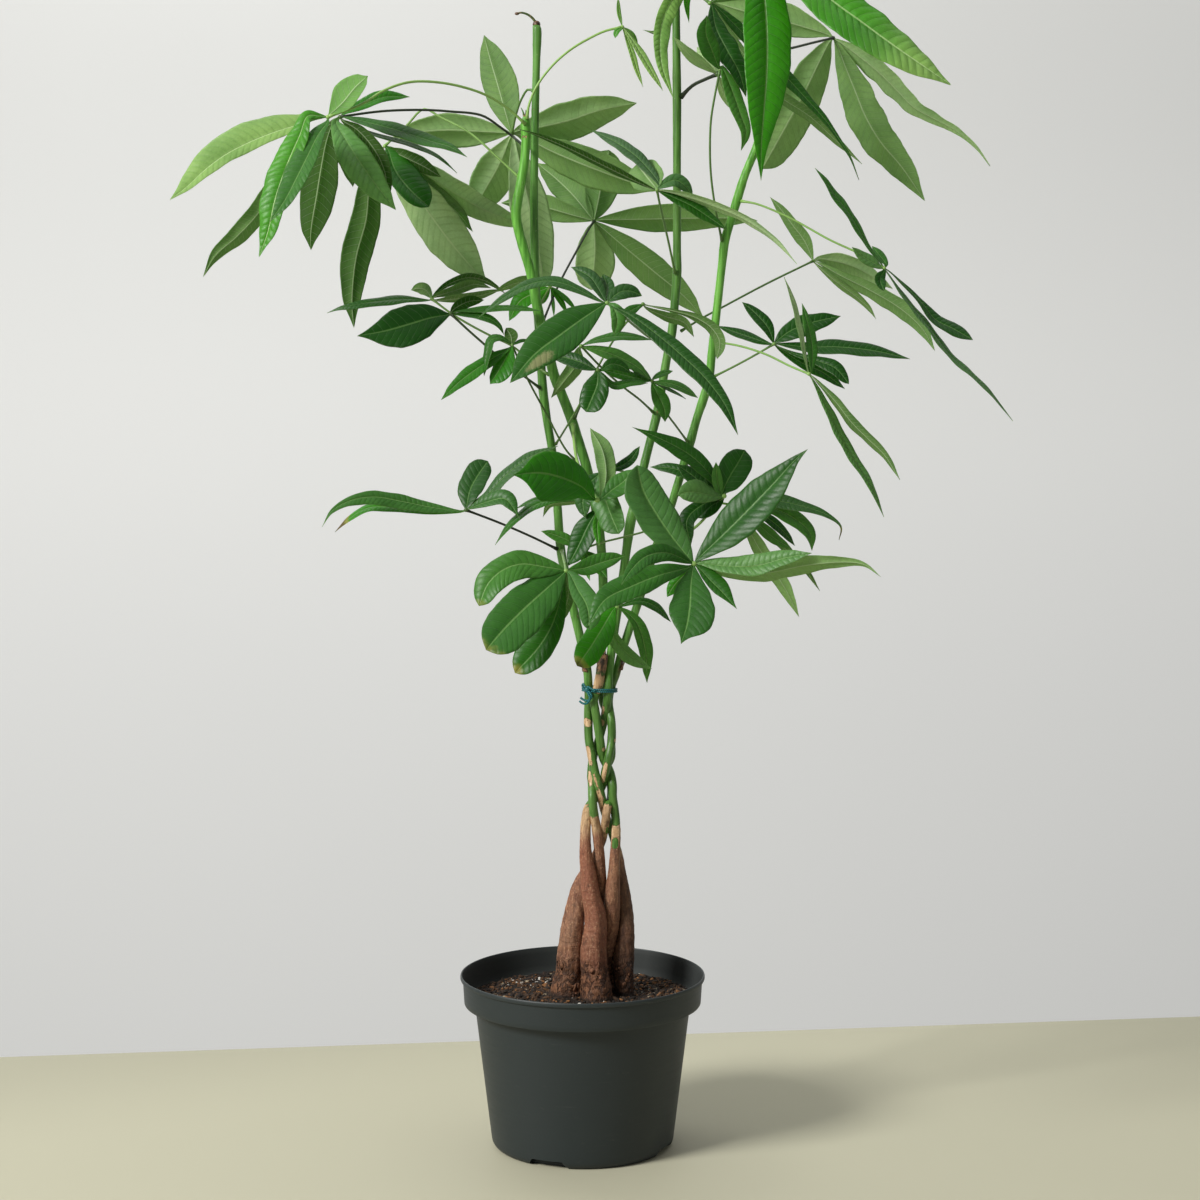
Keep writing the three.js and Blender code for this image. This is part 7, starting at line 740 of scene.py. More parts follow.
class N:
    """Short names for building a node tree."""

    def __init__(self, nt):
        self.nt = nt

    def node(self, kind, **props):
        n = self.nt.nodes.new(kind)
        for k, v in props.items():
            setattr(n, k, v)
        return n

    def set(self, sock, val):
        if hasattr(val, "is_linked") or isinstance(val, bpy.types.NodeSocket):
            self.nt.links.new(val, sock)
        else:
            sock.default_value = val

    def math(self, op, a, b=None, c=None, clamp=False):
        n = self.node("ShaderNodeMath", operation=op, use_clamp=clamp)
        self.set(n.inputs[0], a)
        if b is not None:
            self.set(n.inputs[1], b)
        if c is not None:
            self.set(n.inputs[2], c)
        return n.outputs[0]

    def step(self, x, lo, hi, a=0.0, b=1.0):
        n = self.node("ShaderNodeMapRange", interpolation_type="SMOOTHSTEP")
        self.set(n.inputs[0], x)
        n.inputs[1].default_value = lo
        n.inputs[2].default_value = hi
        n.inputs[3].default_value = a
        n.inputs[4].default_value = b
        return n.outputs[0]

    def mix(self, f, a, b, blend="MIX"):
        n = self.node("ShaderNodeMix", data_type="RGBA", blend_type=blend)
        self.set(n.inputs[0], f)
        self.set(n.inputs[6], a if not isinstance(a, tuple) else (*a, 1))
        self.set(n.inputs[7], b if not isinstance(b, tuple) else (*b, 1))
        return n.outputs[2]

    def noise(self, scale, detail=3, rough=0.55, vec=None, dist=0.0):
        n = self.node("ShaderNodeTexNoise")
        n.inputs["Scale"].default_value = scale
        n.inputs["Detail"].default_value = detail
        n.inputs["Roughness"].default_value = rough
        n.inputs["Distortion"].default_value = dist
        if vec is not None:
            self.nt.links.new(vec, n.inputs["Vector"])
        return n.outputs[0]

    def attr(self, name):
        a = self.node("ShaderNodeAttribute", attribute_name=name)
        s = self.node("ShaderNodeSeparateXYZ")
        self.nt.links.new(a.outputs["Vector"], s.inputs[0])
        return s.outputs[0], s.outputs[1], s.outputs[2]

    def obj(self, scale=(1, 1, 1)):
        t = self.node("ShaderNodeTexCoord")
        m = self.node("ShaderNodeMapping")
        m.inputs["Scale"].default_value = scale
        self.nt.links.new(t.outputs["Object"], m.inputs[0])
        return m.outputs[0]

    def bump(self, h, strength, distance, normal=None):
        n = self.node("ShaderNodeBump")
        n.inputs["Strength"].default_value = strength
        n.inputs["Distance"].default_value = distance
        self.nt.links.new(h, n.inputs["Height"])
        if normal is not None:
            self.nt.links.new(normal, n.inputs["Normal"])
        return n.outputs[0]


def leaf_material(name, under):
    """place: across (mm), along (mm), half-width here (mm). look: lightness and youth, both partly painted light, vein
    spacing (mm). mark: dried tip, pale dry patch, greyness as a painted sheen.
    """
    m, nt, p, out = new_mat(name)
    g = N(nt)
    tone, young, spacing = g.attr("look")
    dried, patch, grey = g.attr("mark")
    x, y, half = g.attr("place")
    ax = g.math("ABSOLUTE", x)
    # side veins rise from the midrib and curve towards the tip
    wob = g.noise(30.0, 2, 0.5, g.obj())
    curve = g.math("MULTIPLY", g.math("MULTIPLY", ax, ax), 0.012)
    ph = g.math("SUBTRACT", g.math("SUBTRACT", y, g.math("MULTIPLY", ax, 0.42)), curve)
    ph = g.math("ADD", ph, g.math("MULTIPLY", g.math("SUBTRACT", wob, 0.5), 2.4))
    side = g.math("MULTIPLY", g.math("SIGN", x), 0.27)
    ph = g.math("ADD", g.math("DIVIDE", ph, spacing), side)
    fr = g.math("ABSOLUTE", g.math("SUBTRACT", g.math("FRACT", ph), 0.5))  # 0.5 at a vein
    thin_line = g.math("DIVIDE", 0.36 if under else 0.32, spacing)
    vein = g.step(g.math("ADD", fr, thin_line), 0.475, 0.525)
    edge = g.math("SUBTRACT", half, ax)
    vein = g.math("MULTIPLY", vein, g.step(edge, 0.4, 4.0))
    # finer veins join the side veins across
    across = g.math("FRACT", g.math("DIVIDE", g.math("ADD", g.math("MULTIPLY", ax, 1.0), g.math("MULTIPLY", wob, 9.0)), 2.7))
    rung = g.step(g.math("ABSOLUTE", g.math("SUBTRACT", across, 0.5)), 0.40, 0.49)
    pillow = g.step(fr, 0.5, 0.12)
    rib_w = g.math("ADD", 0.30, g.math("MULTIPLY", half, 0.042))
    mid = g.step(g.math("DIVIDE", ax, rib_w), 1.0, 0.45)
    net = g.noise(460.0, 4, 0.65, g.obj())
    blot = g.noise(26.0, 4, 0.6, g.obj())
    if under:
        dark, mid_c, light = UNDER_DARK, UNDER_MID, UNDER_LIGHT
        fresh_c, pale_c, rib_c, vein_c = UNDER_FRESH, UNDER_PALE, UNDER_RIB, UNDER_VEIN
    else:
        dark, mid_c, light = TOP_DARK, TOP_MID, TOP_LIGHT
        fresh_c, pale_c, rib_c, vein_c = TOP_FRESH, TOP_PALE, TOP_RIB, TOP_VEIN
    # lightness and youth pick the colour: partly the leaflet's own colour, partly painted light matching how lit or
    # shaded it is
    base = g.mix(g.step(tone, 0.0, 0.5), dark, mid_c)
    base = g.mix(g.step(tone, 0.5, 1.0), base, light)
    base = g.mix(g.step(young, 0.0, 0.5), base, fresh_c)
    base = g.mix(g.step(young, 0.5, 1.0), base, pale_c)
    # painted sheen: greyness mixes in a bluish grey that stands in for the gloss reflecting on the blade
    base = g.mix(g.math("MULTIPLY", grey, 0.35), base, (0.150, 0.210, 0.150))
    base = g.mix(g.step(blot, 0.30, 0.72, 0.0, 0.50), base, g.mix(1.0, base, (1.55, 1.38, 1.30), "MULTIPLY"))
    base = g.mix(g.step(blot, 0.50, 0.28, 0.0, 0.50), base, g.mix(1.0, base, (0.66, 0.74, 0.60), "MULTIPLY"))
    base = g.mix(g.step(net, 0.35, 0.68, 0.0, 0.26), base, g.mix(1.0, base, (0.55, 0.63, 0.52), "MULTIPLY"))
    between = g.mix(1.0, base, (0.66, 0.75, 0.64), "MULTIPLY")
    base = g.mix(g.math("MULTIPLY", g.step(fr, 0.30, 0.46), 0.62 if under else 0.46), base, between)
    lighter = g.mix(g.step(tone, 0.0, 0.6, 0.34, 0.70) if under else 0.55, base, g.mix(g.step(young, 0.2, 0.9), vein_c, (0.30, 0.62, 0.14)))
    base = g.mix(g.math("MULTIPLY", vein, 0.72 if under else 0.46), base, lighter)
    base = g.mix(g.math("MULTIPLY", g.math("MULTIPLY", rung, g.step(fr, 0.46, 0.30)), 0.16 if under else 0.07), base, lighter)
    rib_mix = g.mix(g.step(young, 0.2, 0.9), rib_c, (0.62, 0.84, 0.40))
    rib_mix = g.mix(g.step(tone, 0.0, 0.6, 0.40, 0.06), rib_mix, base)
    base = g.mix(g.math("MULTIPLY", mid, 0.90 if under else 0.78), base, rib_mix)
    # thin paler margin, and dried brown where the tip has withered
    base = g.mix(g.step(edge, 0.7, 0.15, 0.0, 0.28), base, g.mix(0.5, base, (0.34, 0.42, 0.14)))
    pn = g.math("ADD", patch, g.math("MULTIPLY", g.math("SUBTRACT", net, 0.5), 0.9))
    base = g.mix(g.step(pn, 0.35, 0.75, 0.0, 0.65), base, (0.330, 0.300, 0.150))
    dn = g.math("ADD", dried, g.math("MULTIPLY", g.math("SUBTRACT", blot, 0.5), 0.8))
    base = g.mix(g.step(dn, 0.22, 0.42, 0.0, 0.75), base, (0.340, 0.270, 0.055))
    base = g.mix(g.step(dn, 0.45, 0.62, 0.0, 0.95), base, (0.120, 0.055, 0.022))
    nt.links.new(base, p.inputs["Base Color"])
    rough = g.math("ADD", g.math("MULTIPLY", blot, 0.24), 0.52 if under else 0.31)
    nt.links.new(rough, p.inputs["Roughness"])
    p.inputs["Specular IOR Level"].default_value = 0.30 if under else 0.36
    soft = g.noise(60.0, 3, 0.55, g.obj())
    h = g.math("ADD", g.math("MULTIPLY", g.math("MULTIPLY", pillow, soft), 0.62), g.math("ADD", g.math("MULTIPLY", net, 0.16), g.math("MULTIPLY", soft, 0.9)))
    if under:
        h = g.math("ADD", g.math("MULTIPLY", h, 0.4), g.math("ADD", g.math("MULTIPLY", vein, 0.55), g.math("MULTIPLY", mid, 1.2)))
    else:
        h = g.math("SUBTRACT", h, g.math("ADD", g.math("MULTIPLY", vein, 0.32), g.math("MULTIPLY", mid, 0.8)))
    nt.links.new(g.bump(h, 0.70, 0.0010), p.inputs["Normal"])
    # light passes through the thin blade
    tr = g.node("ShaderNodeBsdfTranslucent")
    thin = g.mix(g.step(tone, 0.0, 0.9), (0.12, 0.52, 0.015), (0.62, 0.88, 0.36) if under else (0.50, 0.85, 0.20))
    thin = g.mix(g.step(young, 0.0, 0.6), thin, (0.36, 0.95, 0.04))
    thin = g.mix(g.step(young, 0.6, 1.0), thin, (0.62, 0.90, 0.28))
    thin = g.mix(g.math("MULTIPLY", vein, 0.35), thin, (0.80, 1.0, 0.45))
    thin = g.mix(g.math("MULTIPLY", mid, 0.5), thin, (0.85, 1.0, 0.50))
    thin = g.mix(g.step(net, 0.35, 0.7, 0.0, 0.25), thin, g.mix(1.0, thin, (0.7, 0.75, 0.6), "MULTIPLY"))
    nt.links.new(thin, tr.inputs[0])
    ms = g.node("ShaderNodeMixShader")
    ms.inputs[0].default_value = 0.42 if under else 0.24
    nt.links.new(p.outputs[0], ms.inputs[1])
    nt.links.new(tr.outputs[0], ms.inputs[2])
    nt.links.new(ms.outputs[0], out.inputs[0])
    return m


def stalk_material():
    m, nt, p, out = new_mat("leaf_stalk")
    g = N(nt)
    tone, dark, rnd = g.attr("look")
    n = g.noise(90.0, 3, 0.5, g.obj())
    base = g.mix(tone, (0.040, 0.130, 0.016), (0.300, 0.520, 0.130))
    base = g.mix(g.math("MULTIPLY", dark, 0.92), base, (0.010, 0.014, 0.008))
    base = g.mix(g.step(n, 0.4, 0.7, 0, 0.3), base, g.mix(1.0, base, (0.7, 0.6, 0.5), "MULTIPLY"))
    nt.links.new(base, p.inputs["Base Color"])
    p.inputs["Roughness"].default_value = 0.42
    nt.links.new(g.bump(n, 0.4, 0.0004), p.inputs["Normal"])
    return m


def trunk_material():
    """look: brownness, bare tan wood, age of the bark. place: redness, how soil-stained the foot is, how dried. mark:
    painted shade darkening the lower bark, potting mix clinging, painted shade on the green (below 0: painted light).
    """
    m, nt, p, out = new_mat("trunk_bark")
    g = N(nt)
    brown, scar, age = g.attr("look")
    red, foot, dry = g.attr("place")
    painted_bark_shade, dust, braid = g.attr("mark")
    o = g.obj()
    fib = g.noise(60.0, 5, 0.62, g.obj((6.0, 6.0, 0.9)))
    fine = g.noise(520.0, 4, 0.65, g.obj((1.0, 1.0, 0.6)))
    patch = g.noise(34.0, 4, 0.6, o, 0.4)
    ragged = g.noise(120.0, 4, 0.65, g.obj((1.0, 1.0, 0.35)), 0.5)
    crust = g.noise(190.0, 4, 0.7, g.obj((1.0, 1.0, 0.7)), 0.6)
    wrinkle = g.noise(95.0, 4, 0.6, g.obj((0.45, 0.45, 3.6)), 0.3)
    big = g.noise(13.0, 2, 0.5, o)
    # bark: brown with a red cast, finely wrinkled, pale where it has just formed
    bark = g.mix(g.step(fib, 0.28, 0.72), (0.100, 0.040, 0.020), (0.370, 0.180, 0.096))
    bark = g.mix(g.step(patch, 0.40, 0.72, 0, 0.55), bark, (0.270, 0.165, 0.100))
    bark = g.mix(g.math("MULTIPLY", red, g.step(big, 0.35, 0.62, 0.20, 0.75)), bark, (0.270, 0.085, 0.045))
    bark = g.mix(g.step(wrinkle, 0.60, 0.76, 0, 0.20), bark, (0.070, 0.034, 0.020))
    bark = g.mix(g.step(crust, 0.55, 0.68, 0, 0.55), bark, (0.050, 0.025, 0.015))
    bark = g.mix(g.step(fine, 0.55, 0.70, 0, 0.60), bark, (0.58, 0.36, 0.21))
    bark = g.mix(g.step(fine, 0.46, 0.32, 0, 0.40), bark, (0.050, 0.024, 0.014))
    pale = g.mix(g.step(fib, 0.32, 0.68), (0.30, 0.170, 0.085), (0.58, 0.390, 0.220))
    pale = g.mix(g.step(crust, 0.58, 0.68, 0, 0.75), pale, (0.150, 0.070, 0.036))
    ages = g.math("ADD", age, g.math("MULTIPLY", g.math("SUBTRACT", ragged, 0.5), 0.7))
    bark = g.mix(g.step(ages, 0.15, 0.85), pale, bark)
    # the foot: rough, flaking orange-brown, stained and dusted with potting mix
    fn = g.math("ADD", foot, g.math("MULTIPLY", g.math("SUBTRACT", patch, 0.5), 1.1))
    fmask = g.step(fn, 0.30, 0.75)
    crumb = g.step(crust, 0.43, 0.52)
    foot_c = g.mix(crumb, (0.042, 0.019, 0.010), (0.230, 0.100, 0.045))
    foot_c = g.mix(g.step(fine, 0.58, 0.70, 0, 0.55), foot_c, (0.50, 0.26, 0.13))
    foot_c = g.mix(g.step(patch, 0.54, 0.68, 0, 0.40), foot_c, (0.055, 0.030, 0.018))
    bark = g.mix(g.math("MULTIPLY", fmask, 0.80), bark, foot_c)
    grime = g.math("ADD", g.math("MULTIPLY", g.math("SUBTRACT", big, 0.5), 1.6), g.math("MULTIPLY", g.math("SUBTRACT", crust, 0.5), 1.2))
    stain = g.step(g.math("ADD", foot, grime), 0.35, 1.0)
    bark = g.mix(g.math("MULTIPLY", stain, 0.16), bark, g.mix(1.0, bark, (0.30, 0.27, 0.26), "MULTIPLY"))
    clings = g.step(g.math("ADD", dust, g.math("MULTIPLY", g.math("SUBTRACT", crust, 0.5), 1.5)), 0.38, 0.62)
    bark = g.mix(g.math("MULTIPLY", clings, 0.92), bark, g.mix(g.step(fine, 0.4, 0.7), (0.010, 0.006, 0.004), (0.060, 0.034, 0.020)))
    # painted shade: the lower bark of trunks that stand in shade is darkened
    bark = g.mix(painted_bark_shade, bark, g.mix(1.0, bark, (0.30, 0.26, 0.22), "MULTIPLY"))
    # green stem
    streak = g.noise(40.0, 4, 0.55, g.obj((9.0, 9.0, 0.6)))
    green = g.mix(g.step(streak, 0.3, 0.7), STEM_DARK, STEM_LIGHT)
    green = g.mix(g.step(big, 0.45, 0.7, 0, 0.5), green, STEM_PALE)
    # painted light and shade on the green: negative marks paint lit stems brighter, positive marks paint the braid
    # below the tie and the centre back stem in shade
    green = g.mix(g.math("MULTIPLY", braid, -1.0), green, g.mix(1.0, green, (1.70, 1.85, 1.45), "MULTIPLY"))
    green = g.mix(g.math("MULTIPLY", braid, 0.75), green, g.mix(1.0, green, (0.74, 0.62, 0.62), "MULTIPLY"))
    speck = g.noise(520.0, 2, 0.5, g.obj((1, 1, 0.5)))
    green = g.mix(g.step(speck, 0.66, 0.76, 0, 0.5), green, (0.34, 0.46, 0.20))
    # brown where the bark has formed, with a torn edge
    nb = g.math("ADD", brown, g.math("MULTIPLY", g.math("SUBTRACT", ragged, 0.5), 1.3))
    nb = g.math("ADD", nb, g.math("MULTIPLY", g.math("SUBTRACT", crust, 0.5), 0.35))
    isb = g.step(nb, 0.47, 0.53)
    base = g.mix(isb, green, bark)
    ns = g.math("ADD", scar, g.math("MULTIPLY", g.math("SUBTRACT", ragged, 0.5), 1.7))
    ns = g.math("ADD", ns, g.math("MULTIPLY", g.math("SUBTRACT", crust, 0.5), 0.9))
    tan = g.mix(g.step(fib, 0.35, 0.66), (0.40, 0.250, 0.125), (0.660, 0.460, 0.270))
    tan = g.mix(g.step(crust, 0.56, 0.66, 0, 0.8), tan, (0.200, 0.090, 0.045))
    iss = g.step(ns, 0.48, 0.54)
    rim = g.math("MULTIPLY", g.step(ns, 0.40, 0.49), g.step(ns, 0.60, 0.50))
    base = g.mix(iss, base, tan)
    base = g.mix(g.math("MULTIPLY", rim, 0.55), base, (0.085, 0.060, 0.022))
    withered = g.mix(g.step(crust, 0.42, 0.62), (0.022, 0.013, 0.008), (0.230, 0.120, 0.060))
    base = g.mix(dry, base, withered)
    nt.links.new(base, p.inputs["Base Color"])
    nt.links.new(g.math("ADD", g.math("MULTIPLY", isb, 0.26), 0.40), p.inputs["Roughness"])
    p.inputs["Specular IOR Level"].default_value = 0.45
    hb = g.math("ADD", g.math("MULTIPLY", fib, 0.8), g.math("MULTIPLY", crust, 0.75))
    hb = g.math("ADD", hb, g.math("MULTIPLY", fine, 0.45))
    hb = g.math("SUBTRACT", hb, g.math("MULTIPLY", g.step(wrinkle, 0.54, 0.72), 0.22))
    hb = g.math("ADD", hb, g.math("MULTIPLY", g.math("MULTIPLY", fmask, crumb), 1.4))
    hg = g.math("MULTIPLY", streak, 0.30)
    h = g.math("ADD", g.math("MULTIPLY", hb, isb), g.math("MULTIPLY", hg, g.math("SUBTRACT", 1.0, isb)))
    h = g.math("SUBTRACT", h, g.math("MULTIPLY", iss, 0.6))
    nt.links.new(g.bump(h, 1.0, 0.0015), p.inputs["Normal"])
    return m


def pot_material(name, lo, hi, rough, gloss):
    m, nt, p, out = new_mat(name)
    g = N(nt)
    o = g.obj()
    grain = g.noise(900.0, 3, 0.6, o)
    cloud = g.noise(9.0, 3, 0.5, g.obj((1, 1, 0.5)))
    dust = g.noise(70.0, 4, 0.65, g.obj((1.0, 1.0, 2.2)))
    scuff = g.noise(38.0, 5, 0.7, g.obj((0.5, 0.5, 7.0)), 0.3)
    base = g.mix(cloud, lo, hi)
    base = g.mix(g.step(scuff, 0.60, 0.78, 0, 0.22), base, (0.075, 0.080, 0.076))
    base = g.mix(g.step(dust, 0.62, 0.80, 0, 0.12), base, (0.14, 0.13, 0.115))
    # painted highlight: the sharp edges, the rim's lip most of all, are painted paler as if catching the light
    geo = g.node("ShaderNodeNewGeometry")
    edge_painted_highlight = g.step(geo.outputs["Pointiness"], 0.53, 0.60)
    base = g.mix(g.math("MULTIPLY", edge_painted_highlight, 0.35), base, (0.12, 0.13, 0.125))
    nt.links.new(base, p.inputs["Base Color"])
    r = g.math("ADD", g.math("MULTIPLY", grain, 0.10), g.math("MULTIPLY", scuff, 0.14))
    nt.links.new(g.math("ADD", r, rough), p.inputs["Roughness"])
    p.inputs["Specular IOR Level"].default_value = gloss
    # faint moulding rings
    z = g.node("ShaderNodeSeparateXYZ")
    t = g.node("ShaderNodeTexCoord")
    nt.links.new(t.outputs["Object"], z.inputs[0])
    ring = g.math("SINE", g.math("MULTIPLY", z.outputs[2], 1450.0))
    h = g.math("ADD", g.math("MULTIPLY", grain, 0.5), g.math("MULTIPLY", ring, 0.06))
    nt.links.new(g.bump(h, 0.35, 0.0003), p.inputs["Normal"])
    return m


def soil_material():
    m, nt, p, out = new_mat("potting_mix")
    g = N(nt)
    o = g.obj()
    a = g.noise(260.0, 5, 0.7, o)
    b = g.noise(900.0, 3, 0.6, o)
    vor = g.node("ShaderNodeTexVoronoi", feature="F1")
    vor.inputs["Scale"].default_value = 330.0
    nt.links.new(o, vor.inputs["Vector"])
    sep = g.node("ShaderNodeSeparateColor")
    nt.links.new(vor.outputs["Color"], sep.inputs[0])
    base = g.mix(g.step(a, 0.3, 0.7), (0.0032, 0.0018, 0.0010), (0.023, 0.0112, 0.0048))
    base = g.mix(g.step(sep.outputs[0], 0.80, 0.88, 0, 0.8), base, (0.130, 0.058, 0.020))
    base = g.mix(g.step(sep.outputs[1], 0.965, 0.98, 0, 0.9), base, (0.42, 0.34, 0.23))
    nt.links.new(base, p.inputs["Base Color"])
    p.inputs["Roughness"].default_value = 0.9
    h = g.math("ADD", g.math("MULTIPLY", a, 1.0), g.math("MULTIPLY", b, 0.4))
    h = g.math("SUBTRACT", h, g.math("MULTIPLY", vor.outputs["Distance"], 0.8))
    nt.links.new(g.bump(h, 1.0, 0.0022), p.inputs["Normal"])
    return m


def grain_material(name, lo, hi, rough, scale=300.0, depth=0.0005):
    """look.x picks a shade for each grain."""
    m, nt, p, out = new_mat(name)
    g = N(nt)
    shade, _, _ = g.attr("look")
    n = g.noise(scale, 4, 0.65, g.obj((1, 1, 1)))
    base = g.mix(shade, lo, hi)
    base = g.mix(g.step(n, 0.35, 0.7, 0, 0.6), base, g.mix(1.0, base, (0.55, 0.5, 0.45), "MULTIPLY"))
    nt.links.new(base, p.inputs["Base Color"])
    p.inputs["Roughness"].default_value = rough
    nt.links.new(g.bump(n, 0.8, depth), p.inputs["Normal"])
    return m


def tie_material():
    m, nt, p, out = new_mat("tie_wire")
    g = N(nt)
    ang, along, rad = g.attr("place")
    tw = g.math("SINE", g.math("ADD", g.math("MULTIPLY", along, 3.2), g.math("MULTIPLY", ang, 2.0)))
    n = g.noise(300.0, 3, 0.5, g.obj())
    base = g.mix(g.step(tw, -0.4, 0.8), (0.003, 0.075, 0.085), (0.008, 0.190, 0.205))
    base = g.mix(g.step(n, 0.55, 0.75, 0, 0.3), base, (0.05, 0.34, 0.36))
    nt.links.new(base, p.inputs["Base Color"])
    p.inputs["Roughness"].default_value = 0.45
    nt.links.new(g.bump(g.math("ADD", tw, n), 0.6, 0.0004), p.inputs["Normal"])
    return m


LEAF_TOP = leaf_material("leaf_top", False)
LEAF_UNDER = leaf_material("leaf_under", True)
STALK = stalk_material()
BARK = trunk_material()
POT = pot_material("pot_plastic", (0.0140, 0.0205, 0.0222), (0.0205, 0.0280, 0.0300), 0.38, 0.42)
# the inside wall uses the same plastic in its own lighter colours: painted light brightening the shaded inside of the
# pot
POT_INSIDE_PAINTED_LIGHT = pot_material("pot_plastic_inside_painted_light", (0.0240, 0.0280, 0.0275), (0.0380, 0.0420, 0.0400), 0.58, 0.26)
SOIL = soil_material()
TIE = tie_material()
CHIP = grain_material("bark_chip", (0.009, 0.0055, 0.0035), (0.300, 0.130, 0.040), 0.85)
PERLITE = grain_material("perlite", (0.34, 0.30, 0.24), (0.84, 0.83, 0.79), 0.8, 500.0)


# ---------------------------------------------------------------- leaves
# Leaflet outlines as share of the length against share of the full half-width.
OUTLINES = {
    "blunt": [(0, 0), (0.10, 0.40), (0.25, 0.77), (0.45, 0.98), (0.62, 1.0), (0.78, 0.94), (0.89, 0.76), (0.955, 0.50), (1, 0)],
    "kite": [(0, 0), (0.12, 0.30), (0.30, 0.72), (0.50, 0.97), (0.60, 1.0), (0.70, 0.94), (0.80, 0.64), (0.88, 0.27), (0.94, 0.11), (1, 0)],
    "obovate": [(0, 0), (0.15, 0.27), (0.35, 0.62), (0.55, 0.92), (0.70, 1.0), (0.82, 0.94), (0.92, 0.70), (0.97, 0.42), (1, 0)],
    "drip": [(0, 0), (0.10, 0.34), (0.25, 0.78), (0.42, 1.0), (0.58, 0.94), (0.72, 0.70), (0.82, 0.42), (0.89, 0.22), (0.94, 0.11), (1, 0)],
    "whip": [(0, 0), (0.08, 0.50), (0.20, 0.92), (0.34, 1.0), (0.48, 0.82), (0.60, 0.60), (0.70, 0.42), (0.80, 0.26), (0.90, 0.13), (1, 0.03)],
    "club": [(0, 0.03), (0.20, 0.22), (0.40, 0.42), (0.55, 0.70), (0.70, 0.98), (0.80, 1.0), (0.90, 0.78), (0.96, 0.42), (1, 0)],
}


def width_at(t, widest, broad, outline):
    if outline in OUTLINES:
        k = np.array(OUTLINES[outline], float)
        # a smooth curve through the table
        tt = np.linspace(0, 1, 201)
        w = np.interp(tt, k[:, 0], k[:, 1])
        ker = np.hanning(17)
        ker /= ker.sum()
        pad = np.concatenate([-w[8:0:-1] + 2 * w[0], w, -w[-2:-10:-1] + 2 * w[-1]])
        w = np.clip(np.convolve(pad, ker, "valid"), 0, 1)
        return np.interp(t, tt, w)
    s = np.where(t < widest, t / widest, (1 - t) / (1 - widest))
    s = np.clip(s, 0, 1)
    w = np.sin(np.pi / 2 * s) ** np.where(t < widest, 0.92 + 0.20 * broad, 0.78 - 0.18 * broad)
    # a drawn-out drip tip
    return w * (1 - (0.35 + 0.30 * broad) * smooth(0.86 + 0.04 * broad, 0.985, t) * (1 - smooth(0.985, 1.0, t)))


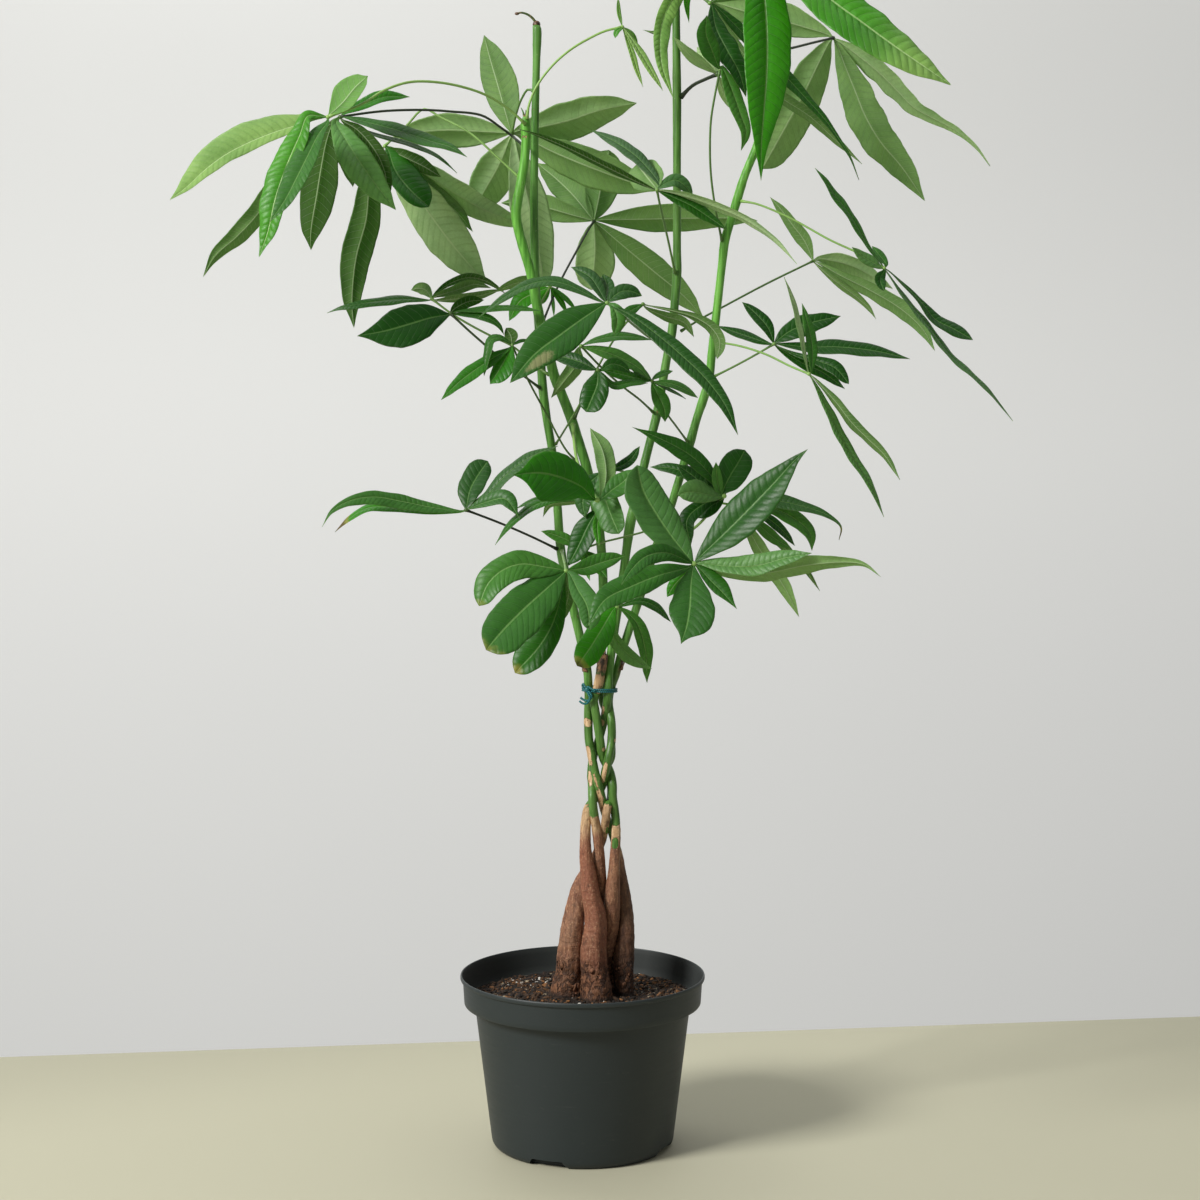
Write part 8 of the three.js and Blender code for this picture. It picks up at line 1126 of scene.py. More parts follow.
def blade(b, hub, leaflet, rng, pr):
    pts, l, r, dl, dr, widest, face, tone, young, wavy, outline, quilt, dried, patch, grey, tip_young = leaflet
    full = spline([hub] + list(pts), 60)
    length = np.linalg.norm(np.diff(full, axis=0), axis=1).sum()
    fine = quilt > 0.2
    n = int(np.clip(length / (1.45 if fine else 2.8), 14, 130 if fine else 72))
    P = spline([hub] + list(pts), n)
    t = np.linspace(0, 1, n)
    T = np.gradient(P, axis=0)
    side = np.stack([-T[:, 2], np.zeros(n), T[:, 0]], 1)
    side /= np.linalg.norm(side, axis=1)[:, None] + 1e-9
    reach = 4 if fine else 2
    ker = np.concatenate([np.arange(1, reach + 2), np.arange(reach, 0, -1)]).astype(float)
    ker /= ker.sum()
    side = np.stack([np.convolve(np.pad(side[:, j], reach, mode="edge"), ker, "valid") for j in range(3)], 1)
    side /= np.linalg.norm(side, axis=1)[:, None] + 1e-9
    T /= np.linalg.norm(T, axis=1)[:, None] + 1e-9
    Y = np.array([0, 1.0, 0])
    VL = side * l + Y * dl
    VR = -side * r + Y * dr
    broad = float(smooth(0.26, 0.46, (l + r) / length))
    w = width_at(t, widest, broad, outline)
    top = np.cross(T, VL - VR)
    top /= np.linalg.norm(top, axis=1)[:, None] + 1e-9
    want = -1.0 if face == "T" else 1.0
    if np.sum(top[:, 1] * w) * want < 0:
        top = -top
    half_cols = np.array([0.10, 0.22, 0.34, 0.46, 0.58, 0.70, 0.82, 0.92, 1.0]) if fine else np.array([0.13, 0.32, 0.52, 0.72, 0.88, 1.0])
    cols = np.concatenate([-half_cols[::-1], [0], half_cols])
    spacing = float(np.clip(3.6 + 0.24 * (l + r) / 2, 4.2, 9.5))
    ph1, ph2 = rng.uniform(0, 6.28, 2)
    lam = rng.uniform(26, 44)
    amp = (0.35 + 1.35 * wavy) * min(1.0, (l + r) / 24.0)
    s_along = t * length
    grid = []
    place = []
    hl, hr = np.linalg.norm(VL, axis=1), np.linalg.norm(VR, axis=1)
    ends = smooth(0.12, 0.35, t) * (1 - smooth(0.88, 1, t))
    lam2, lam3 = rng.uniform(22, 38), rng.uniform(9, 14)
    uneven = rng.uniform(0.35, 1.0, 80)
    petiolule = min(0.35, 3.0 / max(length, 1))
    base_w = 0.50 + 0.22 * pr
    marks = []
    pt, pc, ps = patch if patch else (0.5, 0.0, 0.0)
    for c in cols:
        a = abs(c)
        V, hw = (VL, hl) if c >= 0 else (VR, hr)
        pa, pb = (ph1, ph2) if c >= 0 else (ph2 + 1.7, ph1 + 0.6)
        ripple = (0.006 + 0.030 * wavy) * np.sin(s_along * 2 * math.pi / lam2 + pa) + (0.004 + 0.008 * wavy) * np.sin(s_along * 2 * math.pi / lam3 + pb)
        edge = w * (1 + ripple * ends * a)
        # never thinner than the leaflet's own short stalk near the hub
        floor_w = base_w / np.maximum(hw, 0.5) * (1 - smooth(0.5, 1.0, t / max(petiolule * 4, 1e-3)))
        ew = np.maximum(edge, floor_w)
        q = P + V * (a * ew)[:, None]
        bulge = 0.085 * hw * w * math.sin(math.pi * a) - 0.5 * (a < 0.01) * np.minimum(w, 0.8)
        wave = amp * a * a * np.sin(s_along * 2 * math.pi / lam + pa) * w
        across = a * hw * ew
        phase = (s_along - 0.42 * across - 0.012 * across ** 2) / spacing + (0.27 if c > 0 else -0.27)
        pillow = np.abs(np.sin(math.pi * phase)) ** 0.8
        height = np.interp(phase + 20, np.arange(80), uneven)
        veins = quilt * 1.25 * height * pillow * smooth(0, 0.15, a) * (1 - a) ** 0.6 * np.minimum(w * 1.5, 1)
        q = q + top * (bulge + wave + veins)[:, None]
        grid.append(q)
        place.append(np.stack([c * hw * ew, s_along, hw * ew], 1))
        tip = dried * smooth(0.80, 1.0, t + 0.05 * a * math.sin(pa))
        spot = ps * np.exp(-((t - pt) / 0.17) ** 2 - ((c - pc) / 0.38) ** 2)
        marks.append(np.stack([tip, spot, np.full(n, grey)], 1))
    G = np.stack(grid, 1)  # n, columns, 3
    Q = np.stack(place, 1)
    M = np.stack(marks, 1)
    k = len(cols)
    thick = 0.20 + 0.16 * (1 - np.abs(cols))
    A = G + top[:, None, :] * thick[None, :, None] * 0.5
    B = G - top[:, None, :] * thick[None, :, None] * 0.5
    # a raised rib along the underside
    rib = (np.abs(cols) < 0.01)[None, :, None] * top[:, None, :] * (0.75 * (1 - 0.7 * t))[:, None, None]
    B = B - rib
    v = np.concatenate([A.reshape(-1, 3), B.reshape(-1, 3)])
    off = n * k
    faces, mats = [], []
    for i in range(n - 1):
        for j in range(k - 1):
            a0, a1, a2, a3 = i * k + j, i * k + j + 1, (i + 1) * k + j + 1, (i + 1) * k + j
            fa = [a0, a1, a2, a3]
            fb = [off + a3, off + a2, off + a1, off + a0]
            faces += [fa, fb]
            mats += [0, 1]
    for i in range(n - 1):
        a0, a1 = i * k, (i + 1) * k
        faces.append([a0, a1, off + a1, off + a0])
        a0, a1 = i * k + k - 1, (i + 1) * k + k - 1
        faces.append([a1, a0, off + a0, off + a1])
        mats += [0, 0]
    for j in range(k - 1):
        faces.append([j + 1, j, off + j, off + j + 1])
        e = (n - 1) * k + j
        faces.append([e, e + 1, off + e + 1, off + e])
        mats += [0, 0]
    # the winding: the top faces must look along top
    f0 = faces[(n // 2) * (k - 1) * 2]
    nrm = np.cross(v[f0[1]] - v[f0[0]], v[f0[2]] - v[f0[0]])
    if nrm @ top[n // 2] < 0:
        faces = [f[::-1] for f in faces]
    col = np.zeros((n, k, 3))
    col[..., 0] = float(np.clip(tone + rng.uniform(-0.03, 0.03), 0, 1))
    col[..., 1] = (young + (tip_young - young) * smooth(0.52, 0.93, t))[:, None] if tip_young else young
    col[..., 2] = spacing
    col = col.reshape(-1, 3)
    Qf, Mf = Q.reshape(-1, 3), M.reshape(-1, 3)
    b.add(v, faces, mats, np.vstack([col, col]), np.vstack([Qf, Qf]), np.vstack([Mf, Mf]))


rng = np.random.default_rng(7)
leaf_objects = []
for name, pr, hub, stalk, ptone, pdark, leaflets in LEAVES:
    b = Build()
    for leaflet in leaflets:
        blade(b, hub, leaflet, rng, pr)
    path_len = np.linalg.norm(np.diff(np.array(stalk + [hub]), axis=0), axis=1).sum()
    n = int(np.clip(path_len / 5, 8, 60))
    path = spline(stalk + [hub], n)
    u = np.linspace(0, 1, n)
    L = u * path_len
    rad = pr * (1 + 0.75 * np.exp(-L / 5.0) + 0.55 * np.exp(-(path_len - L) / 3.0))
    tube(b, path, rad, 10, 2, [ptone, pdark, 0.5])
    ball(b, hub, pr * 1.75, 2, [min(1, ptone + 0.25), pdark * 0.55, 0.5], (1.1, 0.9, 1.0))
    ob = b.make("look_" + name, [LEAF_TOP, LEAF_UNDER, STALK])
    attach(ob, BODY)
    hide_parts(name)
    leaf_objects.append(ob)

# ---------------------------------------------------------------- trunks
def waves(points, seed, count, lo, hi, stretch=1.0):
    """Smooth random relief from -1 to 1 at points (mm); stretch over 1 draws it out along Z."""
    r = np.random.default_rng(seed)
    s = np.zeros(len(points))
    tot = 0.0
    for _ in range(count):
        k = math.exp(r.uniform(math.log(lo), math.log(hi)))
        d = r.normal(size=3)
        d /= np.linalg.norm(d)
        d = d * np.array([1, 1, 1 / stretch]) * k
        a = (lo / k) ** 0.6
        s += a * np.sin(points @ d + r.uniform(0, 6.28))
        tot += a * a
    return s / math.sqrt(tot * 1.2)


def level(v):
    """Height in mm of a point of the braid, from its row in the 1200-pixel view."""
    return 515.3 - (v - 650) * 1.0459


# Rows where green gives way to bare tan wood and where the bark is fully brown, then its red cast.
# Patches: row, half-height, side (-1 left to 1 right), half-width, kind, strength; kinds: tan, green, dry.
TRUNK_LOOK = {
    "trunk_right_back": (849, 845, 866, 0.15, [(721, 3.4, -0.3, 0.8, "tan", 1.1), (754, 9.5, -0.62, 0.55, "tan", 1.05), (778, 8.0, -0.35, 0.35, "tan", 0.85), (799, 12.0, -0.35, 0.62, "tan", 1.1), (664, 5, 0.1, 0.9, "dry", 0.7)]),
    "trunk_right_front": (824, 826, 852, 0.35, [(747, 2.6, 0.6, 0.5, "tan", 1.0), (828, 5.5, 0.0, 1.6, "tan", 1.2), (840, 5.0, -0.15, 0.55, "green", 1.3), (682, 9, 0, 1.6, "tan", 1.2), (658, 15, 0, 1.6, "dry", 1.3)]),
    "trunk_centre_back": (813, 818, 842, 0.4, [(722, 3.0, -0.35, 0.6, "tan", 1.0), (709, 5.0, -0.75, 0.4, "tan", 0.9), (776, 7.5, -0.45, 0.5, "tan", 1.05)]),
    "trunk_front": (803, 812, 852, 0.95, [(770, 11, -0.3, 0.5, "tan", 1.1), (664, 9, 0.8, 0.55, "dry", 1.0), (738, 2.2, 0.95, 0.3, "tan", 0.8)]),
    "trunk_left": (801, 822, 856, 0.3, [(820, 3.0, 0.55, 0.35, "dry", 0.9), (828, 4.0, 0.6, 0.35, "green", 1.1)]),
}
# painted light on the upper green stems: above 0 painted brighter as if lit, below 0 painted darker as in shade
PAINTED_STEM_LIGHT = {"trunk_right_back": 0.0, "trunk_right_front": 0.0, "trunk_centre_back": -0.6, "trunk_front": 0.78, "trunk_left": 0.78}
# painted shade on the lower bark, per trunk: highest for the trunks standing in shade
BARK_PAINTED_SHADE = {"trunk_right_back": 0.80, "trunk_right_front": 0.10, "trunk_centre_back": 0.30, "trunk_front": 0.12, "trunk_left": 0.05}
FEET = {name: next((q for q in path if q[2] < 160), path[-1]) for name, path in TRUNKS}
MIDDLE = np.mean([FEET[k][:2] for k in FEET], axis=0)
for name, path in TRUNKS:
    p = np.array(path)
    dense = spline(p, 3000)
    s = np.concatenate([[0], np.cumsum(np.linalg.norm(np.diff(dense[:, :3], axis=0), axis=1))])
    at, steps = 0.0, [0.0]
    while at < s[-1]:
        zz = np.interp(at, s, dense[:, 2])
        at += 1.5 if zz < 230 else (2.2 if zz < 530 else 4.0)
        steps.append(min(at, s[-1]))
    q = np.stack([np.interp(steps, s, dense[:, j]) for j in range(4)], 1)
    n = len(q)
    rad, z = q[:, 3], q[:, 2]
    v_green, v_pale, v_brown, red, patches = TRUNK_LOOK[name]
    seed = sum(ord(ch) for ch in name)
    r2 = np.random.default_rng(seed)
    bump = np.zeros(n)
    zn = z.max() - 20
    ridge_z = []
    while zn > 520:
        ridge_z.append(zn)
        zn -= r2.uniform(34, 74)
    for v0, _, _, _, kind, _ in patches:
        if kind == "tan":
            ridge_z.append(level(v0))
    for zn in ridge_z:
        bump += 0.07 * np.exp(-((z - zn) / 2.6) ** 2)
    phs = r2.uniform(0, 6.28, 8)
    brown_row = smooth(level(v_green) + 9, level(v_green) - 9, z)

    away = np.array(FEET[name][:2]) - MIDDLE
    a_out = math.atan2(-away[1], away[0])

    def shape(i, a, z=z, brown=brown_row, bump=bump, phs=phs, rad=rad, a_out=a_out, name=name):
        zi, bi = z[i], brown[i]
        fat = smooth(6.0, 13.0, rad[i])
        t = 1 + bump[i] * (0.75 + 0.25 * np.cos(a + phs[7]))
        t = t + bi * 0.030 * np.sin(3 * a + phs[0] + zi * 0.018) + bi * 0.018 * np.sin(5 * a + phs[1] - zi * 0.027)
        t = t + fat * 0.016 * np.sin(8 * a + phs[2] + 1.2 * np.sin(zi * 0.05 + phs[3]))
        t = t + bi * 0.010 * np.sin(zi * 0.62 + 2.2 * np.sin(a + phs[4])) + bi * 0.006 * np.sin(zi * 1.13 + a * 2 + phs[5])
        root = smooth(184, 153, zi)
        t = t + root * (0.05 + (0.30 if name == "trunk_left" else 0.18) * np.maximum(np.cos(a - a_out), 0) + 0.05 * np.sin(4 * a + phs[6] + 0.02 * zi))
        if name == "trunk_front":
            t = t + 0.13 * np.exp(-((zi - level(869)) / 13) ** 2) * np.maximum(np.cos(a), 0)
        if name == "trunk_right_front":  # leans against the trunk behind it
            t = t + 0.24 * np.exp(-((zi - level(932)) / 36) ** 2) * np.maximum(np.cos(a), 0)
        return t

    sides = 48
    tmp = Build()
    verts = tube(tmp, q[:, :3], rad, sides, 0, [0, 0, 0], None, shape)
    faces = tmp.f
    row = np.concatenate([np.repeat(np.arange(n), sides), [0, n - 1]])
    centre = q[row, :3]
    out = verts - centre
    norm = np.linalg.norm(out, axis=1)[:, None]
    out = out / np.maximum(norm, 1e-6)
    ring_mask = (norm[:, 0] > 0.1).astype(float)
    vz = verts[:, 2]
    side_c = np.clip((verts[:, 0] - centre[:, 0]) / rad[row], -1.3, 1.3)
    front = -(verts[:, 1] - centre[:, 1]) / rad[row]
    brown = smooth(level(v_green) + 9, level(v_green) - 9, vz)
    age = smooth(level(v_pale), level(v_brown), vz)
    scar, dry = np.zeros(len(verts)), np.zeros(len(verts))
    for v0, hv, sc, sw, kind, st in patches:
        val = st * np.exp(-np.abs((vz - level(v0)) / (hv * 1.046)) ** 3 * 0.7) * np.exp(-np.abs((side_c - sc) / sw) ** 3 * 0.7)
        if sw < 1.5:
            val = val * smooth(-0.25, 0.1, front)
        if kind == "tan":
            scar = np.maximum(scar, val)
        elif kind == "dry":
            dry = np.maximum(dry, np.clip(val, 0, 1))
        else:
            brown = brown * (1 - np.clip(val, 0, 1))
    for zn in ridge_z:
        if zn > 520:
            scar = np.maximum(scar, 0.30 * np.exp(-((vz - zn) / 2.0) ** 2))
    foot = smooth(232, 158, vz)
    rough = smooth(215, 165, vz) * brown
    rel = 0.10 * brown * waves(verts, seed + 1, 30, 0.5, 2.2)
    rel += 0.22 * smooth(300, 200, vz) * waves(verts, seed + 2, 30, 0.35, 1.5, 3.0)
    rel += rough * (0.50 * waves(verts, seed + 3, 40, 0.6, 2.2, 2.6) + 0.35 * np.maximum(waves(verts, seed + 4, 40, 0.9, 2.6), 0) * 1.6)
    rel += dry * 0.7 * waves(verts, seed + 5, 30, 0.5, 2.0, 2.0) - 0.18 * np.clip(scar, 0, 1)
    verts = verts + out * (rel * ring_mask)[:, None]
    b = Build()
    # painted shade on the lower bark, fading in below the braid
    painted_bark_shade = BARK_PAINTED_SHADE[name] * smooth(level(842), level(885), vz)
    dust = smooth(166, 154, vz) * 0.72
    # the third mark is painted light and shade on the green stems
    b.add(verts, faces, 0, np.stack([brown, scar, age], 1), np.stack([np.full(len(verts), red), foot, dry], 1), np.stack([painted_bark_shade, dust, smooth(520, 440, vz) - PAINTED_STEM_LIGHT[name] * smooth(620, 960, vz)], 1))
    # flaking bark on the front of the foot
    if rad.max() > 8:
        for k in range(int(26 * rad.max() / 14)):
            zz = 150 + 42 * r2.uniform(0, 1) ** 1.5
            i = int(np.argmin(np.abs(z - zz)))
            a = r2.uniform(math.pi * 0.95, math.pi * 2.05)
            c0 = q[i, :3] + rad[i] * np.array([math.cos(a), math.sin(a), 0])
            nrm_ = np.array([math.cos(a), math.sin(a), 0.0])
            tan_ = np.array([-math.sin(a), math.cos(a), 0.0])
            up_ = np.array([0, 0, 1.0])
            w_, h_ = r2.uniform(1.0, 2.6), r2.uniform(1.6, 4.6)
            lift = r2.uniform(0.3, 1.5)
            m_ = 7
            pts, fcs = [], []
            for layer in (0.0, 0.45):
                for j in range(m_):
                    b_ = 2 * math.pi * j / m_
                    rr_ = r2.uniform(0.75, 1.15) if layer == 0 else 1
                    x_, y_ = w_ * math.cos(b_) * rr_, h_ * math.sin(b_) * rr_
                    curl = lift * max(0.0, math.sin(b_)) + 0.15
                    pts.append(c0 + tan_ * x_ + up_ * y_ + nrm_ * (curl + layer - 0.25))
            for j in range(m_):
                j2 = (j + 1) % m_
                fcs.append([j, j2, m_ + j2, m_ + j])
            fcs.append(list(range(m_))[::-1])
            fcs.append(list(range(m_, 2 * m_)))
            b.add(pts, fcs, 0, [1.0, 0.0, 1.0], [0.5, r2.uniform(0.2, 1.0), 0.0])
    tip = q[0, :3]
    if name == "trunk_right_back":  # the dried stub of a fallen leaf stalk at the pruned top
        stub = spline([tip + [1, 0, -1], tip + [-2, 0, 5], tip + [-8, -1, 10], tip + [-15, -1, 12], tip + [-19, -1, 11]], 16)
        tube(b, stub, np.linspace(1.5, 0.9, 16), 8, 0, [0.0, 0.0, 0.0], np.tile([0.2, 0.0, 0.75], (130, 1)))
        ball(b, stub[-1], 2.0, 0, [0.0, 0.0, 0.0], (1.2, 1, 0.8))
        ball(b, tip + [0.5, 0, 0.5], 4.4, 0, [0.0, 0.25, 0.0], (0.9, 0.9, 0.9))
    if name == "trunk_left":
        for dx, h in ((-3.5, 9), (2.0, 12), (0.0, 7)):
            stub = spline([tip + [dx * 0.3, 0, -4], tip + [dx * 0.8, -1, h * 0.5], tip + [dx * 1.4, -1, h]], 10)
            tube(b, stub, np.linspace(1.7, 0.35, 10), 8, 0, [0.0, 0.35, 0.2], [0, 0, 0])
    if name == "trunk_right_front":  # a ragged dried end
        for k in range(6):
            a = 2 * math.pi * k / 6 + 0.4
            o = np.array([math.cos(a), math.sin(a), 0]) * 2.6
            stub = spline([tip + o + [0, 0, -7], tip + o * 0.9, tip + o * (0.7 + 0.2 * (k % 2)) + [0, 0, 2.0 + 2.2 * (k % 3)]], 8)
            tube(b, stub, np.linspace(2.1, 0.5, 8), 8, 0, [1.0, 0.0, 1.0], [0.2, 0, 1.0])
    # withered leaf-base scales that clasp the stems above the tie
    scales = {"trunk_right_back": [(663, 0.2, 7), (668, -0.5, 6)], "trunk_front": [(660, 0.75, 9), (668, 0.95, 8), (655, 0.3, 7)], "trunk_left": [(658, 0.0, 8)]}.get(name, [])
    for v0, sc, h_ in scales:
        i = int(np.argmin(np.abs(z - level(v0))))
        a0 = -math.pi / 2 + sc * 1.2
        m_, rows_ = 7, 5
        pts = []
        for layer in (0.0, 0.5):
            for k in range(rows_):
                t = k / (rows_ - 1)
                half_w = 0.75 * (1 - 0.75 * t)
                for j in range(m_):
                    a = a0 + half_w * (j / (m_ - 1) * 2 - 1)
                    rr_ = rad[i] + 0.3 + layer + 2.2 * t ** 1.5 + r2.uniform(-0.15, 0.15)
                    pts.append(q[i, :3] + [rr_ * math.cos(a), rr_ * math.sin(a), (t - 0.4) * h_ + r2.uniform(-0.3, 0.3)])
        off_, fcs = rows_ * m_, []
        for k in range(rows_ - 1):
            for j in range(m_ - 1):
                c_ = k * m_ + j
                fcs.append([off_ + c_, off_ + c_ + 1, off_ + c_ + m_ + 1, off_ + c_ + m_])
                fcs.append([c_, c_ + m_, c_ + m_ + 1, c_ + 1])
        for j in range(m_ - 1):
            fcs.append([j, j + 1, off_ + j + 1, off_ + j])
            e = (rows_ - 1) * m_ + j
            fcs.append([e + 1, e, off_ + e, off_ + e + 1])
        for k in range(rows_ - 1):
            c_ = k * m_
            fcs.append([c_ + m_, c_, off_ + c_, off_ + c_ + m_])
            e = k * m_ + m_ - 1
            fcs.append([e, e + m_, off_ + e + m_, off_ + e])
        b.add(pts, fcs, 0, [1.0, 0.0, 1.0], [0.2, 0, 1.0])
    ob = b.make("look_" + name, [BARK])
    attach(ob, BODY)
    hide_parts(name)

# ---------------------------------------------------------------- wire tie
b = Build()
C = np.array([17.6, 3.4, 474.5])
ring = []
for i in range(141):
    a = 2 * math.pi * i / 140 * 2.0
    k = i / 140
    ring.append(C + [17.6 * math.cos(a + 3.0), 15.0 * math.sin(a + 3.0), -2.2 + 4.4 * k + 1.3 * math.sin(a + 0.8)])
tube(b, np.array(ring), 1.0, 10, 0, [0.5, 0, 0])
K = C + [-13.5, -11.0, 0]
for pts, rr in (
    ([K + [3, -2, 2], K + [-1, -3, 4], K + [-3, -1, 7], K + [-4, 1, 5], K + [-2, 0, 1], K + [2, -3, -1]], 1.15),
    ([K + [1, -2, 1], K + [3, -4, -1], K + [5, -5, -4], K + [4.5, -5, -7.5], K + [1, -4, -10], K + [-3, -3, -9], K + [-6, -2, -7]], 1.2),
    ([K + [0, -2, 1], K + [2, -4.5, -3], K + [3.5, -6, -6], K + [3, -5.5, -10], K + [-0.5, -4.5, -13], K + [-4.5, -3, -12.5], K + [-7, -2, -10.5]], 1.1),
    ([K + [-1, -1, 3], K + [2, -3, 4], K + [5, -5, 2.5], K + [9, -6.5, 0.5]], 1.1),
):
    tube(b, spline(pts, 34), rr, 10, 0, [0.5, 0, 0])
ball(b, K + [1, -2.5, 1], 2.4, 0, [0.5, 0, 0], (1.2, 0.9, 1.3))
ob = b.make("look_stem_tie", [TIE])
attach(ob, BODY)
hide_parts("stem_tie")

# ---------------------------------------------------------------- pot
SEG = 144
RIM, HEIGHT, BAND_R, BAND_Z, BODY_R, FOOT = 126.3, 179.0, 122.3, 149.0, 111.5, 89.8


def wall_inner(z):
    if z > BAND_Z:
        return BAND_R - 1.9 + (RIM - BAND_R) * (z - BAND_Z) / (HEIGHT - BAND_Z)
    return FOOT + 4.5 - 2.6 + (BODY_R - FOOT - 4.5) * (z - 6) / (BAND_Z - 6)


def wall_outer(z):
    return FOOT + 4.5 + (BODY_R - FOOT - 4.5) * (z - 6) / (BAND_Z - 6)


def band(z):
    return BAND_R + (RIM - 2.3 - BAND_R) * (z - BAND_Z) / (HEIGHT - BAND_Z)


prof = [(0, 0), (60, 0), (FOOT - 5, 0), (FOOT - 2.5, 0), (FOOT - 0.7, 0.35), (FOOT + 0.9, 1.2), (FOOT + 2.4, 2.6), (FOOT + 3.5, 4.2), (FOOT + 4.3, 5.9), (FOOT + 4.7, 8)]
prof += [(wall_outer(z), z) for z in (20, 45, 75, 105, 130, 144)]
prof += [(BODY_R - 0.1, BAND_Z - 0.9), (BODY_R + 0.2, BAND_Z - 0.2), (BODY_R + 0.9, BAND_Z), (BAND_R - 1.4, BAND_Z), (BAND_R - 0.45, BAND_Z + 0.25), (BAND_R, BAND_Z + 1.0)]
prof += [(band(z), z) for z in (155, 162, 168, 173.6)]
prof += [(RIM - 1.7, HEIGHT - 4.9), (RIM - 0.5, HEIGHT - 4.5), (RIM, HEIGHT - 3.4), (RIM, HEIGHT - 1.4), (RIM - 0.35, HEIGHT - 0.35), (RIM - 0.9, HEIGHT), (RIM - 1.5, HEIGHT - 0.1), (RIM - 2.0, HEIGHT - 0.8)]
INNER_FROM = len(prof) - 1
prof += [(wall_inner(z), z) for z in (172, 166, 160, 154)]
prof += [(119.6, 152.0), (118.6, 151.0), (117.0, 150.6), (111.6, 150.4), (109.6, 149.8), (wall_inner(147), 147)]
prof += [(wall_inner(z), z) for z in (140, 110, 70, 30)]
prof += [(wall_inner(8), 8), (FOOT - 1.5, 4.4), (FOOT - 3, 3), (40, 3), (0, 3)]


def lathe(profile, seg):
    v, f = [], []
    rings = []
    for r, z in profile:
        if r == 0:
            rings.append([len(v)])
            v.append([0, 0, z])
        else:
            start = len(v)
            rings.append(list(range(start, start + seg)))
            for k in range(seg):
                a = 2 * math.pi * k / seg
                v.append([r * math.cos(a), r * math.sin(a), z])
    for A, B in zip(rings[:-1], rings[1:]):
        for k in range(seg):
            k2 = (k + 1) % seg
            if len(A) == 1:
                f.append([A[0], B[k2], B[k]])
            elif len(B) == 1:
                f.append([A[k], A[k2], B[0]])
            else:
                f.append([A[k], A[k2], B[k2], B[k]])
    return v, f


v, f = lathe(prof, SEG)
ring_of = np.concatenate([[i] * (1 if r == 0 else SEG) for i, (r, z) in enumerate(prof)])
b = Build()
# the inside faces take the lighter inside copy of the plastic, whose colour is painted light
painted_light_inside_face = [1 if min(ring_of[i] for i in face) >= INNER_FROM else 0 for face in f]
b.add(v, f, painted_light_inside_face, [0, 0, 0], [0, 0, 0])
pot = b.make("look_pot", [POT, POT_INSIDE_PAINTED_LIGHT])
cut_b = Build()
for ang in (-112.6, -22.6, 67.4, 157.4):
    a = math.radians(ang)
    prof2 = [(-21.5, -4), (21.5, -4), (21.5, 0), (17.4, 6.9), (16.2, 7.8), (-16.2, 7.8), (-17.4, 6.9), (-21.5, 0)]
    vv = []
    for x in (82.0, 106.0):
        for s, z in prof2:
            vv.append([x * math.cos(a) - s * math.sin(a), x * math.sin(a) + s * math.cos(a), z])
    k = len(prof2)
    ff = [list(range(k))[::-1], list(range(k, 2 * k))] + [[i, (i + 1) % k, k + (i + 1) % k, k + i] for i in range(k)]
    cut_b.add(vv, ff, 0, [0, 0, 0], [0, 0, 0])
cutter = cut_b.make("cutter", [POT])
mod = pot.modifiers.new("drain", "BOOLEAN")
mod.operation = "DIFFERENCE"
mod.solver = "EXACT"
mod.object = cutter
dg = bpy.context.evaluated_depsgraph_get()
done = bpy.data.meshes.new_from_object(pot.evaluated_get(dg))
pot.modifiers.clear()
pot.data = done
bpy.data.objects.remove(cutter, do_unlink=True)
for poly in pot.data.polygons:
    poly.use_smooth = True
try:
    pot.data.set_sharp_from_angle(angle=math.radians(42))
except AttributeError:
    pass
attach(pot, BODY)
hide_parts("pot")

# ---------------------------------------------------------------- potting mix
rs = np.random.default_rng(11)


def field(x, y, seed, count=26, lo=0.04, hi=0.5):
    r = np.random.default_rng(seed)
    s = np.zeros_like(x)
    for _ in range(count):
        k = math.exp(r.uniform(math.log(lo), math.log(hi)))
        a = r.uniform(0, 2 * math.pi)
        s = s + np.sin(k * (x * math.cos(a) + y * math.sin(a)) + r.uniform(0, 6.28)) / (1 + k * 4)
    return s / math.sqrt(count)


def soil_height(x, y):
    r = np.hypot(x, y)
    mound = 2.2 * np.exp(-((np.hypot(x - 8, y - 2)) / 42) ** 2)
    return 153.4 + mound + 1.5 * field(x, y, 3) - 0.8 * smooth(104, 116, r)


SOIL_R = 117.2
rings_n, seg = 84, 200
vs, cs = [], []
for i in range(rings_n + 1):
    r = SOIL_R * (i / rings_n) ** 0.92
    a = np.linspace(0, 2 * math.pi, seg, endpoint=False) + (i % 2) * math.pi / seg
    x, y = r * np.cos(a), r * np.sin(a)
    zz = soil_height(x, y) + rs.normal(0, 0.55, seg) * (0.4 if i == 0 else 1)
    vs.append(np.stack([x, y, zz], 1))
V = np.vstack(vs)
V[:seg, 2] = V[:seg, 2].mean()
F = []
for i in range(1, rings_n):
    for k in range(seg):
        k2 = (k + 1) % seg
        F.append([i * seg + k, (i + 1) * seg + k, (i + 1) * seg + k2, i * seg + k2])
F.append([seg + k for k in range(seg)])
V = V.copy()
used_base = len(V)
lower = []
for rr, zz in ((116.6, 151.2), (107.6, 151.0), (wall_inner(140) - 0.8, 140.0), (wall_inner(30) - 0.6, 30.0), (wall_inner(8) - 0.6, 8.0), (78.0, 3.6)):
    a = np.linspace(0, 2 * math.pi, seg, endpoint=False) + (rings_n % 2) * math.pi / seg
    lower.append(np.stack([rr * np.cos(a), rr * np.sin(a), np.full(seg, zz)], 1))
V = np.vstack([V] + lower)
prev = rings_n * seg
for j in range(len(lower)):
    cur = used_base + j * seg
    for k in range(seg):
        k2 = (k + 1) % seg
        F.append([prev + k, cur + k, cur + k2, prev + k2])
    prev = cur
F.append([prev + k for k in range(seg)][::-1])
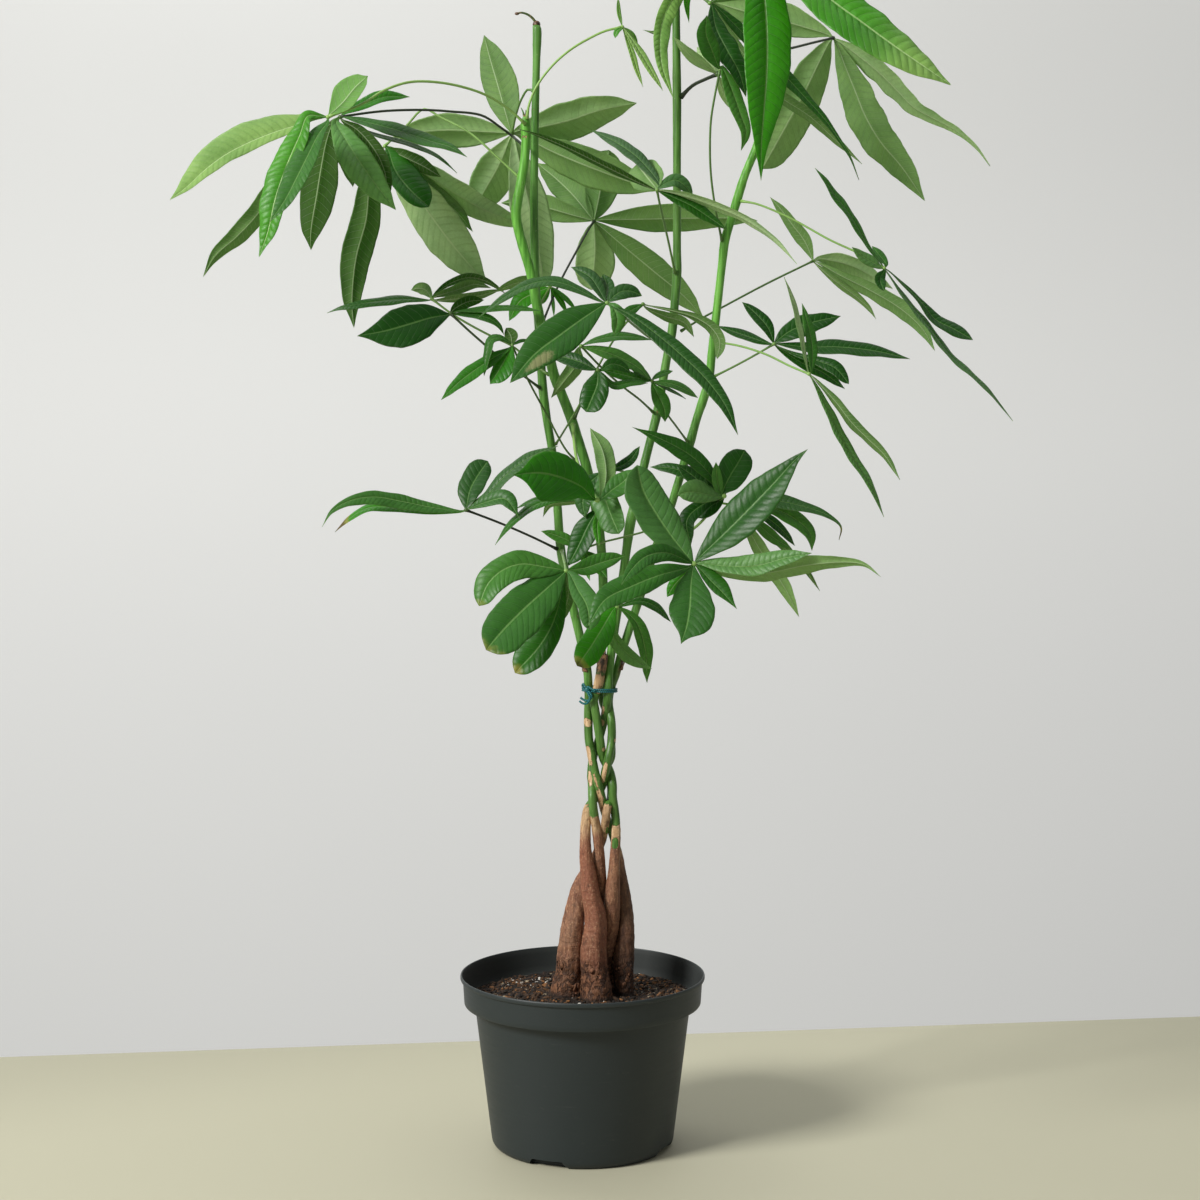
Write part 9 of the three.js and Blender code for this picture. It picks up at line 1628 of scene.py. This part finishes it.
# the first ring is unused: drop it
V = V[seg:]
F = [[i - seg for i in face] for face in F]
b = Build()
b.add(V, F, 0, [0, 0, 0], [0, 0, 0])
soil = b.make("look_soil", [SOIL])
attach(soil, BODY)
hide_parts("soil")

trunk_feet = []
for name, path in TRUNKS:
    p = np.array(path)
    k = np.argmin(np.abs(p[:, 2] - 151))
    trunk_feet.append((p[k, 0], p[k, 1], p[k, 3]))


def scatter(builder, count, size_lo, size_hi, stretch, seed, shade, lift=0.25, heap=None):
    r = np.random.default_rng(seed)
    made = 0
    while made < count:
        if heap is None:
            rad = 116.0 * math.sqrt(r.uniform(0, 1))
            a = r.uniform(0, 2 * math.pi)
            x, y = rad * math.cos(a), rad * math.sin(a)
        else:
            x, y = r.normal(heap[0], heap[2]), r.normal(heap[1], heap[3])
            rad = math.hypot(x, y)
        if any(math.hypot(x - fx, y - fy) < fr * 0.93 for fx, fy, fr in trunk_feet):
            continue
        s = math.exp(r.uniform(math.log(size_lo), math.log(size_hi)))
        if rad + s * stretch > 117.6:
            continue
        z = float(soil_height(np.array(x), np.array(y))) + s * lift
        seg_, rg = (7, 4) if s < 1.6 else (8, 5)
        vv, ff = [], []
        for i in range(1, rg):
            p = math.pi * i / rg
            for k in range(seg_):
                q = 2 * math.pi * k / seg_
                vv.append([math.sin(p) * math.cos(q), math.sin(p) * math.sin(q), math.cos(p)])
        vv += [[0, 0, 1], [0, 0, -1]]
        for i in range(rg - 2):
            for k in range(seg_):
                k2 = (k + 1) % seg_
                ff.append([i * seg_ + k, (i + 1) * seg_ + k, (i + 1) * seg_ + k2, i * seg_ + k2])
        top, bot = len(vv) - 2, len(vv) - 1
        for k in range(seg_):
            ff.append([top, k, (k + 1) % seg_])
            e = (rg - 2) * seg_
            ff.append([bot, e + (k + 1) % seg_, e + k])
        vv = np.array(vv) * (1 + r.uniform(-0.28, 0.28, (len(vv), 1)))
        vv = vv * np.array([s * r.uniform(1, stretch), s * r.uniform(0.6, 1.1), s * r.uniform(0.45, 0.9)])
        ax, ay, az = r.uniform(-0.5, 0.5), r.uniform(-0.5, 0.5), r.uniform(0, 6.28)
        Rx = np.array([[1, 0, 0], [0, math.cos(ax), -math.sin(ax)], [0, math.sin(ax), math.cos(ax)]])
        Ry = np.array([[math.cos(ay), 0, math.sin(ay)], [0, 1, 0], [-math.sin(ay), 0, math.cos(ay)]])
        Rz = np.array([[math.cos(az), -math.sin(az), 0], [math.sin(az), math.cos(az), 0], [0, 0, 1]])
        vv = vv @ (Rz @ Ry @ Rx).T + [x, y, z]
        builder.add(vv, ff, 0, [shade(r), 0, 0], [0, 0, s])
        made += 1


b = Build()
scatter(b, 1800, 0.7, 2.4, 2.2, 21, lambda r: 0.24 * r.uniform(0, 1) ** 2)
scatter(b, 520, 0.7, 2.0, 2.4, 22, lambda r: r.uniform(0.3, 1.0))
chips = b.make("bark_chips", [CHIP])
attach(chips, BODY)
b = Build()
scatter(b, 64, 0.45, 1.25, 1.3, 31, lambda r: r.uniform(0.0, 1.0), 0.45)
scatter(b, 26, 0.6, 1.5, 1.3, 32, lambda r: r.uniform(0.4, 1.0), 0.5, (-54, 62, 18, 13))
scatter(b, 12, 0.9, 1.7, 1.3, 33, lambda r: r.uniform(0.4, 1.0), 0.5, (-12, -38, 16, 8))
perlite = b.make("perlite_grains", [PERLITE])
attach(perlite, BODY)


# ---------------------------------------------------------------- studio
def stage_plane(name, verts, color, rough, painted_shade_way, lo, hi, shade):
    """painted_shade_way: the direction along which a painted shade darkens the surface slightly, from lo to hi."""
    me = bpy.data.meshes.new(name)
    me.from_pydata(verts, [], [[0, 1, 2, 3]])
    m, nt, p, out = new_mat(name)
    g = N(nt)
    n = g.noise(1.4, 2, 0.5, g.obj())
    dot = g.node("ShaderNodeVectorMath", operation="DOT_PRODUCT")
    nt.links.new(g.obj(), dot.inputs[0])
    dot.inputs[1].default_value = painted_shade_way
    base = g.mix(n, tuple(c * 0.985 for c in color), color)
    # painted shade: the surface is darkened gradually along the given direction
    base = g.mix(g.step(dot.outputs["Value"], lo, hi), base, g.mix(1.0, base, (shade, shade, shade), "MULTIPLY"))
    nt.links.new(base, p.inputs["Base Color"])
    p.inputs["Roughness"].default_value = rough
    p.inputs["Specular IOR Level"].default_value = 0.25
    me.materials.append(m)
    ob = bpy.data.objects.new(name, me)
    bpy.context.scene.collection.objects.link(ob)
    return ob


# a table top with a slanting back edge, and a pale wall far enough behind it to leave room for views from the back
sl = (0.49 - 0.333) / 1.23
# both carry a painted shade: the table darker towards its far left and back, the wall darker towards the top
stage_plane("table_top", [(-4, -4, 0), (4, -4, 0), (4, 0.410 + 4 * sl, 0), (-4, 0.410 - 4 * sl, 0)], (0.512, 0.497, 0.373), 0.62, (-0.5, 1.0, 0.0), 0.25, 0.70, 0.84)
stage_plane("wall", [(-18, 4.6, -7.0), (18, 4.6, -7.0), (18, 4.6, 14), (-18, 4.6, 14)], (0.945, 0.953, 0.939), 0.9, (0.0, 0.0, 1.0), 0.45, 1.77, 0.84)


def area(name, loc, target, size, power, color=(1, 1, 1)):
    d = bpy.data.lights.new(name, "AREA")
    d.shape = "RECTANGLE"
    d.size, d.size_y = size
    d.energy = power
    d.color = color
    ob = bpy.data.objects.new(name, d)
    ob.location = loc
    ob.rotation_euler = (Vector(target) - Vector(loc)).to_track_quat("-Z", "Y").to_euler()
    bpy.context.scene.collection.objects.link(ob)


area("key", (-4.2, -3.2, 3.9), (0, 0, 0.7), (1.8, 1.8), 455, (1.0, 0.985, 0.955))
area("fill", (2.6, -2.4, 1.4), (0, 0, 0.6), (2.4, 2.4), 2, (0.95, 0.98, 1.0))
area("back", (-1.2, 1.2, 2.6), (0.1, 0, 0.9), (1.2, 0.8), 8, (1.0, 1.0, 0.97))
area("top", (0.5, -0.2, 3.8), (0.7, 1.5, 0.4), (3.0, 1.0), 6)
area("wall_wash", (0.87, 1.6, 6.1), (1.2, 4.6, 0.1), (5.3, 1.8), 46)
area("wall_left", (-1.0, 2.4, 3.8), (-1.0, 4.6, 2.15), (1.5, 1.0), 26)
world = bpy.data.worlds.new("world")
world.use_nodes = True
world.node_tree.nodes["Background"].inputs[0].default_value = (1.0, 1.0, 0.99, 1)
world.node_tree.nodes["Background"].inputs[1].default_value = 0.258
bpy.context.scene.world = world
bpy.context.scene.view_settings.view_transform = "Standard"
bpy.context.scene.view_settings.look = "None"
